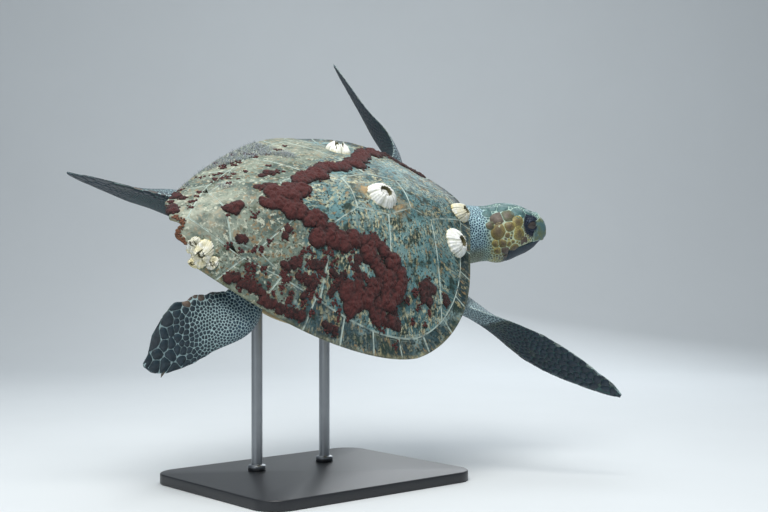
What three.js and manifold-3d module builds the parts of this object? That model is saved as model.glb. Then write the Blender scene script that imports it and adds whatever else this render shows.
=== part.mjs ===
// A life-size loggerhead sea turtle in mid-stroke, banked on a plain display stand.
//
// Body frame (millimetres): +X to the head, +Y to the animal's left, +Z to its back, with the
// origin on the midline, in the plane of the shell's side rim. The body group banks that frame
// over the stand. The world's +Z is up and its origin is the middle of the stand's underside.
//
// The shell's plan is worked in shares of the shell length: s runs back from the front edge
// (0) to where the rear tip would be (1), and y runs to the animal's left.
import * as THREE from 'three';
import Module from 'manifold-3d';

const wasm = await Module();
wasm.setup();

// ---------------------------------------------------------------- driving dimensions
const SHELL_LENGTH = 820;          // straight length of the unbroken shell
const ORIGIN_S = 0.44;             // the body frame's origin, back from the front edge
const BANK = 49.5;                 // degrees, the left side is up
const BODY_HEIGHT = 560;           // body origin above the floor

const HALF_WIDTH = 0.4266;         // half of the shell's greatest width
const OUTLINE_SKEW = 0.61;         // below 1: the widest place lies forward of the middle
const OUTLINE_ROUND = 0.818;       // smaller: a blunter outline

const CREST = 0.2245;              // top of the back over the side rim
const CREST_S = 0.33;              // where it lies
const CREST_FRONT_DROP = 0.100;    // how far the crest falls to the front edge
const CREST_REAR_DROP = 0.183;     // and to the rear tip
const RIM_FRONT_RISE = 0.135;      // rim over the neck
const RIM_REAR_RISE = 0.044;       // rim over the tail
const DOME_SIDE = 1.59;            // exponents of the cross-section
const DOME_SHOULDER = 1.08;
const BROW_REACH = 0.056;          // how far the front edge juts out over the neck
const BROW_LIFT = 0.014;           // and how far it's turned up there
const BROW_SIDE = 0.02;            // where across the shell it juts most, and how wide it is
const BROW_WIDTH = 0.14;
const BROW_END = 0.18;             // how far back from the front edge it begins
const CREST_FRONT_POWER = 2.2;     // exponents of the crest's fall and of the rim's rise
const CREST_REAR_POWER = 2;
const RIM_FRONT_POWER = 1.3;
const RIM_REAR_POWER = 1.6;
const RIM_FRONT_END = 0.3;         // where the rim's rises end and begin
const RIM_REAR_START = 0.55;

const REAR_BREAK = 0.925;          // the worn rear edge
const SCUTE_THICK = 13;
const RING_THICK = 10;             // of the marginal scutes and the nuchal
const SCUTE_GAP = 1.0;             // between neighbouring scutes
const SHELL_ROOM = 19;             // from the shell's face in to the flesh
const SLAB_GROW = 1.02;            // width of the room made for the shell, over the shell's own
const SLAB_RAISE = 60;             // height of the room cleared over the shell
const RIM_OVERHANG = 44;           // how far the rim stands out past the flesh

const BELLY_DEPTH = 106;           // plastron's outer face below the rim plane
const PLASTRON_THICK = 12;
const PLASTRON_FRONT = 0.13;       // its ends
const PLASTRON_REAR = 0.77;
const PLASTRON_ROOM = 15;          // from the plastron's face in to the flesh
const PLASTRON_CLEAR = 1.5;        // gap left behind the plastron
const PLASTRON_EDGE_CLEAR = 3;     // and at its sides
const PLASTRON_END_CLEAR = 0.008;  // and at its ends, a share of the shell length
const BELOW_BELLY = 60;            // height of the room cleared below the belly
const BRIDGE = [0.16, 0.30, 0.60, 0.74];   // where the bridge to the shell begins, is full, and ends
const BELLY_EDGE = [0.72, 0.97];   // belly's half width over the trunk's: at the ends, at the bridge
const BELLY_RISE = [0.045, 0.105]; // how far its sides turn up: at the ends, at the bridge
const BELLY_FLAT = 0.45;           // flat share of its half width
const BELLY_REAR_LIFT = 0.125;
const BELLY_FRONT_LIFT = 0.05;
const TRUNK_FRONT = 0.075;         // the trunk's ends
const TRUNK_REAR = 0.80;
const TRUNK_RINGS = 12;

const PART_GAP = 0.5;              // between parts of the flesh
const EYE_RADIUS = 19;
const CLAW_RADIUS = 4.5;
const CLAW_LENGTH = 18;
const CLAW_ROOT = 7;               // how deep the claw's root lies in the blade
const CLAW_LEAN = 0.7;             // towards the flipper's tip
const LIMB_CUT = 0.16;             // share of a flipper's length at which it parts from the trunk

const BASE_LENGTH = 600;
const BASE_WIDTH = 480;
const BASE_THICK = 24;
const BASE_CORNER = 60;
const ROD_RADIUS = 13;
const ROD_SPREAD = 100;            // rods stand this far before and behind the middle
const ROD_BELLY_Y = 20;            // where they meet the belly, to the animal's left
const STAND_GAP = 0.5;             // clear of the rods' ends

const rad = THREE.MathUtils.degToRad;
const clamp = THREE.MathUtils.clamp;
const lerp = THREE.MathUtils.lerp;
const ease = THREE.MathUtils.smoothstep;
const V = (x, y, z) => new THREE.Vector3(x, y, z);

// ---------------------------------------------------------------- colours
const finish = (color, roughness) => () =>
  new THREE.MeshStandardMaterial({ color, roughness, metalness: 0 });
const SCUTE = finish(0x5f6f68, 0.7);
const SCUTE_REAR = finish(0x9a9a80, 0.85);
const BELLY = finish(0xc9bf94, 0.6);
const SKIN = finish(0x4d5f66, 0.65);
const HORN = finish(0x7f8468, 0.45);
const EYE = finish(0x14120f, 0.12);
const BARNACLE = finish(0xe4e6dc, 0.75);
const STEEL = finish(0x55585c, 0.4);
const BASE = finish(0x2c2d30, 0.5);

// ---------------------------------------------------------------- solids from rings and grids
/** Indexed geometry whose faces point out, whichever way round the rings were given. */
function closedGeometry(points, triangles) {
  let volume = 0;
  for (const [a, b, c] of triangles) {
    volume += points[a].dot(points[b].clone().cross(points[c]));
  }
  const index = [];
  for (const [a, b, c] of triangles) index.push(...(volume > 0 ? [a, b, c] : [a, c, b]));
  const geometry = new THREE.BufferGeometry();
  const places = points.flatMap((p) => p.toArray());
  geometry.setAttribute('position', new THREE.Float32BufferAttribute(places, 3));
  geometry.setIndex(index);
  return geometry;
}

/** A skin through rings of equal count, each end closed by a fan. */
function loft(rings) {
  const count = rings[0].length;
  const points = rings.flat();
  const triangles = [];
  for (let i = 0; i + 1 < rings.length; i++) {
    for (let j = 0; j < count; j++) {
      const a = i * count + j;
      const b = i * count + (j + 1) % count;
      triangles.push([a, b, b + count], [a, b + count, a + count]);
    }
  }
  for (const [ring, flip] of [[0, true], [rings.length - 1, false]]) {
    const centre = rings[ring].reduce((sum, p) => sum.add(p), V(0, 0, 0)).divideScalar(count);
    points.push(centre);
    for (let j = 0; j < count; j++) {
      const a = ring * count + j;
      const b = ring * count + (j + 1) % count;
      triangles.push(flip ? [points.length - 1, b, a] : [points.length - 1, a, b]);
    }
  }
  return closedGeometry(points, triangles);
}

/** A plate between two grids of points of the same size. */
function plate(outer, inner) {
  const rows = outer.length;
  const cols = outer[0].length;
  const points = [...outer.flat(), ...inner.flat()];
  const half = rows * cols;
  const triangles = [];
  const quad = (a, b, c, d) => triangles.push([a, b, c], [a, c, d]);
  for (let i = 0; i + 1 < rows; i++) {
    for (let j = 0; j + 1 < cols; j++) {
      const a = i * cols + j;
      quad(a, a + cols, a + cols + 1, a + 1);
      quad(half + a, half + a + 1, half + a + cols + 1, half + a + cols);
    }
  }
  for (let j = 0; j + 1 < cols; j++) {
    const last = (rows - 1) * cols + j;
    quad(j, j + 1, half + j + 1, half + j);
    quad(last, half + last, half + last + 1, last + 1);
  }
  for (let i = 0; i + 1 < rows; i++) {
    const a = i * cols;
    const b = a + cols - 1;
    quad(a, half + a, half + a + cols, a + cols);
    quad(b, b + cols, half + b + cols, half + b);
  }
  return closedGeometry(points, triangles);
}

const solid = (geometry) => new wasm.Manifold(new wasm.Mesh({
  numProp: 3,
  vertProperties: new Float32Array(geometry.getAttribute('position').array),
  triVerts: new Uint32Array(geometry.getIndex().array),
}));

function geometryOf(manifold) {
  const mesh = manifold.getMesh();
  const geometry = new THREE.BufferGeometry();
  geometry.setAttribute('position', new THREE.Float32BufferAttribute(mesh.vertProperties, 3));
  geometry.setIndex([...mesh.triVerts]);
  return geometry;
}

// ---------------------------------------------------------------- the shell's form
const halfWidth = (s) =>
  HALF_WIDTH * Math.sin(Math.PI * clamp(s, 1e-6, 1 - 1e-6) ** OUTLINE_SKEW) ** OUTLINE_ROUND;

function crestHeight(s) {
  if (s < CREST_S) return CREST - CREST_FRONT_DROP * ((CREST_S - s) / CREST_S) ** CREST_FRONT_POWER;
  return CREST - CREST_REAR_DROP * ((s - CREST_S) / (1 - CREST_S)) ** CREST_REAR_POWER;
}

const rimHeight = (s) =>
  RIM_FRONT_RISE * clamp((RIM_FRONT_END - s) / RIM_FRONT_END, 0, 1) ** RIM_FRONT_POWER
  + RIM_REAR_RISE * clamp((s - RIM_REAR_START) / (1 - RIM_REAR_START), 0, 1) ** RIM_REAR_POWER;

function domeHeight(s, y) {
  const t = clamp(Math.abs(y) / halfWidth(s), 0, 1);
  const rim = rimHeight(s);
  return rim + (crestHeight(s) - rim) * Math.max(0, 1 - t ** DOME_SIDE) ** DOME_SHOULDER;
}

/** How much the brow over the neck has of its full reach at a place in plan. */
const brow = (s, y) =>
  (1 - ease(s, 0, BROW_END)) * Math.exp(-(((y - BROW_SIDE) / BROW_WIDTH) ** 2));

/** A point on the shell, sunk below its face by depth. */
function shellPoint(s, y, depth = 0) {
  const at = (a, b) => {
    const jut = brow(a, b);
    return V(ORIGIN_S - a + BROW_REACH * jut, b, domeHeight(a, b) + BROW_LIFT * jut)
      .multiplyScalar(SHELL_LENGTH);
  };
  const step = 0.012;
  const inward = clamp(s, 0.05, 0.95);
  const side = clamp(y, -0.93 * halfWidth(inward), 0.93 * halfWidth(inward));
  const normal = at(inward, side + step).sub(at(inward, side - step))
    .cross(at(inward + step, side).sub(at(inward - step, side))).normalize();
  if (normal.z < 0) normal.negate();
  return at(s, y).addScaledVector(normal, -depth);
}

/** Plan position on the rim at an angle round from the front, scaled in by a width. */
function rimPlan(angle, width = 0) {
  const cos = Math.cos(angle);
  const sin = Math.abs(Math.sin(angle));
  let low = 0.05;
  let high = cos > 0 ? (ORIGIN_S - 1e-5) / Math.max(cos, 0.3) : 0.7;
  for (let i = 0; i < 50; i++) {
    const middle = (low + high) / 2;
    const s = ORIGIN_S - middle * cos;
    const outside = s <= 0 || s >= 1 || middle * sin > halfWidth(s);
    if (outside) high = middle; else low = middle;
  }
  const r = low - width;
  return [Math.min(ORIGIN_S - r * cos, REAR_BREAK), r * Math.sin(angle)];
}

/** Width of the ring of marginal scutes, wider towards the tail. */
function marginWidth(angle) {
  const turn = Math.PI - Math.abs(Math.PI - Math.abs(angle));
  return 0.047 + 0.028 * ease(turn, rad(60), rad(150)) + 0.022 * ease(turn, rad(160), rad(180));
}

const seamPlan = (angle) => rimPlan(angle, marginWidth(angle));

// ---------------------------------------------------------------- scutes
// Seams between marginals, as angles round from the front: nuchal edge, eleven seams, the tail.
const MARGINAL_SEAMS = [8.5, 20, 31.5, 43, 54.5, 66, 78, 90.3, 105.2, 122.4, 142.8, 159.5, 180].map(rad);
// Where the costal seams meet the ring.
const COSTAL_SEAMS = [8.5, 55.6, 83.3, 120, 140, 166].map(rad);
// Each vertebral: its front seam (s, half width) and its side corner (s, half width).
const VERTEBRAL_SEAMS = [
  [0.050, 0.048], [0.247, 0.053], [0.443, 0.055], [0.630, 0.062], [0.812, 0.085]];
const VERTEBRAL_CORNERS = [
  [0.172, 0.076], [0.344, 0.078], [0.534, 0.094], [0.749, 0.120], [0.828, 0.097]];

/** Point at a share of the way along a polyline in plan. */
function along(polyline, share) {
  const lengths = polyline.slice(1)
    .map((p, i) => Math.hypot(p[0] - polyline[i][0], p[1] - polyline[i][1]));
  let left = share * lengths.reduce((a, b) => a + b, 0);
  for (let i = 0; i < lengths.length; i++) {
    if (left <= lengths[i] || i === lengths.length - 1) {
      const k = lengths[i] > 0 ? left / lengths[i] : 0;
      return [0, 1].map((c) => lerp(polyline[i][c], polyline[i + 1][c], k));
    }
    left -= lengths[i];
  }
  return polyline.at(-1);
}

/** A scute with four sides: near and far run the same way, and so do first and last. */
function scute(near, far, first, last, cells, thick = SCUTE_THICK) {
  const [rows, cols] = cells;
  const size = (a, b) => Math.hypot(a[0] - b[0], a[1] - b[1]) * SHELL_LENGTH;
  const edgeU = SCUTE_GAP / size(along(near, 0.5), along(far, 0.5));
  const edgeV = SCUTE_GAP / size(along(first, 0.5), along(last, 0.5));
  const plan = (u, v) => [0, 1].map((c) =>
    (1 - u) * along(near, v)[c] + u * along(far, v)[c]
    + (1 - v) * along(first, u)[c] + v * along(last, u)[c]
    - (1 - u) * (1 - v) * near[0][c] - (1 - u) * v * near.at(-1)[c]
    - u * (1 - v) * far[0][c] - u * v * far.at(-1)[c]);
  const grid = (depth) => Array.from({ length: rows + 1 }, (_, i) =>
    Array.from({ length: cols + 1 }, (_, j) => {
      const [s, y] = plan(lerp(edgeU, 1 - edgeU, i / rows), lerp(edgeV, 1 - edgeV, j / cols));
      return shellPoint(s, y, depth);
    }));
  return plate(grid(0), grid(thick));
}

/** A run of points along the ring's inner seam, or along the rim itself. */
const arc = (from, to, steps, place) =>
  Array.from({ length: steps + 1 }, (_, i) => place(lerp(from, to, i / steps)));

const mirror = (points, side) => points.map(([s, y]) => [s, side * y]);

function vertebral(i) {
  const [s, w] = VERTEBRAL_SEAMS[i];
  const [cornerS, cornerW] = VERTEBRAL_CORNERS[i];
  const [nextS, nextW] = VERTEBRAL_SEAMS[i + 1] ?? [];
  const rear = i < 4
    ? [[nextS, -nextW], [nextS, nextW]]
    : arc(-COSTAL_SEAMS[5], COSTAL_SEAMS[5] - 2 * Math.PI, 12, seamPlan);
  const front = [[s, -w], [s, w]];
  const right = i < 4 ? [front[0], [cornerS, -cornerW], rear[0]] : [front[0], rear[0]];
  return scute(front, rear, right, mirror(right, -1), [4, i < 4 ? 4 : 8]);
}

function costal(i, side) {
  const seam = i === 0 ? VERTEBRAL_SEAMS[0] : VERTEBRAL_CORNERS[i - 1];
  const inner = [seam];
  if (i > 0) inner.push(VERTEBRAL_SEAMS[i]);
  if (i < 4) inner.push(VERTEBRAL_CORNERS[i]);
  if (i === 4) inner.push(seamPlan(COSTAL_SEAMS[5]));
  const outer = arc(COSTAL_SEAMS[i], COSTAL_SEAMS[i + 1], 6, seamPlan);
  if (i === 4) return costalRear(inner, outer, side);
  const front = [inner[0], outer[0]];
  const rear = [inner.at(-1), outer.at(-1)];
  return scute(mirror(inner, side), mirror(outer, side), mirror(front, side), mirror(rear, side), [5, 5]);
}

/** The last costal is a triangle, so its far side closes on the corner it shares. */
function costalRear(inner, outer, side) {
  const cut = 0.82;
  const innerEnd = along(inner, cut);
  const outerEnd = along(outer, cut);
  const near = [inner[0], ...inner.slice(1, -1), innerEnd];
  const far = [...outer.slice(0, Math.ceil(cut * outer.length) - 1), outerEnd];
  return scute(mirror(near, side), mirror(far, side),
    mirror([near[0], far[0]], side), mirror([innerEnd, outerEnd], side), [4, 3]);
}

function marginal(i, side) {
  const [from, to] = [MARGINAL_SEAMS[i], MARGINAL_SEAMS[i + 1]];
  const inner = arc(from, to, 6, seamPlan);
  const outer = arc(from, to, 6, (a) => rimPlan(a));
  return scute(mirror(inner, side), mirror(outer, side),
    mirror([inner[0], outer[0]], side), mirror([inner.at(-1), outer.at(-1)], side),
    [3, i < 11 ? 3 : 5], RING_THICK);
}

function nuchal() {
  const edge = MARGINAL_SEAMS[0];
  const inner = arc(-edge, edge, 4, (a) => seamPlan(a));
  const [w, s] = [VERTEBRAL_SEAMS[0][1], VERTEBRAL_SEAMS[0][0]];
  inner.splice(1, 3, [s, -w], [s, 0], [s, w]);
  const outer = arc(-edge, edge, 4, (a) => rimPlan(a));
  return scute(inner, outer, [inner[0], outer[0]], [inner.at(-1), outer.at(-1)], [2, 4], RING_THICK);
}

// ---------------------------------------------------------------- plastron and trunk
/** Half width of the flesh under the shell. */
const trunkHalf = (s) => Math.max(halfWidth(s) - RIM_OVERHANG / SHELL_LENGTH, 0.02);

/** How much of the bridge, which joins belly to shell, there is at s. */
const bridge = (s) => ease(s, BRIDGE[0], BRIDGE[1]) * (1 - ease(s, BRIDGE[2], BRIDGE[3]));

const bellyEdge = (s) => lerp(...BELLY_EDGE, bridge(s)) * trunkHalf(s);
const bellyRise = (s) => lerp(...BELLY_RISE, bridge(s));

/** Height of the belly's outer face, flat along the middle and turned up at the sides. */
function bellyHeight(s, y) {
  const edge = bellyEdge(s);
  const flat = BELLY_FLAT * edge;
  const k = clamp((Math.abs(y) - flat) / (edge - flat), 0, 1.3);
  const ends = BELLY_REAR_LIFT * ease(s, 0.62, 0.92) + BELLY_FRONT_LIFT * (1 - ease(s, 0.02, 0.14));
  return -BELLY_DEPTH / SHELL_LENGTH + bellyRise(s) * k * k + ends;
}

const bellyPoint = (s, y, depth) =>
  V((ORIGIN_S - s) * SHELL_LENGTH, y * SHELL_LENGTH, bellyHeight(s, y) * SHELL_LENGTH + depth);

/** Half width of the plastron, rounded off in front and drawn in between the hind flippers. */
function plastronHalf(s) {
  const k = clamp((s - PLASTRON_FRONT) / (PLASTRON_REAR - PLASTRON_FRONT), -0.02, 1.02);
  return bellyEdge(s) * Math.sin(Math.PI * lerp(0.14, 0.93, k)) ** 0.5;
}

/** Two faces over the belly, from front to rear, each a little wider than the plastron. */
function bellyGrids(from, to, wider, depths) {
  return depths.map((depth) => Array.from({ length: 11 }, (_, i) => {
    const s = lerp(from, to, i / 10);
    const half = plastronHalf(s) + wider / SHELL_LENGTH;
    return Array.from({ length: 9 }, (_, j) => bellyPoint(s, lerp(-1, 1, j / 8) * half, depth));
  }));
}

const plastron = () => plate(...bellyGrids(PLASTRON_FRONT, PLASTRON_REAR, 0, [0, PLASTRON_THICK]));

function trunkRing(s) {
  const half = trunkHalf(s);
  const ring = [];
  for (let j = 0; j <= 12; j++) {
    const y = half * Math.sin(lerp(-Math.PI / 2, Math.PI / 2, j / 12));
    ring.push(shellPoint(s, y, SHELL_ROOM).setX((ORIGIN_S - s) * SHELL_LENGTH));
  }
  const edge = bellyEdge(s);
  for (const k of [1, 0.75, 0.45, 0, -0.45, -0.75, -1]) ring.push(bellyPoint(s, k * edge, PLASTRON_ROOM));
  return ring;
}

const trunkForm = () => solid(loft(Array.from({ length: TRUNK_RINGS }, (_, i) =>
  trunkRing(lerp(TRUNK_FRONT, TRUNK_REAR, i / (TRUNK_RINGS - 1))))));

// ---------------------------------------------------------------- neck, head and tail
/** Ring of a squared ellipse, with its own height above and below the centre. */
function oval(count, half, top, bottom, power = 2) {
  return Array.from({ length: count }, (_, i) => {
    const a = 2 * Math.PI * i / count;
    const shape = (v) => Math.sign(v) * Math.abs(v) ** (2 / power);
    return [half * shape(Math.cos(a)), (Math.sin(a) > 0 ? top : bottom) * shape(Math.sin(a))];
  });
}

/** Tube along a curve, its rings kept upright in the body frame. */
function limbTube(curve, steps, ringAt) {
  const rings = [];
  for (let i = 0; i <= steps; i++) {
    const u = i / steps;
    const centre = curve.getPoint(u);
    const forward = curve.getTangent(u);
    const left = V(0, 0, 1).cross(forward).normalize();
    const up = forward.clone().cross(left);
    rings.push(ringAt(u).map(([a, b]) => centre.clone().addScaledVector(left, a).addScaledVector(up, b)));
  }
  return loft(rings);
}

const HEAD_POSITION = V(500, -17, 72);     // the back of the head
const HEAD_TURN = 25;                      // degrees to the animal's right
const HEAD_LIFT = 27;                      // degrees towards its back
const HEAD_ROLL = -30;                     // degrees, levelling the head against the bank

const headMatrix = new THREE.Matrix4()
  .makeRotationFromEuler(new THREE.Euler(rad(HEAD_ROLL), rad(-HEAD_LIFT), rad(-HEAD_TURN), 'ZYX'))
  .setPosition(HEAD_POSITION);

const NECK = new THREE.CatmullRomCurve3([
  V(250, 0, 12), V(345, 0, 26), V(428, -2, 42), V(500, -17, 72), V(545, -38, 95)]);

const neckForm = () => solid(limbTube(NECK, 8, (u) => {
  const bulge = 1 + 0.06 * Math.sin(Math.PI * u);
  return oval(16, lerp(88, 68, u) * bulge, lerp(74, 58, u) * bulge, lerp(84, 71, u) * bulge, 2.1);
}));

// Head stations: forward of the back of the head, half width, height above and below the axis.
const HEAD = [
  [-23, 62, 47, 64], [0, 74, 58, 78], [29, 82, 66, 82], [56, 81, 67, 74], [82, 70, 63, 64],
  [105, 55, 53, 55], [124, 43, 46, 44], [134, 36, 43, 36], [144, 27, 29, 27], [152, 15, 16, 17]];
const MOUTH_FRONT = V(154, 0, -15);        // the mouth line falls back from the beak's tip
const MOUTH_SLOPE = 11;                    // degrees
const JAW_BACK = 48;                       // where the lower jaw begins
const BEAK_BACK = 115;                     // where the horn of the upper beak begins
const EYE_PLACE = V(103.5, 39, 19.5);
const HEAD_BLOCK = 400;                    // block large enough to part the whole head

function headForm() {
  const rings = HEAD.map(([x, half, top, bottom]) =>
    oval(18, half, top, bottom, 2.35).map(([y, z]) => V(x, y, z)));
  return solid(loft(rings)).transform(headMatrix.elements);
}

/** A box laid out in the head's own frame, tilted about the left axis. */
function headBox(size, centre, tilt = 0) {
  const box = new THREE.BoxGeometry(...size);
  box.deleteAttribute('normal');
  box.deleteAttribute('uv');
  return placed(box, new THREE.Matrix4().multiplyMatrices(headMatrix,
    new THREE.Matrix4().makeRotationY(rad(tilt)).setPosition(centre)));
}

/** A primitive solid with its doubled corners welded, moved by a matrix. */
function placed(geometry, matrix) {
  const weld = new Map();
  const position = geometry.getAttribute('position');
  const points = [];
  const remap = [];
  for (let i = 0; i < position.count; i++) {
    const p = new THREE.Vector3().fromBufferAttribute(position, i);
    const key = p.toArray().map((v) => Math.round(v * 1000)).join();
    if (!weld.has(key)) weld.set(key, points.push(p) - 1);
    remap.push(weld.get(key));
  }
  const source = geometry.getIndex() ? [...geometry.getIndex().array] : remap.map((_, i) => i);
  const triangles = [];
  for (let i = 0; i < source.length; i += 3) {
    const [a, b, c] = source.slice(i, i + 3).map((v) => remap[v]);
    if (a !== b && b !== c && c !== a) triangles.push([a, b, c]);
  }
  return solid(closedGeometry(points.map((p) => p.applyMatrix4(matrix)), triangles));
}

function eyeBall(side, radius) {
  const place = new THREE.Matrix4().setPosition(EYE_PLACE.x, side * EYE_PLACE.y, EYE_PLACE.z);
  return placed(new THREE.SphereGeometry(radius, 10, 7), headMatrix.clone().multiply(place));
}

const TAIL = new THREE.CatmullRomCurve3([V(-225, 0, 0), V(-280, 0, -4), V(-312, 1, -10), V(-336, 3, -20)]);
const tailForm = () => solid(limbTube(TAIL, 6, (u) =>
  oval(12, lerp(46, 5, u ** 0.8), lerp(30, 4, u ** 0.8), lerp(32, 4, u ** 0.8))));

// ---------------------------------------------------------------- flippers
/**
 * A flipper is a row of blade sections. Each station gives the share of the length, the reach
 * of the leading and of the trailing edge from the axis, and the thickness.
 */
const FRONT_BLADE = [
  [0.00, 46, 46, 66], [0.10, 45, 46, 60], [0.20, 47, 48, 50], [0.30, 56, 55, 40], [0.40, 60, 64, 31],
  [0.52, 57, 66, 24], [0.64, 50, 60, 18], [0.76, 40, 50, 13], [0.88, 26, 36, 9], [0.96, 13, 22, 6],
  [1.00, 3, 8, 3]];
const HIND_BLADE = [
  [0.00, 42, 46, 80], [0.14, 46, 54, 76], [0.30, 52, 60, 62], [0.45, 60, 63, 42], [0.60, 67, 70, 27],
  [0.70, 66, 80, 18], [0.75, 62, 70, 15], [0.82, 55, 57, 12], [0.88, 47, 44, 10], [0.93, 36, 22, 8],
  [0.985, 15, 7, 5], [1.00, 6, 4, 4]];

// Axis points, and the way the leading edge faces at the root and at the tip.
const FLIPPERS = {
  flipper_front_right: {
    blade: FRONT_BLADE, axis: [V(239, -135, 10), V(348, -255, 35), V(437, -395, 61), V(561, -571, 106)],
    lead: [V(0.82, 0.31, -0.48), V(0.21, 0.04, -0.98)], claws: [0.47, 0.60],
  },
  flipper_front_left: {
    blade: FRONT_BLADE, axis: [V(240, 135, 10), V(355, 243, 45), V(367, 403, 31), V(379, 644, 12)],
    lead: [V(0.52, -0.12, -0.84), V(0.71, -0.03, -0.70)], claws: [0.47, 0.60],
  },
  flipper_hind_right: {
    blade: HIND_BLADE,
    axis: [V(-215, -91, -34), V(-258, -158, -57), V(-355, -180, -70), V(-498, -244, -107)],
    lead: [V(-0.10, -0.87, -0.48), V(-0.14, -0.65, -0.74)], claws: [0.88],
  },
  flipper_hind_left: {
    blade: HIND_BLADE, axis: [V(-219, 93, -33), V(-301, 146, -37), V(-405, 187, -49), V(-527, 248, -59)],
    lead: [V(0.26, 0.61, -0.75), V(0.56, 0.43, -0.71)], claws: [0.88],
  },
};

/** Section of a blade: blunt along the leading edge, thin along the trailing edge. */
const SECTION = [
  [1, 0], [0.90, 0.62], [0.55, 1], [0.05, 0.92], [-0.5, 0.55], [-0.9, 0.2], [-1, 0],
  [-0.9, -0.2], [-0.5, -0.55], [0.05, -0.92], [0.55, -1], [0.90, -0.62]];

/** Frame of a flipper at a share of its length: centre, way along, way of the leading edge, normal. */
function bladeFrame(flipper, u) {
  const curve = new THREE.CatmullRomCurve3(flipper.axis);
  const forward = curve.getTangentAt(u);
  const lead = flipper.lead[0].clone().lerp(flipper.lead[1], ease(u, 0.1, 0.75));
  lead.addScaledVector(forward, -lead.dot(forward)).normalize();
  return { centre: curve.getPointAt(u), forward, lead, normal: forward.clone().cross(lead) };
}

function flipperForm(flipper) {
  const rings = flipper.blade.map(([u, front, rear, thick]) => {
    const { centre, lead, normal } = bladeFrame(flipper, u);
    return SECTION.map(([a, b]) => centre.clone()
      .addScaledVector(lead, a * (a > 0 ? front : rear)).addScaledVector(normal, b * thick / 2));
  });
  const claws = flipper.claws.map((u) => clawForm(flipper, u));
  return claws.reduce((sum, claw) => sum.add(claw), solid(loft(rings)));
}

/** A short claw on the leading edge, its root sunk in the blade. */
function clawForm(flipper, u) {
  const { centre, lead, forward } = bladeFrame(flipper, u);
  const stations = flipper.blade.map(([share]) => share);
  const next = stations.findIndex((share) => share >= u);
  const k = (u - stations[next - 1]) / (stations[next] - stations[next - 1]);
  const reach = lerp(flipper.blade[next - 1][1], flipper.blade[next][1], k);
  const cone = new THREE.ConeGeometry(CLAW_RADIUS, CLAW_LENGTH, 8);
  const way = lead.clone().addScaledVector(forward, CLAW_LEAN).normalize();
  const turn = new THREE.Quaternion().setFromUnitVectors(V(0, 1, 0), way);
  const root = centre.clone().addScaledVector(lead, reach - CLAW_ROOT)
    .addScaledVector(way, CLAW_LENGTH / 2);
  return placed(cone, new THREE.Matrix4().compose(root, turn, V(1, 1, 1)));
}

// ---------------------------------------------------------------- parting the flesh
/** A large block beyond a plane, which takes a limb off the trunk. */
function beyond(point, way, grow = 0) {
  const size = 900;
  const box = new THREE.BoxGeometry(size, size, size);
  const turn = new THREE.Quaternion().setFromUnitVectors(V(0, 0, 1), way.clone().normalize());
  const centre = point.clone().addScaledVector(way.clone().normalize(), size / 2 - grow);
  return placed(box, new THREE.Matrix4().compose(centre, turn, V(1, 1, 1)));
}

/**
 * A slab with the shell's own curve, a little wider than the rim, from outer down to inner.
 * Its outer face can be raised straight up, to clear all that lies over the shell.
 */
function shellSlab(outer, inner, raised = 0) {
  const grid = (depth, up) => Array.from({ length: 23 }, (_, i) => {
    const s = lerp(0.0005, 0.9995, (1 - Math.cos(Math.PI * i / 22)) / 2);
    return Array.from({ length: 17 }, (_, j) => {
      const y = Math.sin(lerp(-Math.PI / 2, Math.PI / 2, j / 16)) * halfWidth(s);
      const p = shellPoint(s, y, depth);
      return V(p.x * SLAB_GROW, p.y * SLAB_GROW, p.z + up);
    });
  });
  return solid(plate(grid(outer, raised), grid(inner, 0)));
}

const plastronSpace = () => solid(plate(
  ...bellyGrids(PLASTRON_FRONT - PLASTRON_END_CLEAR, PLASTRON_REAR + PLASTRON_END_CLEAR,
    PLASTRON_EDGE_CLEAR, [-BELOW_BELLY, PLASTRON_THICK + PLASTRON_CLEAR])));

function fleshParts() {
  const limbs = {
    neck: { form: neckForm(), at: V(262, 0, 18), way: V(1, 0, 0.12), rootRadius: 80 },
    tail: { form: tailForm(), at: V(-302, 1, -8), way: V(-1, 0, -0.2), rootRadius: 25 },
  };
  for (const [name, flipper] of Object.entries(FLIPPERS)) {
    const { centre, forward } = bladeFrame(flipper, LIMB_CUT);
    limbs[name] = { form: flipperForm(flipper), at: centre, way: forward, rootRadius: 40 };
  }
  const space = shellSlab(0, SHELL_ROOM - 2, SLAB_RAISE).add(plastronSpace());
  let trunk = trunkForm().subtract(space);
  const parts = {};
  for (const [name, limb] of Object.entries(limbs)) {
    parts[name] = limb.form.intersect(beyond(limb.at, limb.way)).subtract(space);
  }
  // The trunk keeps clear of each limb by a thin gap, and the root of each limb lies in it.
  for (const [name, limb] of Object.entries(limbs)) {
    trunk = trunk.add(limb.form.subtract(beyond(limb.at, limb.way, PART_GAP)).subtract(space));
    trunk = trunk.subtract(grown(parts[name], limb));
  }
  return { trunk, ...parts };
}

/** A limb thickened about the middle of its root and drawn back a little, to cut its bed in the trunk. */
function grown(part, limb) {
  const scale = 1 + PART_GAP / limb.rootRadius;
  const foot = limb.at.clone().addScaledVector(limb.way.clone().normalize(), -PART_GAP);
  const m = new THREE.Matrix4().makeTranslation(foot).scale(V(scale, scale, scale))
    .multiply(new THREE.Matrix4().makeTranslation(limb.at.clone().negate()));
  return part.transform(m.elements);
}

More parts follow.
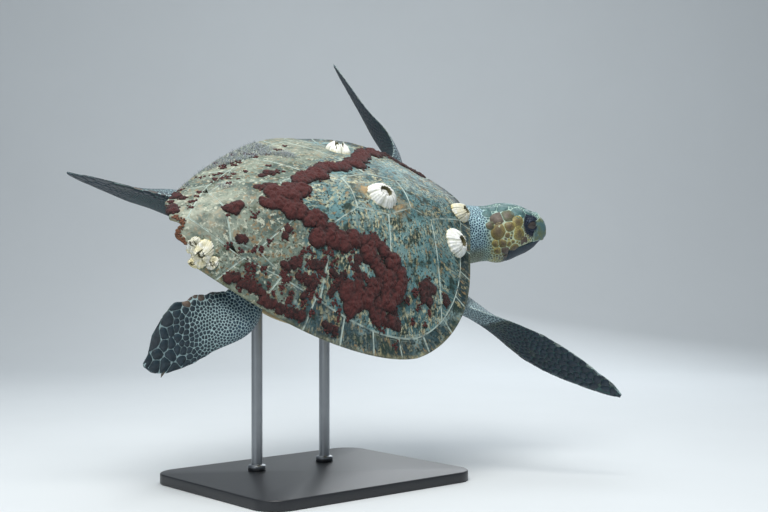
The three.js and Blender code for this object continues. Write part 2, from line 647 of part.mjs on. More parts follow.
function headParts(neck) {
  const whole = headForm();
  const sockets = eyeBall(1, EYE_RADIUS + PART_GAP).add(eyeBall(-1, EYE_RADIUS + PART_GAP));
  const block = [HEAD_BLOCK, HEAD_BLOCK, HEAD_BLOCK];
  // The jaw's block hangs from the line of the mouth, and its upper rear edge lies at the jaw's back.
  const jawBox = (gap) => {
    const slope = rad(MOUTH_SLOPE);
    const x = JAW_BACK - gap;
    const z = MOUTH_FRONT.z + (x - MOUTH_FRONT.x) * Math.tan(slope) + gap;
    const centre = V(x, 0, z)
      .addScaledVector(V(Math.cos(slope), 0, Math.sin(slope)), HEAD_BLOCK / 2)
      .addScaledVector(V(Math.sin(slope), 0, -Math.cos(slope)), HEAD_BLOCK / 2);
    return headBox(block, centre, -MOUTH_SLOPE);
  };
  const beakBox = (gap) => headBox(block, V(BEAK_BACK - gap + HEAD_BLOCK / 2, 0, 0));
  const neckBox = beyond(HEAD_POSITION, V(1, 0, 0).transformDirection(headMatrix), PART_GAP);
  const jaw = whole.intersect(jawBox(0));
  const upper = whole.subtract(jawBox(PART_GAP));
  return {
    neck: neck.subtract(neckBox),
    head: upper.subtract(beakBox(PART_GAP)).subtract(sockets)
      .intersect(beyond(HEAD_POSITION, V(1, 0, 0).transformDirection(headMatrix))),
    beak_upper: upper.intersect(beakBox(0)).subtract(sockets),
    jaw_lower: jaw.subtract(sockets),
    eye_left: eyeBall(1, EYE_RADIUS),
    eye_right: eyeBall(-1, EYE_RADIUS),
  };
}

// ---------------------------------------------------------------- barnacles
// Plan position, base radius along and across the body, height.
const BARNACLES = {
  barnacle_mid: { at: [0.343, -0.020], radius: 37, height: 22 },
  barnacle_front_upper: { at: [0.040, -0.019], radius: 27, height: 24 },
  barnacle_front_lower: { at: [0.086, -0.131], radius: 35, height: 27 },
  barnacle_rear: { at: [0.880, -0.092], radius: 24, height: 20 },
};

const BARNACLE_SEAT = 3;           // its foot's height over the shell
// Shares of the radius and of the height, from under the foot to the mouth's floor.
const BARNACLE_PROFILE = [
  [0, -0.4], [1.08, -0.4], [1, 0], [0.86, 0.45], [0.62, 0.85], [0.48, 1], [0.36, 0.94], [0.30, 0.62],
  [0, 0.55]];

/** A blunt cone with a sunk mouth, its foot cut to the shell's curve. */
function barnacle({ at, radius, height }) {
  const profile = BARNACLE_PROFILE.map(([r, h]) => new THREE.Vector2(r * radius, h * height));
  const lathe = new THREE.LatheGeometry(profile, 12);
  const foot = shellPoint(...at, 0);
  const normal = foot.clone().sub(shellPoint(...at, 10)).normalize();
  const turn = new THREE.Quaternion().setFromUnitVectors(V(0, 1, 0), normal);
  const cone = placed(lathe, new THREE.Matrix4().compose(foot, turn, V(1, 1, 1)));
  return geometryOf(cone.subtract(shellSlab(-BARNACLE_SEAT, 3 * SHELL_ROOM)));
}

// ---------------------------------------------------------------- stand
const bankTurn = new THREE.Matrix4().makeRotationX(rad(BANK)).setPosition(0, 0, BODY_HEIGHT);

function standBase() {
  const shape = new THREE.Shape();
  const [a, b, r] = [BASE_LENGTH / 2, BASE_WIDTH / 2, BASE_CORNER];
  shape.absarc(a - r, b - r, r, 0, Math.PI / 2);
  shape.absarc(r - a, b - r, r, Math.PI / 2, Math.PI);
  shape.absarc(r - a, r - b, r, Math.PI, 1.5 * Math.PI);
  shape.absarc(a - r, r - b, r, 1.5 * Math.PI, 2 * Math.PI);
  const options = { depth: BASE_THICK, bevelEnabled: false, curveSegments: 6 };
  const slab = new THREE.ExtrudeGeometry(shape, options);
  return geometryOf(placed(slab, new THREE.Matrix4()));
}

/** An upright rod, its top cut to lie flat against the belly. */
function standRod(x) {
  const belly = V(x, ROD_BELLY_Y, -BELLY_DEPTH - STAND_GAP).applyMatrix4(bankTurn);
  const normal = V(0, 0, -1).transformDirection(bankTurn);
  const rings = [BASE_THICK + STAND_GAP, null].map((level) => Array.from({ length: 24 }, (_, i) => {
    const a = 2 * Math.PI * i / 24;
    const p = V(belly.x + ROD_RADIUS * Math.cos(a), belly.y + ROD_RADIUS * Math.sin(a), level ?? 0);
    if (level === null) p.z = belly.z - ((p.y - belly.y) * normal.y) / normal.z;
    return p;
  }));
  return loft(rings);
}

// ---------------------------------------------------------------- the model
const turtle = new THREE.Group();
const body = new THREE.Group();
body.rotation.x = rad(BANK);
body.position.z = BODY_HEIGHT;
turtle.add(body);

function put(group, name, geometry, material) {
  const mesh = new THREE.Mesh(geometry, material());
  mesh.name = name;
  group.add(mesh);
}

put(body, 'nuchal', nuchal(), SCUTE);
for (let i = 0; i < 5; i++) {
  const material = i < 3 ? SCUTE : SCUTE_REAR;
  put(body, `vertebral_${i + 1}`, vertebral(i), material);
  put(body, `costal_left_${i + 1}`, costal(i, 1), material);
  put(body, `costal_right_${i + 1}`, costal(i, -1), material);
}
for (let i = 0; i < 12; i++) {
  const material = i < 7 ? SCUTE : SCUTE_REAR;
  put(body, `marginal_left_${i + 1}`, marginal(i, 1), material);
  put(body, `marginal_right_${i + 1}`, marginal(i, -1), material);
}
put(body, 'plastron', plastron(), BELLY);

const { neck, ...flesh } = fleshParts();
for (const [name, part] of Object.entries(flesh)) put(body, name, geometryOf(part), SKIN);
const HEAD_FINISH = { beak_upper: HORN, jaw_lower: HORN, eye_left: EYE, eye_right: EYE };
for (const [name, part] of Object.entries(headParts(neck))) {
  put(body, name, geometryOf(part), HEAD_FINISH[name] ?? SKIN);
}
for (const [name, sizes] of Object.entries(BARNACLES)) put(body, name, barnacle(sizes), BARNACLE);

put(turtle, 'stand_base', standBase(), BASE);
put(turtle, 'stand_rod_front', standRod(ROD_SPREAD), STEEL);
put(turtle, 'stand_rod_rear', standRod(-ROD_SPREAD), STEEL);

export default turtle;
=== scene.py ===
"""A life-size loggerhead turtle in mid-stroke, banked on a plain display stand.

Lengths are metres. The body frame has +X to the head, +Y to the animal's left and +Z to its
back, with its origin on the midline in the plane of the shell's side rim. On the shell, s runs
back from the front edge (0) to where the rear tip would be (1) and y runs to the left, both as
shares of the shell length.
"""
import logging
import math
from dataclasses import dataclass, field, replace
from enum import Enum
from typing import Callable

import bpy
import numpy as np
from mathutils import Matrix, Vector, kdtree
from mathutils.bvhtree import BVHTree


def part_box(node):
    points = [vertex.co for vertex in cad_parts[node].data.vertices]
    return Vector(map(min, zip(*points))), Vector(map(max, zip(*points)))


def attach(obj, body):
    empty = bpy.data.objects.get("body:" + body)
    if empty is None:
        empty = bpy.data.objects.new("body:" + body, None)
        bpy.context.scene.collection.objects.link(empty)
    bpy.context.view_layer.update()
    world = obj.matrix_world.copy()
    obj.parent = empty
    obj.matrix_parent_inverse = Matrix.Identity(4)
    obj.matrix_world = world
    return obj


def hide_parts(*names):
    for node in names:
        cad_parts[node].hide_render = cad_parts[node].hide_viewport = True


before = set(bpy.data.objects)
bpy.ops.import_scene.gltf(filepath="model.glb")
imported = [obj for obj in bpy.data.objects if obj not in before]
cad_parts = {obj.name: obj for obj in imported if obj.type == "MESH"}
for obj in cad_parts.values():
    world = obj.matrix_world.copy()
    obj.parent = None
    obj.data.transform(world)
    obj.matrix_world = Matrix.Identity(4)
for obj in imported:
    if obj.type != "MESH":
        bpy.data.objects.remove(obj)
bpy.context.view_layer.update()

LOG = logging.getLogger("turtle")
Array = np.ndarray
Socket = bpy.types.NodeSocket
MM = 0.001
TUFT_PATCH = 0.0015
HASH_PRIMES = (73856093, 19349663, 83492791)
HASH_SEED_STEP = 668265263
HASH_MIX = 1274126177
HASH_MASK = 0xFFFFFF


# ---------------------------------------------------------------- numbers and noise
def ease(value: Array | float, low: float, high: float) -> Array:
    """Smooth step of a value, from 0 at low to 1 at high."""
    share = np.clip((np.asarray(value, float) - low) / (high - low), 0.0, 1.0)
    return share * share * (3.0 - 2.0 * share)


def mix(first: Array | float, second: Array | float, share: Array | float) -> Array:
    """Value part of the way from the first to the second."""
    return first + (second - first) * share


def unit(vectors: Array) -> Array:
    """Vectors scaled to a length of one."""
    return vectors / np.maximum(np.linalg.norm(vectors, axis=-1, keepdims=True), 1e-12)


def bell(distance: Array | float, width: float) -> Array:
    """Gaussian bump, 1 at no distance."""
    return np.exp(-(np.asarray(distance, float) / width) ** 2)


def turns(count: int) -> Array:
    """Angles spread evenly over a full turn."""
    return np.linspace(0, 2 * math.pi, count + 1)[:-1]


def circle(angle: Array) -> Array:
    """Places on a circle with a radius of one."""
    return np.stack([np.cos(angle), np.sin(angle)], axis=-1)


def run_length(line: Array) -> Array:
    """Length run from the start of a broken line to each of its points."""
    return np.concatenate([[0.0], np.cumsum(np.linalg.norm(np.diff(line, axis=0), axis=1))])


def hashed(cells: Array, seed: int) -> Array:
    """Repeatable scatter value of whole-number cells.

    Args:
        cells: Whole numbers, three to a row.
        seed: Which scatter to use.

    Returns:
        A number from 0 to 1 for each row.
    """
    x, y, z = (cells[..., axis] * prime for axis, prime in enumerate(HASH_PRIMES))
    key = x ^ y ^ z ^ (seed * HASH_SEED_STEP)
    key = (key ^ (key >> 13)) * HASH_MIX
    key = key ^ (key >> 16)
    return (key & HASH_MASK) / float(HASH_MASK)


def noise(points: Array, size: float, seed: int = 0) -> Array:
    """Smooth noise in space.

    Args:
        points: Places, three numbers to a row.
        size: Width of the noise's lumps, in metres.
        seed: Which noise to use.

    Returns:
        A number from -1 to 1 for each place.
    """
    grid = points / size
    base = np.floor(grid).astype(np.int64)
    part = grid - base
    part = part * part * (3.0 - 2.0 * part)
    total = np.zeros(points.shape[:-1])
    for corner in np.ndindex(2, 2, 2):
        step = np.array(corner)
        weight = np.prod(np.where(step == 1, part, 1.0 - part), axis=-1)
        total += weight * hashed(base + step, seed)
    return 2.0 * total - 1.0


def fractal(points: Array, size: float, seed: int = 0, octaves: int = 3) -> Array:
    """Noise with finer noise over it, from about -1 to 1."""
    total = sum(noise(points, size / 2 ** k, seed + k) * 0.5 ** k for k in range(octaves))
    return total / sum(0.5 ** k for k in range(octaves))


def grains(points: Array, size: float, seed: int = 0) -> Array:
    """Round grains packed in space.

    Args:
        points: Places, three numbers to a row.
        size: Spacing of the grains, in metres.
        seed: Which grains to use.

    Returns:
        1 at the middle of a grain, falling to 0 between grains.
    """
    grid = points / size
    base = np.floor(grid).astype(np.int64)
    nearest = np.full(points.shape[:-1], 9.0)
    for shift in np.ndindex(3, 3, 3):
        cell = base + np.array(shift) - 1
        place = cell + np.stack([hashed(cell, seed + k) for k in range(3)], axis=-1)
        nearest = np.minimum(nearest, np.linalg.norm(grid - place, axis=-1))
    return np.clip(1.0 - nearest, 0.0, 1.0)


def hermite(at: Array, stations: Array) -> Array:
    """Smooth curve through a table of stations.

    Args:
        at: Where to read the table.
        stations: Rows whose first number is the place and whose others are the values.

    Returns:
        The values at each place, one row for each.
    """
    table = np.asarray(stations, float)
    xs, values = table[:, 0], table[:, 1:]
    slopes = np.gradient(values, xs, axis=0)
    at = np.clip(at, xs[0], xs[-1])
    i = np.clip(np.searchsorted(xs, at, side="right") - 1, 0, len(xs) - 2)
    span = (xs[i + 1] - xs[i])[:, None]
    t = ((at - xs[i]) / (xs[i + 1] - xs[i]))[:, None]
    first = (2 * t ** 3 - 3 * t ** 2 + 1) * values[i] + (t ** 3 - 2 * t ** 2 + t) * span * slopes[i]
    second = (3 * t ** 2 - 2 * t ** 3) * values[i + 1] + (t ** 3 - t ** 2) * span * slopes[i + 1]
    return first + second


def grid_normals(points: Array, wrap: bool) -> Array:
    """Normals of a grid of points, rows crossed with columns.

    Args:
        points: Grid of places, rows by columns by three.
        wrap: Whether the columns close on themselves.

    Returns:
        One normal for each place.
    """
    down = np.gradient(points, axis=0)
    if wrap:
        across = np.roll(points, -1, axis=1) - np.roll(points, 1, axis=1)
    else:
        across = np.gradient(points, axis=1)
    return unit(np.cross(down, across))


def denser(fine: Array, extra: Array, count: int, ends: bool) -> Array:
    """Places along a run, closer together where extra ones are wanted.

    Args:
        fine: The run in fine steps.
        extra: How many more places each step wants, next to one.
        count: Number of places.
        ends: Whether the last place is the run's end.

    Returns:
        The places.
    """
    total = np.concatenate([[0], np.cumsum(1 + extra[1:])])
    shares = np.linspace(0, 1, count) if ends else np.linspace(0, 1, count + 1)[:-1]
    return np.interp(shares, total / total[-1], fine)


def facing_out(rings: Array, middle: Array) -> Array:
    """Normals of closed rings, turned away from each ring's middle."""
    out = grid_normals(rings, True)
    return out * np.sign(np.sum(out * (rings - middle), axis=-1, keepdims=True))


def place_tree(points: Array) -> kdtree.KDTree:
    """Search tree over places, each known by its row.

    Args:
        points: The places, one to a row.

    Returns:
        The search tree.
    """
    tree = kdtree.KDTree(len(points))
    for number, place in enumerate(points.tolist()):
        tree.insert(place, number)
    tree.balance()
    return tree


# ---------------------------------------------------------------- meshes
@dataclass
class Form:
    """Points with the faces between them, and what each point carries."""

    points: Array
    faces: list[Array]
    values: dict[str, Array] = field(default_factory=dict)
    patches: Array | None = None

    @staticmethod
    def joined(forms: list["Form"]) -> "Form":
        """One form made of several that carry the same values.

        Args:
            forms: The forms.

        Returns:
            One form with all their faces and values.
        """
        faces: dict[int, list[Array]] = {}
        start = 0
        for form in forms:
            for run in form.faces:
                faces.setdefault(run.shape[1], []).append(run + start)
            start += len(form.points)
        shared = set.intersection(*[set(form.values) for form in forms])
        values = {key: np.concatenate([form.values[key] for form in forms]) for key in sorted(shared)}
        patches = None
        if all(form.patches is not None for form in forms):
            patches = np.concatenate([form.patches for form in forms])
        points = np.concatenate([form.points for form in forms])
        return Form(points, [np.concatenate(runs) for runs in faces.values()], values, patches)

    def triangles(self) -> int:
        """How many triangles the form has."""
        return sum(len(run) * (run.shape[1] - 2) for run in self.faces)


def grid_faces(rows: int, cols: int, wrap: bool) -> Array:
    """Four-sided faces between the points of a grid, out of the front of grid_normals.

    Args:
        rows: Number of rows.
        cols: Number of columns.
        wrap: Whether the columns close on themselves.

    Returns:
        Four-cornered faces between the rows.
    """
    i, j = np.meshgrid(np.arange(rows - 1), np.arange(cols if wrap else cols - 1), indexing="ij")
    a, b = i * cols + j, i * cols + (j + 1) % cols
    return np.stack([a, a + cols, b + cols, b], axis=-1).reshape(-1, 4)


def loft(rings: Array) -> Form:
    """Closed skin through rings of equal count, each end closed by a fan.

    Args:
        rings: Closed rings of places, row by row.

    Returns:
        The closed form.
    """
    rows, cols = rings.shape[:2]
    centres = np.stack([rings[0].mean(axis=0), rings[-1].mean(axis=0)])
    points = np.concatenate([rings.reshape(-1, 3), centres])
    j = np.arange(cols)
    after = (j + 1) % cols
    first = np.stack([np.full(cols, rows * cols), j, after], axis=-1)
    last_row = (rows - 1) * cols
    last = np.stack([np.full(cols, rows * cols + 1), last_row + after, last_row + j], axis=-1)
    form = Form(points, [grid_faces(rows, cols, True), np.concatenate([first, last])])
    return outward(form)


def outward(form: Form) -> Form:
    """The same closed form with its faces pointing out.

    Args:
        form: The form.

    Returns:
        The form, its faces turned outwards.
    """
    volume = 0.0
    for run in form.faces:
        a = form.points[run[:, 0]]
        for k in range(1, run.shape[1] - 1):
            b, c = form.points[run[:, k]], form.points[run[:, k + 1]]
            volume += np.einsum("ij,ij->", a, np.cross(b, c))
    if volume < 0:
        form.faces = [run[:, ::-1] for run in form.faces]
    return form


def slab(outer: Array, inner: Array) -> Form:
    """Closed plate between two grids of points of the same size.

    Args:
        outer: Grid of places on the outside.
        inner: Grid of places on the inside.

    Returns:
        The closed form.
    """
    rows, cols = outer.shape[:2]
    half = rows * cols
    top = grid_faces(rows, cols, False)
    edge = np.concatenate([
        np.arange(cols - 1), np.arange(rows - 1) * cols + cols - 1,
        half - 1 - np.arange(cols - 1), (rows - 1 - np.arange(rows - 1)) * cols])
    after = np.roll(edge, -1)
    wall = np.stack([edge, after, after + half, edge + half], axis=-1)
    points = np.concatenate([outer.reshape(-1, 3), inner.reshape(-1, 3)])
    return outward(Form(points, [np.concatenate([top, top[:, ::-1] + half, wall])]))


def stamped(template: Form, frames: Array, places: Array, sizes: Array) -> Form:
    """Copies of a small form, joined.

    Args:
        template: The form, with its root at the origin and +Z up out of the surface.
        frames: Three directions for each copy, one to a row.
        places: Root of each copy.
        sizes: Scale of each copy along its three directions.

    Returns:
        All the copies in one form. Its value "copy" holds the number of each point's copy.
    """
    count, length = len(places), len(template.points)
    scaled = template.points[None] * sizes[:, None]
    points = places[:, None] + np.einsum("nmk,nkc->nmc", scaled, frames)
    shift = np.arange(count)[:, None, None] * length
    faces = [(run[None] + shift).reshape(-1, run.shape[1]) for run in template.faces]
    values = {"copy": np.repeat(np.arange(count), length)}
    for key, value in template.values.items():
        values[key] = np.tile(value, count)
    return Form(points.reshape(-1, 3), faces, values)


def upright_frames(normals: Array, lean: Array) -> Array:
    """Frames whose third direction is the normal and whose first follows a lean."""
    first = unit(lean - np.sum(lean * normals, axis=-1, keepdims=True) * normals)
    return np.stack([first, np.cross(normals, first), normals], axis=1)


@dataclass(frozen=True)
class Pose:
    """How the body frame stands over the floor."""

    bank: float = math.radians(49.5)
    height: float = 0.560

    def to_room(self, points: Array) -> Array:
        """Places of the body frame, in the room.

        Args:
            points: Places in the body frame.

        Returns:
            The places in the room's frame.
        """
        cos, sin = math.cos(self.bank), math.sin(self.bank)
        x, y, z = points[..., 0], points[..., 1], points[..., 2]
        return np.stack([x, y * cos - z * sin, y * sin + z * cos + self.height], axis=-1)


POSE = Pose()


def raw_mesh(name: str, form: Form) -> bpy.types.Mesh:
    """Blender mesh of a form as it stands, with its values as attributes.

    Args:
        name: Name of the new thing.
        form: The form.

    Returns:
        The mesh.
    """
    mesh = bpy.data.meshes.new(name)
    mesh.vertices.add(len(form.points))
    mesh.vertices.foreach_set("co", form.points.astype(np.float32).ravel())
    corners = np.concatenate([run.ravel() for run in form.faces]).astype(np.int32)
    sizes = np.concatenate([np.full(len(run), run.shape[1]) for run in form.faces])
    mesh.loops.add(len(corners))
    mesh.loops.foreach_set("vertex_index", corners)
    mesh.polygons.add(len(sizes))
    starts = np.concatenate([[0], np.cumsum(sizes)[:-1]]).astype(np.int32)
    mesh.polygons.foreach_set("loop_start", starts)
    mesh.polygons.foreach_set("use_smooth", np.ones(len(sizes), bool))
    mesh.update(calc_edges=True)
    kinds = {1: ("FLOAT", "value"), 3: ("FLOAT_VECTOR", "vector"), 4: ("FLOAT_COLOR", "color")}
    for key, value in form.values.items():
        kind, channel = kinds[value.size // len(value)]
        layer = mesh.attributes.new(key, kind, "POINT")
        layer.data.foreach_set(channel, value.astype(np.float32).ravel())
    if form.patches is not None:
        layer = mesh.uv_layers.new(name="OFBake")
        by_corner = form.patches if len(form.patches) == len(corners) else form.patches[corners]
        layer.uv.foreach_set("vector", by_corner.astype(np.float32).ravel())
    return mesh


def shown(name: str, data: bpy.types.ID) -> bpy.types.Object:
    """New object of the scene for a mesh, a light or a camera.

    Args:
        name: Name of the new thing.
        data: What the object shows.

    Returns:
        The object.
    """
    made = bpy.data.objects.new(name, data)
    bpy.context.scene.collection.objects.link(made)
    return made


def piece(name: str, form: Form, finish: "Finish", nodes: tuple[str, ...] = (),
          in_room: bool = False) -> bpy.types.Object:
    """Makes a piece of the model from a form.

    Args:
        name: The piece's name.
        form: Its shape, in the body frame unless in_room is true.
        finish: What it is finished in.
        nodes: The CAD nodes that it stands for.
        in_room: Whether the form is in the room's frame already.

    Returns:
        The new object, riding on the model's body.
    """
    placed = form if in_room else replace(form, points=POSE.to_room(form.points))
    made = shown(name, raw_mesh(name, placed))
    made.data.materials.append(finish.material())
    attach(made, "root")
    if nodes:
        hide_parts(*nodes)
    LOG.info("%s: %d triangles", name, form.triangles())
    return made


# ---------------------------------------------------------------- shader nodes
def srgb(red: int, green: int, blue: int) -> tuple[float, float, float, float]:
    """Linear colour of one given in steps of 0 to 255, by the sRGB standard's curve."""
    parts = [((v / 255 + 0.055) / 1.055) ** 2.4 if v > 10 else v / 255 / 12.92 for v in (red, green, blue)]
    return (*parts, 1.0)


class Graph:
    """Short calls that lay out shader nodes in a material or a group."""

    def __init__(self, tree: bpy.types.NodeTree) -> None:
        """Works in the given node tree."""
        self.tree = tree

    def feed(self, socket: Socket, value: object) -> None:
        """Sets a socket to a value, or links another socket to it.

        Args:
            socket: The input to feed.
            value: A socket, a number or a colour.
        """
        if isinstance(value, bpy.types.NodeSocket):
            self.tree.links.new(value, socket)
        else:
            socket.default_value = value

    def node(self, kind: str, inputs: dict[str | int, object] | None = None,
             **settings: object) -> bpy.types.Node:
        """Adds a node with its settings and what feeds its inputs.

        Args:
            kind: The node's type.
            inputs: Values or sockets, by name or number of the input.
            **settings: The node's own settings.

        Returns:
            The new node.
        """
        made = self.tree.nodes.new(kind)
        for key, value in settings.items():
            setattr(made, key, value)
        for key, value in (inputs or {}).items():
            self.feed(made.inputs[key], value)
        return made

    def calc(self, operation: str, first: object, second: object = 0.0) -> Socket:
        """One step of arithmetic."""
        return self.node("ShaderNodeMath", {0: first, 1: second}, operation=operation).outputs[0]

    def times(self, first: object, second: object) -> Socket:
        """Product of two values."""
        return self.calc("MULTIPLY", first, second)

    def blend(self, share: object, first: object, second: object) -> Socket:
        """Colour between two colours."""
        return self.node("ShaderNodeMix", {0: share, 6: first, 7: second}, data_type="RGBA").outputs[2]

    def span(self, value: object, low: float, high: float, to_low: float = 0.0,
             to_high: float = 1.0) -> Socket:
        """Smooth step of a value between two limits, put out between two others."""
        inputs = {0: value, 1: low, 2: high, 3: to_low, 4: to_high}
        return self.node("ShaderNodeMapRange", inputs, interpolation_type="SMOOTHSTEP").outputs[0]

    def noise(self, where: object, scale: object, detail: float = 3.0, rough: float = 0.55) -> Socket:
        """Cloudy noise from about 0 to 1."""
        inputs = {"Vector": where, "Scale": scale, "Detail": detail, "Roughness": rough}
        return self.node("ShaderNodeTexNoise", inputs).outputs[0]

    def cloud(self, where: object, scale: float, low: float, high: float, detail: float = 3.0,
              rough: float = 0.55) -> Socket:
        """Noise as a mask: 0 up to a low level and 1 from a high one."""
        return self.span(self.noise(where, scale, detail, rough), low, high)

    def cells(self, where: object, scale: object) -> Socket:
        """Distance from the middle of the nearest cell."""
        return self.node("ShaderNodeTexVoronoi", {"Vector": where, "Scale": scale}).outputs["Distance"]

    def value(self, name: str) -> Socket:
        """A number carried by the mesh."""
        return self.node("ShaderNodeAttribute", attribute_name=name).outputs["Fac"]

    def tint(self, name: str) -> Socket:
        """A colour or vector carried by the mesh."""
        return self.node("ShaderNodeAttribute", attribute_name=name).outputs["Color"]

    def place(self) -> Socket:
        """Place in the model's own frame."""
        return self.node("ShaderNodeTexCoord").outputs["Object"]

    def stretched(self, where: object, scale: object) -> Socket:
        """Vector or colour with its parts scaled."""
        return self.node("ShaderNodeVectorMath", {0: where, 1: scale}, operation="MULTIPLY").outputs[0]

    def group(self, tree: bpy.types.NodeTree, inputs: dict[str, object]) -> bpy.types.Node:
        """Places a node group with its inputs.

        Args:
            tree: The node group.
            inputs: Values or sockets for its inputs.

        Returns:
            The group's node.
        """
        made = self.tree.nodes.new("ShaderNodeGroup")
        made.node_tree = tree
        for key, value in inputs.items():
            self.feed(made.inputs[key], value)
        return made


class Effect:
    """Node groups that several finishes share, each built once."""

    made: dict[str, bpy.types.NodeTree] = {}

    @classmethod
    def start(cls, name: str, inputs: dict[str, tuple[str, object]],
              outputs: dict[str, str]) -> tuple[Graph, bpy.types.Node, bpy.types.Node]:
        """Begins a node group.

        Args:
            name: The group's name.
            inputs: Socket kind and default value of each named input.
            outputs: Socket kind of each named output.

        Returns:
            The graph to build in, the group's input node and its output node.
        """
        tree = bpy.data.node_groups.new(name, "ShaderNodeTree")
        for key, (kind, default) in inputs.items():
            socket = tree.interface.new_socket(name=key, in_out="INPUT", socket_type=kind)
            if default is not None:
                socket.default_value = default
        for key, kind in outputs.items():
            tree.interface.new_socket(name=key, in_out="OUTPUT", socket_type=kind)
        cls.made[name] = tree
        graph = Graph(tree)
        return graph, graph.node("NodeGroupInput"), graph.node("NodeGroupOutput")

    @classmethod
    def flecks(cls) -> bpy.types.NodeTree:
        """Ragged flecks: the mask is 1 inside them. Share is how much of the surface they cover.

        Returns:
            The node group.
        """
        if "Flecks" not in cls.made:
            graph, given, out = cls.start(
                "Flecks",
                {"Vector": ("NodeSocketVector", None), "Scale": ("NodeSocketFloat", 60.0),
                 "Share": ("NodeSocketFloat", 0.4), "Softness": ("NodeSocketFloat", 0.06)},
                {"Mask": "NodeSocketFloat"})
            cloud = graph.noise(given.outputs["Vector"], given.outputs["Scale"], 5.0, 0.62)
            edge = graph.calc("SUBTRACT", 0.72, graph.times(given.outputs["Share"], 0.44))
            over = graph.calc("SUBTRACT", cloud, edge)
            mask = graph.calc("DIVIDE", over, given.outputs["Softness"])
            clamped = graph.node("ShaderNodeClamp", {0: mask}).outputs[0]
            graph.feed(out.inputs["Mask"], clamped)
        return cls.made["Flecks"]

    @classmethod
    def grain(cls) -> bpy.types.NodeTree:
        """Fine uneven relief as a height.

        Returns:
            The node group.
        """
        if "Grain" not in cls.made:
            graph, given, out = cls.start(
                "Grain",
                {"Vector": ("NodeSocketVector", None), "Scale": ("NodeSocketFloat", 300.0),
                 "Pits": ("NodeSocketFloat", 0.3)},
                {"Height": "NodeSocketFloat"})
            cloud = graph.noise(given.outputs["Vector"], given.outputs["Scale"], 4.0, 0.6)
            pits = graph.cells(given.outputs["Vector"], given.outputs["Scale"])
            sunk = graph.times(graph.span(pits, 0.0, 0.45, 1.0, 0.0), given.outputs["Pits"])
            graph.feed(out.inputs["Height"], graph.calc("SUBTRACT", cloud, sunk))
        return cls.made["Grain"]

    @classmethod
    def mottle(cls) -> bpy.types.NodeTree:
        """A colour broken up in lightness by soft clouds and fine grain.

        Returns:
            The node group.
        """
        if "Mottle" not in cls.made:
            graph, given, out = cls.start(
                "Mottle",
                {"Color": ("NodeSocketColor", (0.5, 0.5, 0.5, 1.0)), "Vector": ("NodeSocketVector", None),
                 "Scale": ("NodeSocketFloat", 30.0), "Amount": ("NodeSocketFloat", 0.3)},
                {"Color": "NodeSocketColor"})
            wide = graph.noise(given.outputs["Vector"], given.outputs["Scale"], 5.0, 0.65)
            shade = graph.span(wide, 0.3, 0.7, -1.0, 1.0)
            gain = graph.calc("ADD", 1.0, graph.times(shade, given.outputs["Amount"]))
            graph.feed(out.inputs["Color"], graph.stretched(given.outputs["Color"], gain))
        return cls.made["Mottle"]


@dataclass(frozen=True)
class Finish:
    """What a piece is finished in."""

    name: str
    roughness: float = 0.6

    def paint(self, graph: Graph, surface: bpy.types.Node) -> None:
        """Lays out the finish's own nodes round its surface shader."""
        raise NotImplementedError

    def material(self) -> bpy.types.Material:
        """The Blender material of this finish, made at its first use.

        Returns:
            The finished material.
        """
        known = bpy.data.materials.get(self.name)
        if known is not None:
            return known
        made = bpy.data.materials.new(self.name)
        made.use_nodes = True
        surface = made.node_tree.nodes["Principled BSDF"]
        surface.inputs["Roughness"].default_value = self.roughness
        self.paint(Graph(made.node_tree), surface)
        return made

    @staticmethod
    def flecks(graph: Graph, where: Socket, scale: float, share: float, soft: float = 0.07) -> Socket:
        """Mask of one kind of fleck."""
        inputs = {"Vector": where, "Scale": scale, "Share": share, "Softness": soft}
        return graph.group(Effect.flecks(), inputs).outputs[0]

    @staticmethod
    def mottled(graph: Graph, colour: object, where: Socket, scale: float, amount: float) -> Socket:
        """A colour broken up in lightness."""
        inputs = {"Color": colour, "Vector": where, "Scale": scale, "Amount": amount}
        return graph.group(Effect.mottle(), inputs).outputs[0]

    @staticmethod
    def relief(graph: Graph, surface: bpy.types.Node, where: Socket, scale: float, pits: float,
               depth: float) -> None:
        """Gives the surface a fine grain.

        Args:
            graph: The material's graph.
            surface: Its surface shader.
            where: Place that the grain is laid out by.
            scale: How fine the grain is.
            pits: How much of it is pits, 0 to 1.
            depth: Height of the grain.
        """
        grain = graph.group(Effect.grain(), {"Vector": where, "Scale": scale, "Pits": pits}).outputs[0]
        bump = graph.node("ShaderNodeBump", {"Height": grain, "Distance": depth, "Strength": 1.0})
        graph.feed(surface.inputs["Normal"], bump.outputs["Normal"])


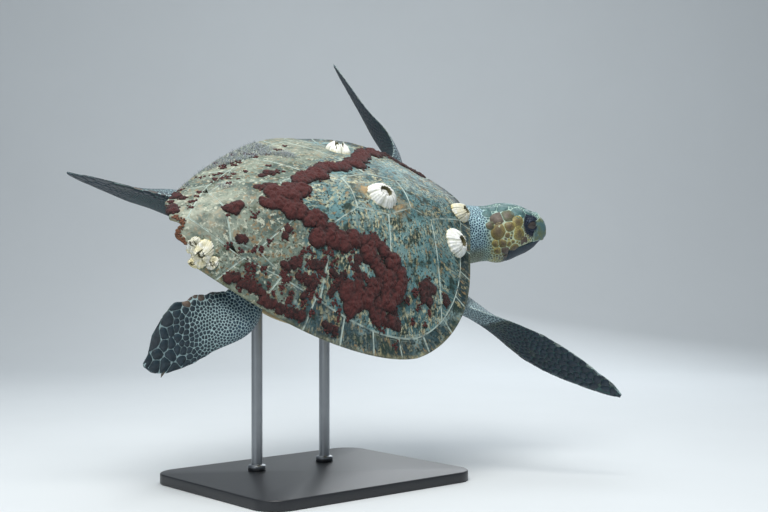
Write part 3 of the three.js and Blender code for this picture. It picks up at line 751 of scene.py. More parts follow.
# ---------------------------------------------------------------- the shell's form
@dataclass(frozen=True)
class Shell:
    """The carapace's form, in shares of its length."""

    length: float = 0.820
    origin_s: float = 0.44
    half: float = 0.4266
    skew: float = 0.61
    roundness: float = 0.818
    crest: float = 0.2245
    crest_s: float = 0.33
    front_drop: float = 0.100
    rear_drop: float = 0.183
    front_rise: float = 0.135
    rear_rise: float = 0.044
    front_power: float = 2.2
    rim_front: float = 0.3
    rim_front_power: float = 1.3
    rim_rear: float = 0.55
    rim_rear_power: float = 1.6
    side_power: float = 1.59
    shoulder_power: float = 1.08
    rear_break: float = 0.925
    brow_reach: float = 0.056
    brow_lift: float = 0.014
    brow_side: float = 0.02
    brow_width: float = 0.14
    brow_end: float = 0.18

    def brow(self, s: Array, y: Array) -> Array:
        """How much the jut over the neck has of its full reach at a place in plan."""
        return (1 - ease(s, 0.0, self.brow_end)) * bell(y - self.brow_side, self.brow_width)

    def half_width(self, s: Array) -> Array:
        """Half of the shell's width at s."""
        wave = np.sin(np.pi * np.clip(s, 1e-6, 1 - 1e-6) ** self.skew)
        return self.half * wave ** self.roundness

    def crest_height(self, s: Array) -> Array:
        """Height of the back's midline.

        Args:
            s: Shares along the shell, 0 in front.

        Returns:
            Heights in shell lengths.
        """
        ahead = np.clip((self.crest_s - s) / self.crest_s, 0, None) ** self.front_power
        behind = np.clip((s - self.crest_s) / (1 - self.crest_s), 0, None) ** 2
        return self.crest - self.front_drop * ahead - self.rear_drop * behind

    def rim_height(self, s: Array) -> Array:
        """Height of the rim over the side rim's plane.

        Args:
            s: Shares along the shell, 0 in front.

        Returns:
            Heights in shell lengths.
        """
        front = np.clip((self.rim_front - s) / self.rim_front, 0, 1) ** self.rim_front_power
        rear = np.clip((s - self.rim_rear) / (1 - self.rim_rear), 0, 1) ** self.rim_rear_power
        return self.front_rise * front + self.rear_rise * rear

    def dome(self, s: Array, y: Array) -> Array:
        """Height of the shell's face.

        Args:
            s: Shares along the shell, 0 in front.
            y: Places to the left, in shell lengths.

        Returns:
            Heights in shell lengths.
        """
        t = np.clip(np.abs(y) / self.half_width(s), 0, 1)
        rim = self.rim_height(s)
        bulge = np.clip(1 - t ** self.side_power, 0, None) ** self.shoulder_power
        return rim + (self.crest_height(s) - rim) * bulge

    def face(self, s: Array, y: Array) -> Array:
        """Point on the shell's face, in the body frame.

        Args:
            s: Shares along the shell, 0 in front.
            y: Places to the left, in shell lengths.

        Returns:
            Places on the horn's upper face.
        """
        jut = self.brow(s, y)
        place = [self.origin_s - s + self.brow_reach * jut, y, self.dome(s, y) + self.brow_lift * jut]
        return np.stack(place, axis=-1) * self.length

    def normal(self, s: Array, y: Array) -> Array:
        """Way out of the shell's face.

        Args:
            s: Shares along the shell, 0 in front.
            y: Places to the left, in shell lengths.

        Returns:
            Unit vectors out of the shell.
        """
        step = 0.012
        inward = np.clip(s, 0.05, 0.95)
        limit = 0.93 * self.half_width(inward)
        side = np.clip(y, -limit, limit)
        across = self.face(inward, side + step) - self.face(inward, side - step)
        along = self.face(inward + step, side) - self.face(inward - step, side)
        normal = unit(np.cross(across, along))
        return normal * np.where(normal[..., 2:] < 0, -1.0, 1.0)

    def point(self, s: Array, y: Array, depth: Array | float = 0.0) -> Array:
        """Point on the shell, sunk below its face by a depth in metres."""
        s, y = np.asarray(s, float), np.asarray(y, float)
        return self.face(s, y) - self.normal(s, y) * np.asarray(depth, float)[..., None]

    def plan_of(self, points: Array) -> tuple[Array, Array]:
        """Plan place (s, y) under points of the body frame.

        Args:
            points: Places in the body frame.

        Returns:
            The places along the shell and to the left.
        """
        y = points[..., 1] / self.length
        bare = self.origin_s - points[..., 0] / self.length
        s = bare
        for _ in range(6):
            s = bare + self.brow_reach * self.brow(s, y)
        return s, y

    def rim_plan(self, angle: Array, width: Array | float = 0.0) -> Array:
        """Plan places on the rim, at angles round from the front, drawn in by a width.

        Args:
            angle: Angles round from the front.
            width: How far the places are drawn in, in shell lengths.

        Returns:
            Places in the shell's plan.
        """
        angle = np.asarray(angle, float)
        cos, sin = np.cos(angle), np.abs(np.sin(angle))
        low = np.full(angle.shape, 0.05)
        high = np.where(cos > 0, (self.origin_s - 1e-5) / np.maximum(cos, 0.3), 0.7)
        for _ in range(50):
            middle = (low + high) / 2
            s = self.origin_s - middle * cos
            outside = (s <= 0) | (s >= 1) | (middle * sin > self.half_width(s))
            high = np.where(outside, middle, high)
            low = np.where(outside, low, middle)
        r = low - width
        return np.stack([np.minimum(self.origin_s - r * cos, self.rear_break), r * np.sin(angle)], axis=-1)

    def ring_width(self, angle: Array) -> Array:
        """Width of the ring of marginal scutes, wider towards the tail."""
        turn = np.degrees(np.pi - np.abs(np.pi - np.abs(angle)))
        return 0.047 + 0.028 * ease(turn, 60, 150) + 0.022 * ease(turn, 160, 180)

    def seam_plan(self, angle: Array) -> Array:
        """Plan places on the seam inside the ring of marginal scutes."""
        return self.rim_plan(angle, self.ring_width(np.asarray(angle, float)))

    def broken_plan(self, angle: Array) -> Array:
        """Plan places on the rim as it is today, broken off ragged at the rear.

        Args:
            angle: Angles round from the front.

        Returns:
            Places in the shell's plan.
        """
        whole = self.rim_plan(angle)
        reach = Shell(rear_break=1.0).rim_plan(angle)
        y = reach[..., 1]
        edge = np.interp(y, REAR_EDGE[:, 1], REAR_EDGE[:, 0])
        ragged = np.stack([y * 0, y * self.length, y * 0], axis=-1)
        edge = edge + 0.004 * fractal(ragged, 0.012, 5)
        broken = (whole[..., 0] > 0.88) & (np.abs(y) < 0.135)
        scale = (edge - self.origin_s) / np.maximum(reach[..., 0] - self.origin_s, 0.05)
        torn = np.stack([np.minimum(edge, reach[..., 0]), y * np.minimum(scale, 1.0)], axis=-1)
        return np.where(broken[..., None], torn, whole)


# Where the broken rear edge runs now: s and y, from the right side to the left.
REAR_EDGE = np.array([
    (0.902, -0.126), (0.911, -0.069), (0.941, -0.039), (0.936, -0.025),
    (0.922, -0.011), (0.940, 0.025), (0.912, 0.078), (0.902, 0.125)])
SHELL = Shell()


# ---------------------------------------------------------------- scutes
@dataclass(frozen=True)
class Fleck:
    """One kind of fleck: how fine it is, how much it covers, how soft its edge is and its colour."""

    scale: float
    share: float
    soft: float
    tone: tuple[int, int, int]


@dataclass(frozen=True)
class ScuteFinish(Finish):
    """Horn of the shell: blue-grey with cream and olive flecks, worn pale to the rear."""

    clouds: tuple[Fleck, ...] = (
        Fleck(34.0, 0.50, 0.10, (42, 60, 54)), Fleck(22.0, 0.42, 0.16, (134, 158, 156)))
    dark: Fleck = Fleck(180.0, 0.45, 0.08, (30, 44, 40))
    tan: Fleck = Fleck(120.0, 0.30, 0.07, (142, 120, 88))
    crumbs: tuple[Fleck, ...] = (
        Fleck(30.0, 0.44, 0.16, (144, 156, 142)), Fleck(95.0, 0.38, 0.07, (180, 184, 166)),
        Fleck(80.0, 0.38, 0.07, (128, 108, 78)), Fleck(60.0, 0.36, 0.07, (66, 78, 62)),
        Fleck(210.0, 0.36, 0.07, (58, 48, 38)))
    line_near: float = 0.0008
    line_far: float = 0.0030
    second_line: float = 0.0062

    def flecked(self, graph: Graph, base: Socket, where: Socket, kinds: tuple[Fleck, ...]) -> Socket:
        """A colour with several kinds of fleck over it.

        Args:
            graph: The material's graph.
            base: The colour to start from.
            where: Place that the pattern is laid out by.
            kinds: The kinds of fleck.

        Returns:
            The colour.
        """
        for kind in kinds:
            mask = self.flecks(graph, where, kind.scale, kind.share, kind.soft)
            base = graph.blend(mask, base, srgb(*kind.tone))
        return base

    def horn(self, graph: Graph, place: Socket, streak: Socket) -> Socket:
        """Sound horn: mottled, darker in the ring of marginal scutes, streaked with cream and tan.

        Args:
            graph: The material's graph.
            place: Socket with the place on the piece.
            streak: Place stretched along the growth.

        Returns:
            The colour.
        """
        ring = graph.value("ring")
        slow = graph.noise(place, 9.0, 4.0, 0.6)
        horn = graph.blend(graph.span(slow, 0.35, 0.65), srgb(62, 98, 103), srgb(106, 145, 148))
        ring_horn = graph.blend(graph.span(slow, 0.35, 0.7), srgb(34, 56, 64), srgb(66, 92, 96))
        horn = self.flecked(graph, graph.blend(ring, horn, ring_horn), place, self.clouds)
        patch = graph.cloud(place, 11.0, 0.40, 0.60)
        fine = self.flecks(graph, streak, 170.0, 0.50, 0.10)
        fine = graph.times(fine, graph.span(ring, 0.0, 1.0, 0.9, 0.30))
        horn = graph.blend(graph.times(fine, patch), horn, srgb(194, 190, 156))
        wide = graph.times(self.flecks(graph, streak, 80.0, 0.36), graph.calc("SUBTRACT", 1.0, patch))
        horn = graph.blend(wide, horn, srgb(164, 156, 120))
        horn = self.flecked(graph, horn, place, (self.dark,))
        return self.flecked(graph, horn, streak, (self.tan,))

    def crust(self, graph: Graph, place: Socket) -> Socket:
        """The worn part, encrusted and paler.

        Args:
            graph: The material's graph.
            place: Socket with the place on the piece.

        Returns:
            The colour.
        """
        clouded = graph.cloud(place, 14.0, 0.38, 0.60, 5.0, 0.65)
        base = graph.blend(clouded, srgb(64, 84, 80), srgb(114, 128, 116))
        base = self.flecked(graph, base, place, self.crumbs)
        pale = graph.times(graph.value("pale"), graph.cloud(place, 40.0, 0.25, 0.6, 4.0))
        return graph.blend(graph.times(pale, 0.6), base, srgb(188, 190, 172))

    def lined(self, graph: Graph, body: Socket, place: Socket) -> Socket:
        """A colour with a pale line along the seams and a fainter one inside it.

        Args:
            graph: The material's graph.
            body: The colour so far.
            place: Socket with the place on the piece.

        Returns:
            The colour.
        """
        seam = graph.value("seam")
        uneven = graph.span(graph.noise(place, 60.0), 0.30, 0.58, 0.15, 1.0)
        line = graph.times(graph.span(seam, self.line_near, self.line_far, 0.9, 0.0), uneven)
        body = graph.blend(line, body, srgb(184, 200, 192))
        away = graph.calc("ABSOLUTE", graph.calc("SUBTRACT", seam, self.second_line))
        second = graph.span(away, 0.0002, 0.0014, 0.45, 0.0)
        second = graph.times(second, graph.cloud(place, 35.0, 0.45, 0.65))
        return graph.blend(second, body, srgb(160, 174, 164))

    def paint(self, graph: Graph, surface: bpy.types.Node) -> None:
        """Flecked horn, an encrusted worn zone, pale seams and a cream rim.

        Args:
            graph: The material's graph.
            surface: The material's surface shader.
        """
        place = graph.place()
        streak = graph.stretched(graph.tint("grown"), (1.0, 0.42, 1.0))
        uneven = graph.span(graph.noise(place, 22.0, 5.0, 0.7), 0.2, 0.8, -0.35, 0.35)
        patchy = graph.calc("ADD", graph.value("worn"), uneven)
        horn, crust = self.horn(graph, place, streak), self.crust(graph, place)
        body = self.lined(graph, graph.blend(graph.span(patchy, 0.25, 0.75), horn, crust), place)
        cream = graph.times(graph.value("cream"), graph.cloud(place, 120.0, 0.3, 0.6, 4.0))
        body = graph.blend(graph.times(cream, 0.6), body, srgb(186, 176, 132))
        stain = graph.times(graph.value("stain"), graph.cloud(place, 90.0, 0.3, 0.65, 4.0))
        body = graph.blend(stain, body, srgb(178, 148, 104))
        body = graph.blend(graph.value("under"), body, srgb(150, 146, 116))
        surface.inputs["Specular IOR Level"].default_value = 0.4
        graph.feed(surface.inputs["Base Color"], body)
        graph.feed(surface.inputs["Roughness"], graph.span(patchy, 0.3, 0.7, 0.52, 0.85))
        self.relief(graph, surface, streak, 260.0, 0.4, 0.0006)


@dataclass(frozen=True)
class Carapace:
    """The shell's scutes, each a thick bevelled plate of horn."""

    thick: float = 13 * MM
    ring_thick: float = 10 * MM
    cell: float = 2.6 * MM
    seam_round: float = 1.6 * MM
    rim_round: float = 4.2 * MM
    marginal_seams: tuple[float, ...] = (
        8.5, 20, 31.5, 43, 54.5, 66, 78, 90.3, 105.2, 122.4, 142.8, 159.5, 180)
    costal_seams: tuple[float, ...] = (8.5, 55.6, 83.3, 120, 140, 166)
    vertebral_seams: tuple[tuple[float, float], ...] = (
        (0.050, 0.048), (0.247, 0.053), (0.443, 0.055), (0.630, 0.062), (0.812, 0.085))
    vertebral_corners: tuple[tuple[float, float], ...] = (
        (0.172, 0.076), (0.344, 0.078), (0.534, 0.094), (0.749, 0.120), (0.828, 0.097))
    costal_cut: float = 0.82

    @staticmethod
    def along(line: Array, share: Array) -> Array:
        """Places at shares of the way along a broken line.

        Args:
            line: The broken line's points.
            share: Shares of the line's length.

        Returns:
            Places on the line.
        """
        steps = run_length(line)
        at = np.asarray(share, float) * steps[-1]
        return np.stack([np.interp(at, steps, line[:, c]) for c in range(2)], axis=-1)

    def coons(self, sides: tuple[Array, Array, Array, Array], u: Array, v: Array) -> Array:
        """Plan places inside four sides.

        Args:
            sides: Near and far sides, which run the same way, then the first and last sides.
            u: Shares of the way from near to far, as a column.
            v: Shares of the way from first to last, as a row.

        Returns:
            A grid of plan places.
        """
        near, far, first, last = sides
        u, v = u[:, None, None], v[None, :, None]
        flat_u, flat_v = u.ravel(), v.ravel()
        ends = (1 - u) * self.along(near, flat_v)[None] + u * self.along(far, flat_v)[None]
        flanks = (1 - v) * self.along(first, flat_u)[:, None] + v * self.along(last, flat_u)[:, None]
        corners = ((1 - u) * (1 - v) * near[0] + (1 - u) * v * near[-1]
                   + u * (1 - v) * far[0] + u * v * far[-1])
        return ends + flanks - corners

    def shares(self, size: float, far_round: float) -> Array:
        """Grid shares across a scute, close together at its rounded edges.

        Args:
            size: Length of the side, in metres.
            far_round: Radius of the rounding at the far side.

        Returns:
            Shares of the side, closer together by its ends.
        """
        near = np.array([0.04, 0.4, 0.8, 1.2, self.seam_round / MM]) * MM
        far = np.array([0.04, 0.25, 0.5, 0.75, 1.0]) * far_round
        count = max(int((size - near[-1] - far[-1]) / self.cell), 3)
        middle = np.linspace(near[-1], size - far[-1], count + 1)[1:-1]
        return np.concatenate([near, middle, size - far[::-1]]) / size

    @staticmethod
    def drop(edge: Array, radius: float) -> Array:
        """How far a rounded edge falls away at a distance from it."""
        share = np.clip(1 - edge / radius, 0, 1)
        return radius * (1 - np.sqrt(np.clip(1 - share * share, 0, 1)))

    def relief(self, points: Array, edge: Array, worn: Array) -> Array:
        """Height of the scute's own relief: growth ridges, swells and the crust of the worn part.

        Args:
            points: Places in the body frame.
            edge: Distance from the scute's edge.
            worn: How worn the horn is, 0 to 1.

        Returns:
            Heights over the horn's even face.
        """
        ridges = 0.16 * MM * np.sin(edge / (1.1 * MM) + 2.0 * noise(points, 0.03, 3)) * bell(edge, 0.035)
        swell = 0.7 * MM * noise(points, 0.045, 4) + 0.3 * MM * fractal(points, 0.012, 6)
        crust = 1.3 * MM * grains(points, 0.009, 8) ** 1.5 + 0.8 * MM * fractal(points, 0.018, 9)
        flakes = 0.45 * MM * ease(fractal(points, 0.02, 12), 0.02, 0.10)
        return (ridges + swell + flakes) * ease(edge, 0, 0.004) + worn * crust * ease(edge, 0, 0.005)

    def plate(self, sides: tuple[Array, Array, Array, Array], thick: float, rim: bool) -> Form:
        """A scute with four sides.

        Args:
            sides: Near, far, first and last sides in plan.
            thick: Thickness of the horn.
            rim: Whether the far side is the shell's free rim.

        Returns:
            The scute as a closed plate.
        """
        length = SHELL.length
        middle = [self.along(side, np.array(0.5)) for side in sides]
        size_u = np.linalg.norm(middle[0] - middle[1]) * length * 1.15
        size_v = np.linalg.norm(middle[2] - middle[3]) * length * 1.1
        far_round = self.rim_round if rim else self.seam_round
        u, v = self.shares(size_u, far_round), self.shares(size_v, self.seam_round)
        plan = self.coons(sides, u, v)
        s, y = plan[..., 0], plan[..., 1]
        place = SHELL.face(s, y)
        from_near = np.linalg.norm(place - place[:1], axis=-1) + u[0] * size_u
        from_far = np.linalg.norm(place - place[-1:], axis=-1) + (1 - u[-1]) * size_u
        from_first = np.linalg.norm(place - place[:, :1], axis=-1) + v[0] * size_v
        from_last = np.linalg.norm(place - place[:, -1:], axis=-1) + (1 - v[-1]) * size_v
        seam = np.minimum(np.minimum(from_first, from_last), from_near)
        seam = seam if rim else np.minimum(seam, from_far)
        fall = self.drop(from_near, self.seam_round) + self.drop(from_first, self.seam_round)
        fall = fall + self.drop(from_last, self.seam_round)
        fall = np.minimum(fall, self.seam_round) + self.drop(from_far, far_round)
        worn = self.worn(s, y)
        top = SHELL.point(s, y, fall - self.relief(place, np.minimum(seam, from_far), worn))
        under_round = self.drop(from_far, far_round) if rim else 0.0 * fall
        uneven = 0.3 * MM * fractal(place, 0.02, 14) * ease(seam, 0, .004)
        form = slab(top, SHELL.point(s, y, thick - under_round + uneven))
        values = {
            "seam": seam, "worn": worn, "ring": np.full(s.shape, float(rim)),
            "cream": self.cream(s, y, from_far) if rim else 0 * s,
            "stain": self.stain(s, y), "pale": self.pale(s, y)}
        form.values = {key: np.tile(value.ravel(), 2) for key, value in values.items()}
        form.values["under"] = np.repeat([0.0, 1.0], s.size)
        grown = np.stack([from_first, from_near, np.full(s.shape, hash_of(sides))], axis=-1).reshape(-1, 3)
        form.values["grown"] = np.concatenate([grown, grown])
        return form

    @staticmethod
    def worn(s: Array, y: Array) -> Array:
        """How worn and encrusted the shell is: the rear half, more on the left side."""
        line = 0.60 - 0.30 * ease(y, 0.0, 0.30) + 0.10 * ease(-y, 0.1, 0.35)
        return ease(s - line, -0.05, 0.09)

    @staticmethod
    def stain(s: Array, y: Array) -> Array:
        """Rusty stains behind the middle barnacle and beside it."""
        return bell(np.hypot(s - 0.393, y - 0.005), 0.026) + 0.8 * bell(np.hypot(s - 0.30, y + 0.05), 0.03)

    @staticmethod
    def pale(s: Array, y: Array) -> Array:
        """The palest of the worn part: the rear of the back and the left flank."""
        return np.maximum(bell(np.hypot((s - 0.86) / 1.4, y - 0.03), 0.09), 0.55 * ease(y, 0.10, 0.26))

    @staticmethod
    def cream(s: Array, y: Array, edge: Array) -> Array:
        """The pale stretch along the rim."""
        near = ease(edge, 0.012, 0.002)
        return near * (0.35 + 0.65 * bell(s - 0.30, 0.10)) * ease(-y, -0.1, 0.1)

    def seam_run(self, start: float, end: float, count: int, place: Callable[[Array], Array]) -> Array:
        """Run of plan places between two angles, in degrees."""
        return place(np.radians(np.linspace(start, end, count)))

    def vertebral(self, i: int) -> tuple[Array, Array, Array, Array]:
        """Sides of a vertebral scute, counted from the front.

        Args:
            i: Number of the scute from the front.

        Returns:
            Near, far, first and last sides in plan.
        """
        s, w = self.vertebral_seams[i]
        corner_s, corner_w = self.vertebral_corners[i]
        front = np.array([(s, -w), (s, w)])
        if i < 4:
            next_s, next_w = self.vertebral_seams[i + 1]
            rear = np.array([(next_s, -next_w), (next_s, next_w)])
            right = np.array([front[0], (corner_s, -corner_w), rear[0]])
        else:
            rear = self.seam_run(-self.costal_seams[5], self.costal_seams[5] - 360, 41, SHELL.seam_plan)
            right = np.array([front[0], rear[0]])
        return front, rear, right, right * (1, -1)

    def costal(self, i: int, side: int) -> tuple[Array, Array, Array, Array]:
        """Sides of a costal scute, counted from the front.

        Args:
            i: Number of the scute from the front.
            side: 1 for the left and -1 for the right.

        Returns:
            Near, far, first and last sides in plan.
        """
        inner = [self.vertebral_seams[0] if i == 0 else self.vertebral_corners[i - 1]]
        if i > 0:
            inner.append(self.vertebral_seams[i])
        if i < 4:
            inner.append(self.vertebral_corners[i])
        near = np.array(inner)
        far = self.seam_run(self.costal_seams[i], self.costal_seams[i + 1], 25, SHELL.seam_plan)
        if i == 4:
            near = np.concatenate([near, SHELL.seam_plan(np.radians([self.costal_seams[5]]))])
            shares = np.linspace(0, self.costal_cut, 25)
            near, far = self.along(near, shares), self.along(far, shares)
        flip = (1, side)
        first, last = np.array([near[0], far[0]]), np.array([near[-1], far[-1]])
        return near * flip, far * flip, first * flip, last * flip

    def marginal(self, i: int, side: int) -> tuple[Array, Array, Array, Array]:
        """Sides of a marginal scute, counted from the front.

        Args:
            i: Number of the scute from the front.
            side: 1 for the left and -1 for the right.

        Returns:
            Near, far, first and last sides in plan.
        """
        start, end = self.marginal_seams[i:i + 2]
        count = 25 if i < 10 else 81
        near = self.seam_run(start * side, end * side, count, SHELL.seam_plan)
        far = self.seam_run(start * side, end * side, count, SHELL.broken_plan)
        return near, far, np.array([near[0], far[0]]), np.array([near[-1], far[-1]])

    def nuchal(self) -> tuple[Array, Array, Array, Array]:
        """Sides of the nuchal scute, in the middle of the front rim.

        Returns:
            Near, far, first and last sides in plan.
        """
        edge = self.marginal_seams[0]
        s, w = self.vertebral_seams[0]
        ends = SHELL.seam_plan(np.radians([-edge, edge]))
        near = np.array([ends[0], (s, -w), (s, 0.0), (s, w), ends[1]])
        far = self.seam_run(-edge, edge, 25, SHELL.rim_plan)
        return near, far, np.array([near[0], far[0]]), np.array([near[-1], far[-1]])

    def build(self) -> None:
        """Makes every scute."""
        finish = ScuteFinish("scute horn", 0.6)
        self.put("nuchal", self.plate(self.nuchal(), self.ring_thick, True), finish, True)
        for i in range(5):
            self.put(f"vertebral_{i + 1}", self.plate(self.vertebral(i), self.thick, False), finish, i < 3)
            for side, word in ((1, "left"), (-1, "right")):
                form = self.plate(self.costal(i, side), self.thick, False)
                self.put(f"costal_{word}_{i + 1}", form, finish, i < 3)
        for i in range(12):
            for side, word in ((1, "left"), (-1, "right")):
                form = self.plate(self.marginal(i, side), self.ring_thick, True)
                self.put(f"marginal_{word}_{i + 1}", form, finish, i < 7)

    @staticmethod
    def put(node: str, form: Form, finish: Finish, sound: bool) -> None:
        """Places one scute for its CAD node."""
        piece(f"shell_{node}", form, finish, (node,))


def hash_of(sides: tuple[Array, ...]) -> float:
    """A number of its own for each scute, which sets its pattern apart."""
    return float(np.abs(np.sum(sides[1]) * 7.3) % 1.0)


# ---------------------------------------------------------------- the flesh's form
class Region(Enum):
    """Parts of the skin, each with its own rectangle of the unwrap: left, bottom, width, height."""

    HEAD = (0.01, 0.51, 0.48, 0.48)
    TRUNK = (0.51, 0.51, 0.48, 0.48)
    FRONT_RIGHT = (0.01, 0.26, 0.48, 0.23)
    FRONT_LEFT = (0.51, 0.26, 0.48, 0.23)
    HIND_RIGHT = (0.01, 0.01, 0.32, 0.23)
    HIND_LEFT = (0.34, 0.01, 0.32, 0.23)
    TAIL = (0.67, 0.01, 0.12, 0.12)


class Route:
    """Smooth curve through points of the body frame."""

    def __init__(self, knots: tuple[tuple[float, float, float], ...]) -> None:
        """Takes the knots, in millimetres.

        Args:
            knots: Points that the curve goes through.
        """
        self.knots = np.array(knots, float) * MM
        self.fine = np.linspace(0, 1, 401)
        self.reach = run_length(self.point(self.fine))

    def point(self, u: Array) -> Array:
        """Place at a share of the way from knot to knot (a centripetal Catmull-Rom curve).

        Args:
            u: Shares of the way, 0 to 1.

        Returns:
            Places on the curve.
        """
        knots = self.knots
        ends = np.stack([2 * knots[0] - knots[1], 2 * knots[-1] - knots[-2]])
        padded = np.concatenate([ends[:1], knots, ends[1:]])
        at = np.clip(np.asarray(u, float), 0, 1) * (len(knots) - 1)
        i = np.minimum(at.astype(int), len(knots) - 2)
        t = (at - i)[..., None]
        p0, p1, p2, p3 = padded[i], padded[i + 1], padded[i + 2], padded[i + 3]

        def gap(a: Array, b: Array) -> Array:
            """Step between two knots in the curve's own measure."""
            return np.sum((a - b) ** 2, axis=-1, keepdims=True) ** 0.25

        d0, d1, d2 = gap(p0, p1), gap(p1, p2), gap(p2, p3)
        start = ((p1 - p0) / d0 - (p2 - p0) / (d0 + d1) + (p2 - p1) / d1) * d1
        end = ((p2 - p1) / d1 - (p3 - p1) / (d1 + d2) + (p3 - p2) / d2) * d1
        return (p1 + start * t + (3 * (p2 - p1) - 2 * start - end) * t ** 2
                + (2 * (p1 - p2) + start + end) * t ** 3)

    def even(self, u: Array) -> Array:
        """Place at a share of the length."""
        return self.point(np.interp(np.asarray(u, float) * self.reach[-1], self.reach, self.fine))

    def tangent(self, u: Array, even: bool) -> Array:
        """Way ahead at a share.

        Args:
            u: Shares of the way, 0 to 1.
            even: Whether the shares are of the length and not of the knots.

        Returns:
            Unit vectors ahead.
        """
        where = self.even if even else self.point
        u = np.asarray(u, float)
        return unit(where(np.minimum(u + 1e-3, 1)) - where(np.maximum(u - 1e-3, 0)))


def oval(angle: Array, half: Array, top: Array, bottom: Array, power: Array | float) -> tuple[Array, Array]:
    """Places round a rounded section.

    Args:
        angle: Angles from the left, by way of the top.
        half: Half of the width.
        top: Height above the axis.
        bottom: Depth below the axis.
        power: How square the section is; 2 makes an ellipse.

    Returns:
        Places to the left and up.
    """
    cos, sin = np.cos(angle), np.sin(angle)
    left = half * np.sign(cos) * np.abs(cos) ** (2 / power)
    up = np.where(sin > 0, top, bottom) * np.sign(sin) * np.abs(sin) ** (2 / power)
    return left, up


def region_loft(region: Region, rings: Array) -> Form:
    """Closed loft whose face corners carry their place on the region's part of the unwrap.

    Args:
        region: The region, which knows its part of the unwrap.
        rings: Closed rings of places, row by row.

    Returns:
        The closed form with its places on the unwrap.
    """
    rows, cols = rings.shape[:2]
    form = loft(rings)
    left, bottom, width, height = region.value
    corners = []
    for run in form.faces:
        row, col = run // cols, run % cols
        centre = run >= rows * cols
        row = np.where(centre, np.where(run == rows * cols, 0, rows - 1), row)
        wraps = ((col == cols - 1) & ~centre).any(axis=1, keepdims=True)
        share = np.where(wraps & (col == 0) & ~centre, cols, col) / cols
        middle = np.nanmean(np.where(centre, np.nan, share), axis=1, keepdims=True)
        share = np.where(centre, middle, share)
        places = np.stack([left + width * row / (rows - 1), bottom + height * share], axis=-1)
        corners.append(places.reshape(-1, 2))
    form.patches = np.concatenate(corners)
    return form


@dataclass(frozen=True)
class Head:
    """The head's place and form. Head frame: +X to the beak's tip, +Y left, +Z to the crown."""

    place: tuple[float, float, float] = (0.500, -0.017, 0.072)
    turn: float = math.radians(-25)
    lift: float = math.radians(-27)
    roll: float = math.radians(-30)
    power: float = 2.35
    stations: tuple[tuple[float, ...], ...] = (
        (-23, 70, 59, 74), (0, 74, 60, 79), (29, 82, 66, 83), (56, 81, 67, 75), (82, 70, 63, 64),
        (105, 55, 53, 55), (124, 43, 46, 44), (134, 36, 43, 36), (138, 33, 35, 33), (146, 25, 27, 25),
        (151, 17.5, 18, 18), (155, 7, 5, 11))
    mouth_front: tuple[float, float] = (154 * MM, -15 * MM)
    mouth_slope: float = math.radians(11)
    jaw_back: float = 48 * MM
    beak_back: float = 115 * MM
    beak_top: float = 134 * MM
    eye_place: tuple[float, float, float] = (103.5 * MM, 39 * MM, 19.5 * MM)
    eye_radius: float = 19 * MM
    gaze: tuple[float, float, float] = (0.40, 0.89, 0.20)
    slant: float = math.radians(-14)

    def axes(self) -> Array:
        """The head frame's three directions, one to a row.

        Returns:
            The three directions.
        """
        cos, sin = math.cos, math.sin
        turn, lift, roll = self.turn, self.lift, self.roll
        about_z = np.array([[cos(turn), -sin(turn), 0], [sin(turn), cos(turn), 0], [0, 0, 1]])
        about_y = np.array([[cos(lift), 0, sin(lift)], [0, 1, 0], [-sin(lift), 0, cos(lift)]])
        about_x = np.array([[1, 0, 0], [0, cos(roll), -sin(roll)], [0, sin(roll), cos(roll)]])
        return (about_z @ about_y @ about_x).T

    def to_body(self, points: Array) -> Array:
        """Places of the head frame, in the body frame."""
        return np.array(self.place) + points @ self.axes()

    def from_body(self, points: Array) -> Array:
        """Places of the body frame, in the head frame."""
        return (points - np.array(self.place)) @ self.axes().T

    def from_eyes(self, local: Array) -> Array:
        """Distance to the nearer eye's centre, from places of the head frame."""
        return np.min([np.linalg.norm(local - self.eye_frame(side)[0], axis=-1) for side in (1, -1)], axis=0)

    def surface(self, x: Array, angle: Array) -> Array:
        """Places on the head without its fine relief, at stations x and angles round it.

        Args:
            x: Stations along the head's axis.
            angle: Angles round the section.

        Returns:
            Places in the head frame.
        """
        x, angle = np.broadcast_arrays(np.asarray(x, float), np.asarray(angle, float))
        size = hermite(x.ravel() / MM, np.array(self.stations)) * MM
        half, top, bottom = (size[:, k].reshape(x.shape) for k in range(3))
        left, up = oval(angle, half, top, bottom, self.power)
        return np.stack([x, left, up], axis=-1)

    def mouth(self, x: Array) -> Array:
        """Height of the mouth's line."""
        return self.mouth_front[1] + (x - self.mouth_front[0]) * math.tan(self.mouth_slope)

    def beak_start(self, rise: Array) -> Array:
        """Station at which the upper beak's horn begins, by how far up the section a place lies, 0 to 1."""
        return mix(self.beak_back, self.beak_top, ease(rise, 0.45, 0.85))

    def eye_frame(self, side: int) -> tuple[Array, Array]:
        """Centre of an eye and its three directions: ahead, up and out.

        Args:
            side: 1 for the left and -1 for the right.

        Returns:
            The centre and the three directions.
        """
        flip = np.array([1, side, 1])
        centre = np.array(self.eye_place) * flip
        out = unit(np.array(self.gaze)) * flip
        ahead = unit(np.array([1.0, 0, 0]) - out[0] * out)
        up = np.cross(out, ahead) * side
        cos, sin = math.cos(self.slant), math.sin(self.slant)
        return centre, np.stack([ahead * cos + up * sin, up * cos - ahead * sin, out])


HEAD = Head()


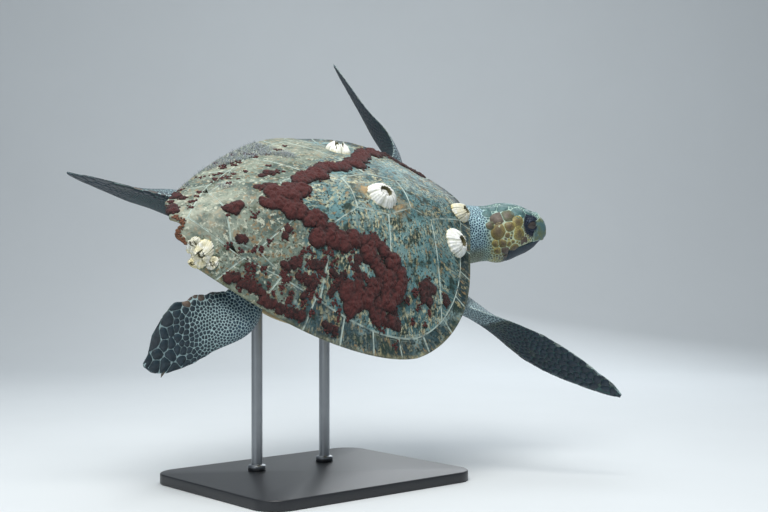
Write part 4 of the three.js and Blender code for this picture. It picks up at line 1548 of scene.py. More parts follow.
@dataclass(frozen=True)
class Lids:
    """Heavy eyelids round an almond opening."""

    over: float = 1.7 * MM
    half_length: float = 12.5 * MM
    upper: float = 6.6 * MM
    lower: float = 6.2 * MM
    socket: float = 15.0 * MM
    inner: float = 16 * MM
    outer: float = 27 * MM
    folds: tuple[tuple[float, float, float], ...] = (
        (1.5 * MM, 2.2 * MM, 1.7 * MM), (-1.0 * MM, 6.0 * MM, 1.3 * MM), (0.9 * MM, 8.5 * MM, 1.5 * MM))

    def margin(self, across: Array, up: Array) -> Array:
        """Distance from the opening's edge, negative within the opening.

        Args:
            across: Places along the opening.
            up: Places across the opening.

        Returns:
            The distances.
        """
        height = np.where(up > 0, self.upper, self.lower)
        reach = np.hypot(across / self.half_length, up / height)
        length = np.hypot(across, up)
        return length - length / np.maximum(reach, 1e-6)

    def shaped(self, points: Array, side: int) -> Array:
        """Head frame places with one eye's lids formed round the eyeball.

        Args:
            points: Places in the head frame.
            side: 1 for the left and -1 for the right.

        Returns:
            The places with the lids formed.
        """
        centre, axes = HEAD.eye_frame(side)
        away = points - centre
        local = away @ axes.T
        radial = np.hypot(local[..., 0], local[..., 1])
        share = ease(radial, self.outer, self.inner) * (local[..., 2] > 0)
        length = np.linalg.norm(away, axis=-1)
        margin = self.margin(local[..., 0], local[..., 1])
        target = HEAD.eye_radius + self.over
        for height, place, width in self.folds:
            target = target + height * bell(margin - place, width)
        wrinkle = 0.35 * MM * np.sin(margin / (0.42 * MM) + 3 * noise(points, 0.006, 31))
        target = np.where(margin < 0, self.socket, target + wrinkle * ease(margin, 1 * MM, 3 * MM))
        reached = mix(length, target, share)
        brow = 3.0 * MM * bell(local[..., 1] - 19 * MM, 6 * MM) * bell(local[..., 0] + 2 * MM, 17 * MM)
        reached = reached + brow * (local[..., 2] > 0)
        return centre + away * (reached / np.maximum(length, 1e-9))[..., None]


@dataclass(frozen=True)
class NeckAndHead:
    """The neck and the head as one loft."""

    neck: tuple[tuple[float, float, float], ...] = (
        (250, 0, 12), (345, 0, 26), (428, -2, 42), (500, -17, 72), (545, -38, 95))
    joint: float = 0.75
    neck_rows: int = 84
    head_rows: int = 130
    around: int = 264

    def angles(self) -> Array:
        """Angles of the columns, closer together by the eyes.

        Returns:
            The angles.
        """
        fine = np.linspace(0, 2 * math.pi, 2001)
        eye = math.radians(19)
        near = sum(bell(fine - at, math.radians(19)) for at in (eye, math.pi - eye, 2 * math.pi + eye))
        return denser(fine, 1.6 * near, self.around, False)

    def stations(self) -> Array:
        """Places of the head's rings along its axis, closer together by the eyes."""
        fine = np.linspace(2 * MM, 150 * MM, 1001)
        return denser(fine, 1.3 * bell(fine - HEAD.eye_place[0], 24 * MM), self.head_rows, True)

    def neck_rings(self, angle: Array) -> Array:
        """Rings of the neck, which rolls with the head at its front end.

        Args:
            angle: Angles round the section.

        Returns:
            Rings in the body frame.
        """
        route = Route(self.neck)
        u = np.linspace(0, self.joint - 0.008, self.neck_rows)
        ahead = route.tangent(u, False)
        ahead = unit(mix(ahead, HEAD.axes()[0], ease(u, 0.5, self.joint)[:, None]))
        left = unit(np.cross(np.array([0, 0, 1.0]), ahead))
        up = np.cross(ahead, left)
        roll = (HEAD.roll * ease(u, 0.25, self.joint))[:, None]
        left, up = left * np.cos(roll) + up * np.sin(roll), up * np.cos(roll) - left * np.sin(roll)
        swell = 1 + 0.06 * np.sin(np.pi * u)
        near = ease(u, 0.5, self.joint)
        joint = HEAD.surface(np.array([0.0] * 3), np.array([0, math.pi / 2, 1.5 * math.pi]))
        half = mix(mix(88, 68, u) * MM * swell, joint[0, 1], near)
        top = mix(mix(74, 58, u) * MM * swell, joint[1, 2], near)
        bottom = mix(mix(84, 72, u) * MM * swell, -joint[2, 2], near)
        power = mix(2.1, HEAD.power, near)
        across, height = oval(angle[None], half[:, None], top[:, None], bottom[:, None], power[:, None])
        centre = route.point(u)
        rings = centre[:, None] + across[..., None] * left[:, None] + height[..., None] * up[:, None]
        loose = 1 - 0.5 * ease(u, 0.45, 0.75)
        fold = 2.6 * MM * fractal(rings * (1.0, 0.45, 0.45), 0.026, 41, 2)
        crease = -2.2 * MM * ease(-np.abs(noise(rings * (1.0, 0.4, 0.4), 0.030, 44)), -0.16, 0.0)
        out = facing_out(rings, centre[:, None])
        return rings + out * ((fold + crease) * loose[:, None])[..., None]

    def head_rings(self, angle: Array) -> Array:
        """Rings of the head with its lids, mouth and cheeks.

        Args:
            angle: Angles round the section.

        Returns:
            Rings in the body frame.
        """
        x = self.stations()
        rings = HEAD.surface(x[:, None], angle[None])
        out = facing_out(rings, rings.mean(axis=1, keepdims=True))
        side, height = np.abs(rings[..., 1]), rings[..., 2]
        over_mouth = height - HEAD.mouth(rings[..., 0])
        along = rings[..., 0]
        cheek = 2.5 * MM * bell(along - 62 * MM, 20 * MM) * bell(height + 8 * MM, 20 * MM)
        cheek = cheek * ease(side, 0.02, 0.05)
        hollow = -2.5 * MM * bell(along - 122 * MM, 9 * MM) * bell(height - 8 * MM, 12 * MM)
        lip = 1.6 * MM * bell(over_mouth - 5 * MM, 4 * MM) * ease(along, 30 * MM, 60 * MM)
        lip_line = -3.2 * MM * bell(over_mouth, 1.5 * MM) * ease(along, 38 * MM, 50 * MM)
        beak = HEAD.beak_start(np.sin(angle))[None]
        covered = ease(along - beak, -1 * MM, 1 * MM) * (over_mouth > -7 * MM)
        jaw = ease(along, HEAD.jaw_back - 1 * MM, HEAD.jaw_back + 1 * MM) * ease(over_mouth, 0, -1.5 * MM)
        sunk = -2.6 * MM * np.maximum(covered, jaw)
        soft = 0.7 * MM * noise(rings, 0.018, 51)
        raised = (cheek + hollow + lip + soft) * (1 - np.maximum(covered, jaw)) + lip_line + sunk
        rings = rings + out * raised[..., None]
        for eye in (1, -1):
            rings = Lids().shaped(rings, eye)
        return HEAD.to_body(rings)

    def form(self) -> Form:
        """The loft, in the body frame."""
        angle = self.angles()
        return region_loft(Region.HEAD, np.concatenate([self.neck_rings(angle), self.head_rings(angle)]))


@dataclass(frozen=True)
class Trunk:
    """The flesh between the shell and the plastron."""

    room: float = 19 * MM
    belly_room: float = 15 * MM
    overhang: float = 44 * MM
    belly_depth: float = 106 * MM
    front: float = 0.075
    rear: float = 0.80

    def half(self, s: Array) -> Array:
        """Half of the trunk's width."""
        return np.maximum(SHELL.half_width(s) - self.overhang / SHELL.length, 0.02)

    @staticmethod
    def bridge(s: Array) -> Array:
        """How fully the belly is joined to the shell's rim, 0 to 1."""
        return ease(s, 0.16, 0.30) * (1 - ease(s, 0.60, 0.74))

    def belly_edge(self, s: Array) -> Array:
        """Half of the belly's width."""
        return mix(0.72, 0.97, self.bridge(s)) * self.half(s)

    def belly(self, s: Array, y: Array, depth: Array | float = 0.0) -> Array:
        """Point on the belly, raised towards the back by a depth in metres.

        Args:
            s: Shares along the shell, 0 in front.
            y: Places to the left, in shell lengths.
            depth: How far to raise the place towards the back.

        Returns:
            Places in the body frame.
        """
        s, y = np.broadcast_arrays(np.asarray(s, float), np.asarray(y, float))
        edge = self.belly_edge(s)
        flat = 0.45 * edge
        k = np.clip((np.abs(y) - flat) / (edge - flat), 0, 1.3)
        ends = 0.125 * ease(s, 0.62, 0.92) + 0.05 * (1 - ease(s, 0.02, 0.14))
        rise = mix(0.045, 0.105, self.bridge(s)) * k * k
        height = (-self.belly_depth / SHELL.length + rise + ends) * SHELL.length
        return np.stack([(SHELL.origin_s - s) * SHELL.length, y * SHELL.length, height + depth], axis=-1)

    def ring(self, s: float, top: int = 84, under: int = 60) -> Array:
        """One ring of the trunk, from its right side over the back and round by the belly.

        Args:
            s: Share along the shell, 0 in front.
            top: Number of places over the back.
            under: Number of places under the belly.

        Returns:
            The ring's places.
        """
        y = self.half(np.array(s)) * np.sin(np.linspace(-math.pi / 2, math.pi / 2, top))
        over = SHELL.point(np.full(top, s), y, self.room)
        over[:, 0] = (SHELL.origin_s - s) * SHELL.length
        edge = self.belly_edge(np.array(s))
        below = self.belly(np.full(under, s), np.linspace(1, -1, under) * edge, self.belly_room)
        run = np.concatenate([over, below, over[:1]])
        steps = run_length(run)
        at = np.linspace(0, steps[-1], top + under + 1)[:-1]
        return np.stack([np.interp(at, steps, run[:, c]) for c in range(3)], axis=-1)

    def form(self) -> Form:
        """The trunk as a loft with rounded ends.

        Returns:
            The closed form.
        """
        rings = [self.ring(s) for s in np.linspace(self.front, self.rear, 96)]

        def cap(ring: Array, way: float) -> list[Array]:
            """Rings that round off an end.

            Args:
                ring: The last ring at that end.
                way: 1 at the front end and -1 at the rear end.

            Returns:
                The rings, from the given one outwards.
            """
            centre = ring.mean(axis=0)
            ends = []
            for turn in np.linspace(0, math.pi / 2, 10)[1:-1]:
                scaled = centre + (ring - centre) * (0.62 + 0.38 * math.cos(turn))
                scaled[:, 0] += way * 20 * MM * math.sin(turn)
                ends.append(scaled)
            return ends

        rows = np.array(cap(rings[0], 1.0)[::-1] + rings + cap(rings[-1], -1.0))
        pleat = 1.6 * MM * fractal(rows, 0.03, 61, 2)
        out = facing_out(rows, rows.mean(axis=1, keepdims=True))
        return region_loft(Region.TRUNK, rows + out * (pleat - 1.0 * MM)[..., None])


TRUNK = Trunk()


@dataclass(frozen=True)
class Tail:
    """The short tail, which ends within the shell's rear edge."""

    axis: tuple[tuple[float, float, float], ...] = (
        (-225, 0, 0), (-280, 0, -4), (-312, 1, -10), (-336, 3, -20))
    sizes: tuple[tuple[float, float], ...] = ((46, 5), (30, 4), (32, 4))

    def form(self) -> Form:
        """The tail as a loft.

        Returns:
            The closed form.
        """
        route = Route(self.axis)
        u = np.linspace(0, 1, 44)
        ahead = route.tangent(u, False)
        left = unit(np.cross(np.array([0, 0, 1.0]), ahead))
        up = np.cross(ahead, left)
        share = u ** 0.8
        sizes = [mix(start, end, share)[:, None] * MM for start, end in self.sizes]
        across, height = oval(turns(60)[None], *sizes, 2.0)
        rings = route.point(u)[:, None] + across[..., None] * left[:, None] + height[..., None] * up[:, None]
        return region_loft(Region.TAIL, rings)


# Share of the length, reach ahead, reach behind and thickness in millimetres, to a row.
FRONT_BLADE = np.array([
    (0.00, 46, 46, 66), (0.10, 45, 46, 60), (0.20, 47, 48, 50), (0.30, 56, 55, 40), (0.40, 60, 64, 31),
    (0.52, 57, 66, 24), (0.64, 50, 60, 18), (0.76, 40, 50, 13), (0.88, 26, 36, 9), (0.96, 13, 22, 6),
    (1.00, 3, 8, 3)])
HIND_BLADE = np.array([
    (0.00, 42, 46, 80), (0.14, 46, 54, 76), (0.30, 52, 60, 62), (0.45, 60, 63, 42), (0.60, 67, 70, 27),
    (0.70, 66, 80, 18), (0.75, 62, 70, 15), (0.82, 55, 57, 12), (0.88, 47, 44, 10), (0.93, 36, 22, 8),
    (0.985, 15, 7, 5), (1.00, 6, 4, 4)])
# Places round a blade's section: to the leading edge and up, as shares of the reach and the thickness.
SECTION = np.array([
    (1, 0), (0.90, 0.62), (0.55, 1), (0.05, 0.92), (-0.5, 0.55), (-0.9, 0.2),
    (-1, 0), (-0.9, -0.2), (-0.5, -0.55), (0.05, -0.92), (0.55, -1), (0.90, -0.62)])


@dataclass(frozen=True)
class Flipper:
    """One flipper: blade sections across a curved axis."""

    name: str
    region: Region
    side: int
    axis: tuple[tuple[float, float, float], ...]
    leads: tuple[tuple[float, float, float], tuple[float, float, float]]
    claws: tuple[float, ...]
    front: bool
    notch: float = 0.0

    def blade(self) -> Array:
        """The stations of the blade."""
        return FRONT_BLADE if self.front else HIND_BLADE

    def frames(self, u: Array) -> tuple[Array, Array, Array, Array]:
        """Centres, ways ahead, ways to the leading edge and normals at shares of the length.

        Args:
            u: Shares of the way, 0 to 1.

        Returns:
            Centres, ways ahead, ways to the leading edge and normals.
        """
        route = Route(self.axis)
        ahead = route.tangent(u, True)
        leads = np.array(self.leads)
        lead = unit(mix(unit(leads[0]), unit(leads[1]), ease(u, 0.1, 0.75)[:, None]))
        lead = unit(lead - np.sum(lead * ahead, axis=-1, keepdims=True) * ahead)
        return route.even(u), ahead, lead, np.cross(ahead, lead)

    def section(self, count: int) -> Array:
        """Places round the section, from the leading edge by way of the normal's side.

        Args:
            count: How many are wanted.

        Returns:
            Places ahead and up, one to a row.
        """
        t = np.arange(count) / count * len(SECTION)
        i = t.astype(int)
        f = (t - i)[:, None]
        p = [SECTION[(i + k) % len(SECTION)] for k in (-1, 0, 1, 2)]
        return 0.5 * (2 * p[1] + (p[2] - p[0]) * f + (2 * p[0] - 5 * p[1] + 4 * p[2] - p[3]) * f ** 2
                      + (3 * p[1] - p[0] - 3 * p[2] + p[3]) * f ** 3)

    def form(self) -> Form:
        """The flipper as a loft with a ragged trailing edge and the digits showing through.

        Returns:
            The closed form.
        """
        rows, around = (150, 150) if self.front else (104, 150)
        share = np.linspace(0, 1, rows)
        u = 0.02 + 0.98 * (1 - (1 - share) ** 1.25)
        centre, _, lead, normal = self.frames(u)
        size = hermite(u, self.blade()) * MM
        section = self.section(around)
        a, b = section[None, :, 0], section[None, :, 1]
        seed = self.region.value[0] * 7 + self.region.value[1]
        where = np.stack([u, u * 0 + seed, u * 0], axis=-1)
        ragged = 1 + 0.055 * fractal(where, 0.045, 71) * ease(u, 0.25, 0.5)
        ragged = ragged - 0.16 * self.notch * bell(u - 0.875, 0.012)
        lobes = 1 + 0.022 * np.abs(np.sin(u * 31)) * ease(u, 0.35, 0.6)
        if not self.front:
            ragged = ragged + 0.07 * (np.abs(np.sin(u * 26 + 0.6)) - 0.5) * ease(u, 0.3, 0.5)
        reach = np.where(a > 0, (size[:, 0] * lobes)[:, None], (size[:, 1] * ragged)[:, None])
        digits = 1 + 0.10 * np.cos(a * 9 + 1.5 * u[:, None]) * ease(u, 0.4, 0.7)[:, None] * (1 - a ** 2)
        half = size[:, 2:3] / 2 * digits
        rings = centre[:, None] + (a * reach)[..., None] * lead[:, None]
        rings = rings + (b * half)[..., None] * normal[:, None]
        crease = 1.5 * MM * fractal(rings, 0.022, 73, 2) * (1 - ease(u, 0.2, 0.5))[:, None]
        rings = rings + (np.sign(b) * crease)[..., None] * normal[:, None] * np.abs(b)[..., None]
        return region_loft(self.region, rings)


FLIPPERS = (
    Flipper("front_right", Region.FRONT_RIGHT, -1,
            ((239, -135, 10), (348, -255, 35), (437, -395, 61), (561, -571, 106)),
            ((0.82, 0.31, -0.48), (0.21, 0.04, -0.98)), (0.47, 0.60), True, 1.0),
    Flipper("front_left", Region.FRONT_LEFT, 1,
            ((240, 135, 10), (355, 243, 45), (367, 403, 31), (379, 644, 12)),
            ((0.52, -0.12, -0.84), (0.71, -0.03, -0.70)), (0.47, 0.60), True),
    Flipper("hind_right", Region.HIND_RIGHT, -1,
            ((-215, -91, -34), (-258, -158, -57), (-355, -180, -70), (-498, -244, -107)),
            ((-0.10, -0.87, -0.48), (-0.14, -0.65, -0.74)), (0.88,), False),
    Flipper("hind_left", Region.HIND_LEFT, 1,
            ((-219, 93, -33), (-301, 146, -37), (-405, 187, -49), (-527, 248, -59)),
            ((0.26, 0.61, -0.75), (0.56, 0.43, -0.71)), (0.88,), False))


# ---------------------------------------------------------------- the plastron
@dataclass(frozen=True)
class PlastronFinish(Finish):
    """Yellowish horn with dusky clouds."""

    def paint(self, graph: Graph, surface: bpy.types.Node) -> None:
        """Cream yellow, browner to the seams.

        Args:
            graph: The material's graph.
            surface: The material's surface shader.
        """
        place = graph.place()
        clouded = graph.cloud(place, 14.0, 0.35, 0.68, 5.0, 0.65)
        body = graph.blend(clouded, srgb(206, 188, 136), srgb(166, 146, 98))
        body = graph.blend(graph.span(graph.value("seam"), 0.0, 0.006, 0.65, 0.0), body, srgb(112, 92, 62))
        fleck = self.flecks(graph, place, 70.0, 0.34, 0.1)
        graph.feed(surface.inputs["Base Color"], graph.blend(fleck, body, srgb(120, 116, 92)))
        self.relief(graph, surface, place, 260.0, 0.3, 0.0005)


@dataclass(frozen=True)
class Plastron:
    """The belly plate: six pairs of scutes parted by seams."""

    thick: float = 12 * MM
    front: float = 0.13
    rear: float = 0.77
    seams: tuple[float, ...] = (0.185, 0.285, 0.385, 0.515, 0.655)

    def half(self, s: Array) -> Array:
        """Half width, rounded off in front and drawn in between the hind flippers."""
        k = np.clip((np.asarray(s, float) - self.front) / (self.rear - self.front), -0.02, 1.02)
        return TRUNK.belly_edge(np.clip(s, 0.02, 0.97)) * np.sin(np.pi * mix(0.14, 0.93, k)) ** 0.5

    def form(self) -> Form:
        """The plate with its seams cut in and its edge rounded.

        Returns:
            The closed form.
        """
        s = np.linspace(self.front, self.rear, 190)[:, None]
        k = np.sin(np.linspace(-math.pi / 2, math.pi / 2, 130))[None]
        half = self.half(s)
        y = k * half
        s = np.broadcast_to(s, y.shape)
        place = TRUNK.belly(s, y)
        wave = 0.004 * np.sin(s * 40) + 0.003 * fractal(place, 0.05, 101)
        lines = np.abs(y - wave) * SHELL.length
        for number, seam in enumerate(self.seams):
            bend = 0.012 * np.cos(k * 3 + number) + 0.002 * fractal(place, 0.03, 103)
            lines = np.minimum(lines, np.abs(s - seam - bend) * SHELL.length)
        ends = np.minimum(s - self.front, self.rear - s)
        side = np.minimum((half - np.abs(y)) * SHELL.length, ends * SHELL.length)
        groove = 1.3 * MM * bell(lines, 1.5 * MM) + Carapace.drop(side, 4 * MM)
        swell = 0.8 * MM * fractal(place, 0.05, 105) + 0.12 * MM * np.sin(lines / (1.0 * MM))
        outer = TRUNK.belly(s, y, groove - swell * ease(side, 0, 6 * MM))
        form = slab(outer, TRUNK.belly(s, y, self.thick))
        form.values["seam"] = np.tile(np.minimum(lines, side * 2).ravel(), 2)
        return form

    def build(self) -> None:
        """Makes the plate's piece."""
        piece("plastron_plates", self.form(), PlastronFinish("plastron horn", 0.5), ("plastron",))


PLASTRON = Plastron()


# ---------------------------------------------------------------- the skin
def read(rows: bpy.types.bpy_prop_collection, name: str, width: int, kind: type) -> Array:
    """Numbers of a mesh's rows in one run.

    Args:
        rows: The mesh's points, corners, faces or places on the unwrap.
        name: The value to read.
        width: How many numbers it has.
        kind: What kind of numbers they are.

    Returns:
        All the numbers, one after the other.
    """
    values = np.empty(len(rows) * width, kind)
    rows.foreach_get(name, values)
    return values


def united(forms: list[Form]) -> Form:
    """One closed form round several closed forms.

    Args:
        forms: The forms.

    Returns:
        The joined form.
    """
    made = [shown(f"join_{number}", raw_mesh(f"join_{number}", form)) for number, form in enumerate(forms)]
    for other in made[1:]:
        step = made[0].modifiers.new("join", "BOOLEAN")
        step.operation, step.solver, step.object = "UNION", "MANIFOLD", other
    whole = made[0].evaluated_get(bpy.context.evaluated_depsgraph_get())
    mesh = bpy.data.meshes.new_from_object(whole)
    points = read(mesh.vertices, "co", 3, float)
    corners = read(mesh.loops, "vertex_index", 1, np.int64)
    totals = read(mesh.polygons, "loop_total", 1, np.int64)
    starts = read(mesh.polygons, "loop_start", 1, np.int64)
    patches = read(mesh.uv_layers["OFBake"].uv, "vector", 2, float).reshape(-1, 2)
    faces, sorted_patches = [], []
    for size in np.unique(totals):
        loops = starts[totals == size][:, None] + np.arange(size)
        faces.append(corners[loops])
        sorted_patches.append(patches[loops].reshape(-1, 2))
    for thing in made:
        data = thing.data
        bpy.data.objects.remove(thing)
        bpy.data.meshes.remove(data)
    bpy.data.meshes.remove(mesh)
    return Form(points.reshape(-1, 3), faces, {}, np.concatenate(sorted_patches))


class Skin:
    """The one skin over the flesh, with what it needs to know of itself at each point."""

    coat_depth: float = 0.8 * MM
    rounds: int = 60
    round_width: float = 17 * MM
    round_end: float = 45 * MM

    def __init__(self) -> None:
        """Joins the lofts and rounds their junctions."""
        limbs = [flipper.form() for flipper in FLIPPERS]
        form = united([TRUNK.form(), NeckAndHead().form(), Tail().form(), *limbs])
        self.form = form
        self.patch = np.zeros((len(form.points), 2))
        self.patch[np.concatenate([run.ravel() for run in form.faces])] = form.patches
        self.region, self.along, self.around = self.shares(self.patch)
        self.soften()
        self.normals = self.point_normals()
        form.points = form.points - self.normals * self.coat_depth
        self.triangles, self.triangle_patch = self.split()
        points = [tuple(p) for p in form.points.tolist()]
        self.tree = BVHTree.FromPolygons(points, self.triangles.tolist())

    @staticmethod
    def shares(patch: Array) -> tuple[Array, Array, Array]:
        """Region number and shares along and round it, from places on the unwrap.

        Args:
            patch: Places on the unwrap, one to a row.

        Returns:
            Region numbers, shares along and shares round.
        """
        region = np.zeros(len(patch), int)
        along, around = np.zeros(len(patch)), np.zeros(len(patch))
        for number, kind in enumerate(Region):
            left, bottom, width, height = kind.value
            inside = ((patch[:, 0] > left - 0.004) & (patch[:, 0] < left + width + 0.004)
                      & (patch[:, 1] > bottom - 0.004) & (patch[:, 1] < bottom + height + 0.004))
            region[inside] = number
            along[inside] = (patch[inside, 0] - left) / width
            around[inside] = (patch[inside, 1] - bottom) / height
        return region, along, around

    def edges(self) -> Array:
        """All edges of the mesh, each as two point numbers.

        Returns:
            The pairs, each one once.
        """
        pairs = [np.stack([run, np.roll(run, -1, axis=1)], axis=-1).reshape(-1, 2)
                 for run in self.form.faces]
        return np.unique(np.sort(np.concatenate(pairs), axis=1), axis=0)

    def soften(self) -> None:
        """Rounds the creases where the lofts meet."""
        points, edges = self.form.points, self.edges()
        first, second = edges[:, 0], edges[:, 1]
        meet = self.region[first] != self.region[second]
        seeds = np.unique(edges[meet])
        tree = place_tree(points[seeds])
        boxes = np.abs(points[:, None] - points[seeds][None, ::40]).max(axis=2).min(axis=1) < 0.05
        far = np.full(len(points), 1.0)
        for number in np.flatnonzero(boxes):
            far[number] = tree.find(points[number])[2]
        weight = (0.5 * bell(far, self.round_width))[:, None]
        weight[far > self.round_end] = 0
        count = np.bincount(edges.ravel(), minlength=len(points))[:, None]
        for _ in range(self.rounds):
            total = np.zeros_like(points)
            for c in range(3):
                total[:, c] = (np.bincount(first, points[second, c], len(points))
                               + np.bincount(second, points[first, c], len(points)))
            points = points + weight * (total / count - points)
        self.form.points = points

    def point_normals(self) -> Array:
        """Normal at each point.

        Returns:
            Unit vectors.
        """
        total = np.zeros_like(self.form.points)
        for run in self.form.faces:
            corners = self.form.points[run]
            area = np.zeros((len(run), 3))
            for k in range(1, run.shape[1] - 1):
                area += np.cross(corners[:, k] - corners[:, 0], corners[:, k + 1] - corners[:, 0])
            for k in range(run.shape[1]):
                for c in range(3):
                    total[:, c] += np.bincount(run[:, k], area[:, c], len(total))
        return unit(total)

    def split(self) -> tuple[Array, Array]:
        """Triangles of the skin, with the unwrap's places of their corners.

        Returns:
            The triangles and their corners' places.
        """
        triangles, patches, start = [], [], 0
        for run in self.form.faces:
            size = run.shape[1]
            patch = self.form.patches[start:start + run.size].reshape(len(run), size, 2)
            start += run.size
            for k in range(1, size - 1):
                triangles.append(run[:, [0, k, k + 1]])
                patches.append(patch[:, [0, k, k + 1]])
        return np.concatenate(triangles), np.concatenate(patches)

    def build(self) -> None:
        """Makes the skin's piece."""
        nodes = ("trunk", "tail", "neck", "head", "flipper_front_right", "flipper_front_left",
                 "flipper_hind_right", "flipper_hind_left")
        chance = np.full(len(self.form.points), 0.5)
        tones = HIDE.tones(self.form.points, self.region, self.along, self.around, chance)
        self.form.values["tint"] = tones[1]
        piece("skin", self.form, SkinFinish("bare skin", 0.62), nodes)


@dataclass(frozen=True)
class SkinFinish(Finish):
    """Soft dry skin."""

    def paint(self, graph: Graph, surface: bpy.types.Node) -> None:
        """The colour that the skin carries, broken up a little, with a fine grain; it holds painted shade
        under the flippers, on the lower jaw and round the eyes.

        Args:
            graph: The material's graph.
            surface: The material's surface shader.
        """
        place = graph.place()
        graph.feed(surface.inputs["Base Color"], self.mottled(graph, graph.tint("tint"), place, 60.0, 0.18))
        self.relief(graph, surface, place, 700.0, 0.5, 0.0004)


# ---------------------------------------------------------------- colours of the hide
class Hue(Enum):
    """Colours of the living surface, and the painted shade of the lower jaw, the eyes' surrounds and the
    flippers' undersides, in steps of 0 to 255.
    """

    NECK_NET = (166, 198, 206)
    NECK_DOT = (40, 74, 96)
    THROAT = (128, 136, 104)
    CROWN = (74, 108, 108)
    CROWN_NET = (158, 184, 174)
    OCHRE = (136, 124, 74)
    YELLOW = (160, 150, 86)
    BROWN = (98, 90, 80)
    MOSS = (98, 106, 80)
    CHEEK_NET = (186, 198, 168)
    # Painted shade: the lower jaw is dark navy for the shade under the head.
    JAW = (20, 38, 56)
    # Painted shade: the skin round the eyes is dark for the shade round them.
    DARK_LID = (20, 32, 48)
    SLATE = (34, 52, 62)
    # Painted shade: dark navy on the flippers' lower faces, standing for the shade under them.
    SLATE_NET = (158, 182, 184)
    NAVY = (16, 38, 52)
    NAVY_NET = (48, 80, 80)
    PALE_ROOT = (164, 188, 192)
    RUST = (112, 94, 80)
    EDGE = (176, 188, 180)
    TRUNK = (116, 134, 130)

    def colour(self) -> Array:
        """The linear colour."""
        return np.array(srgb(*self.value))


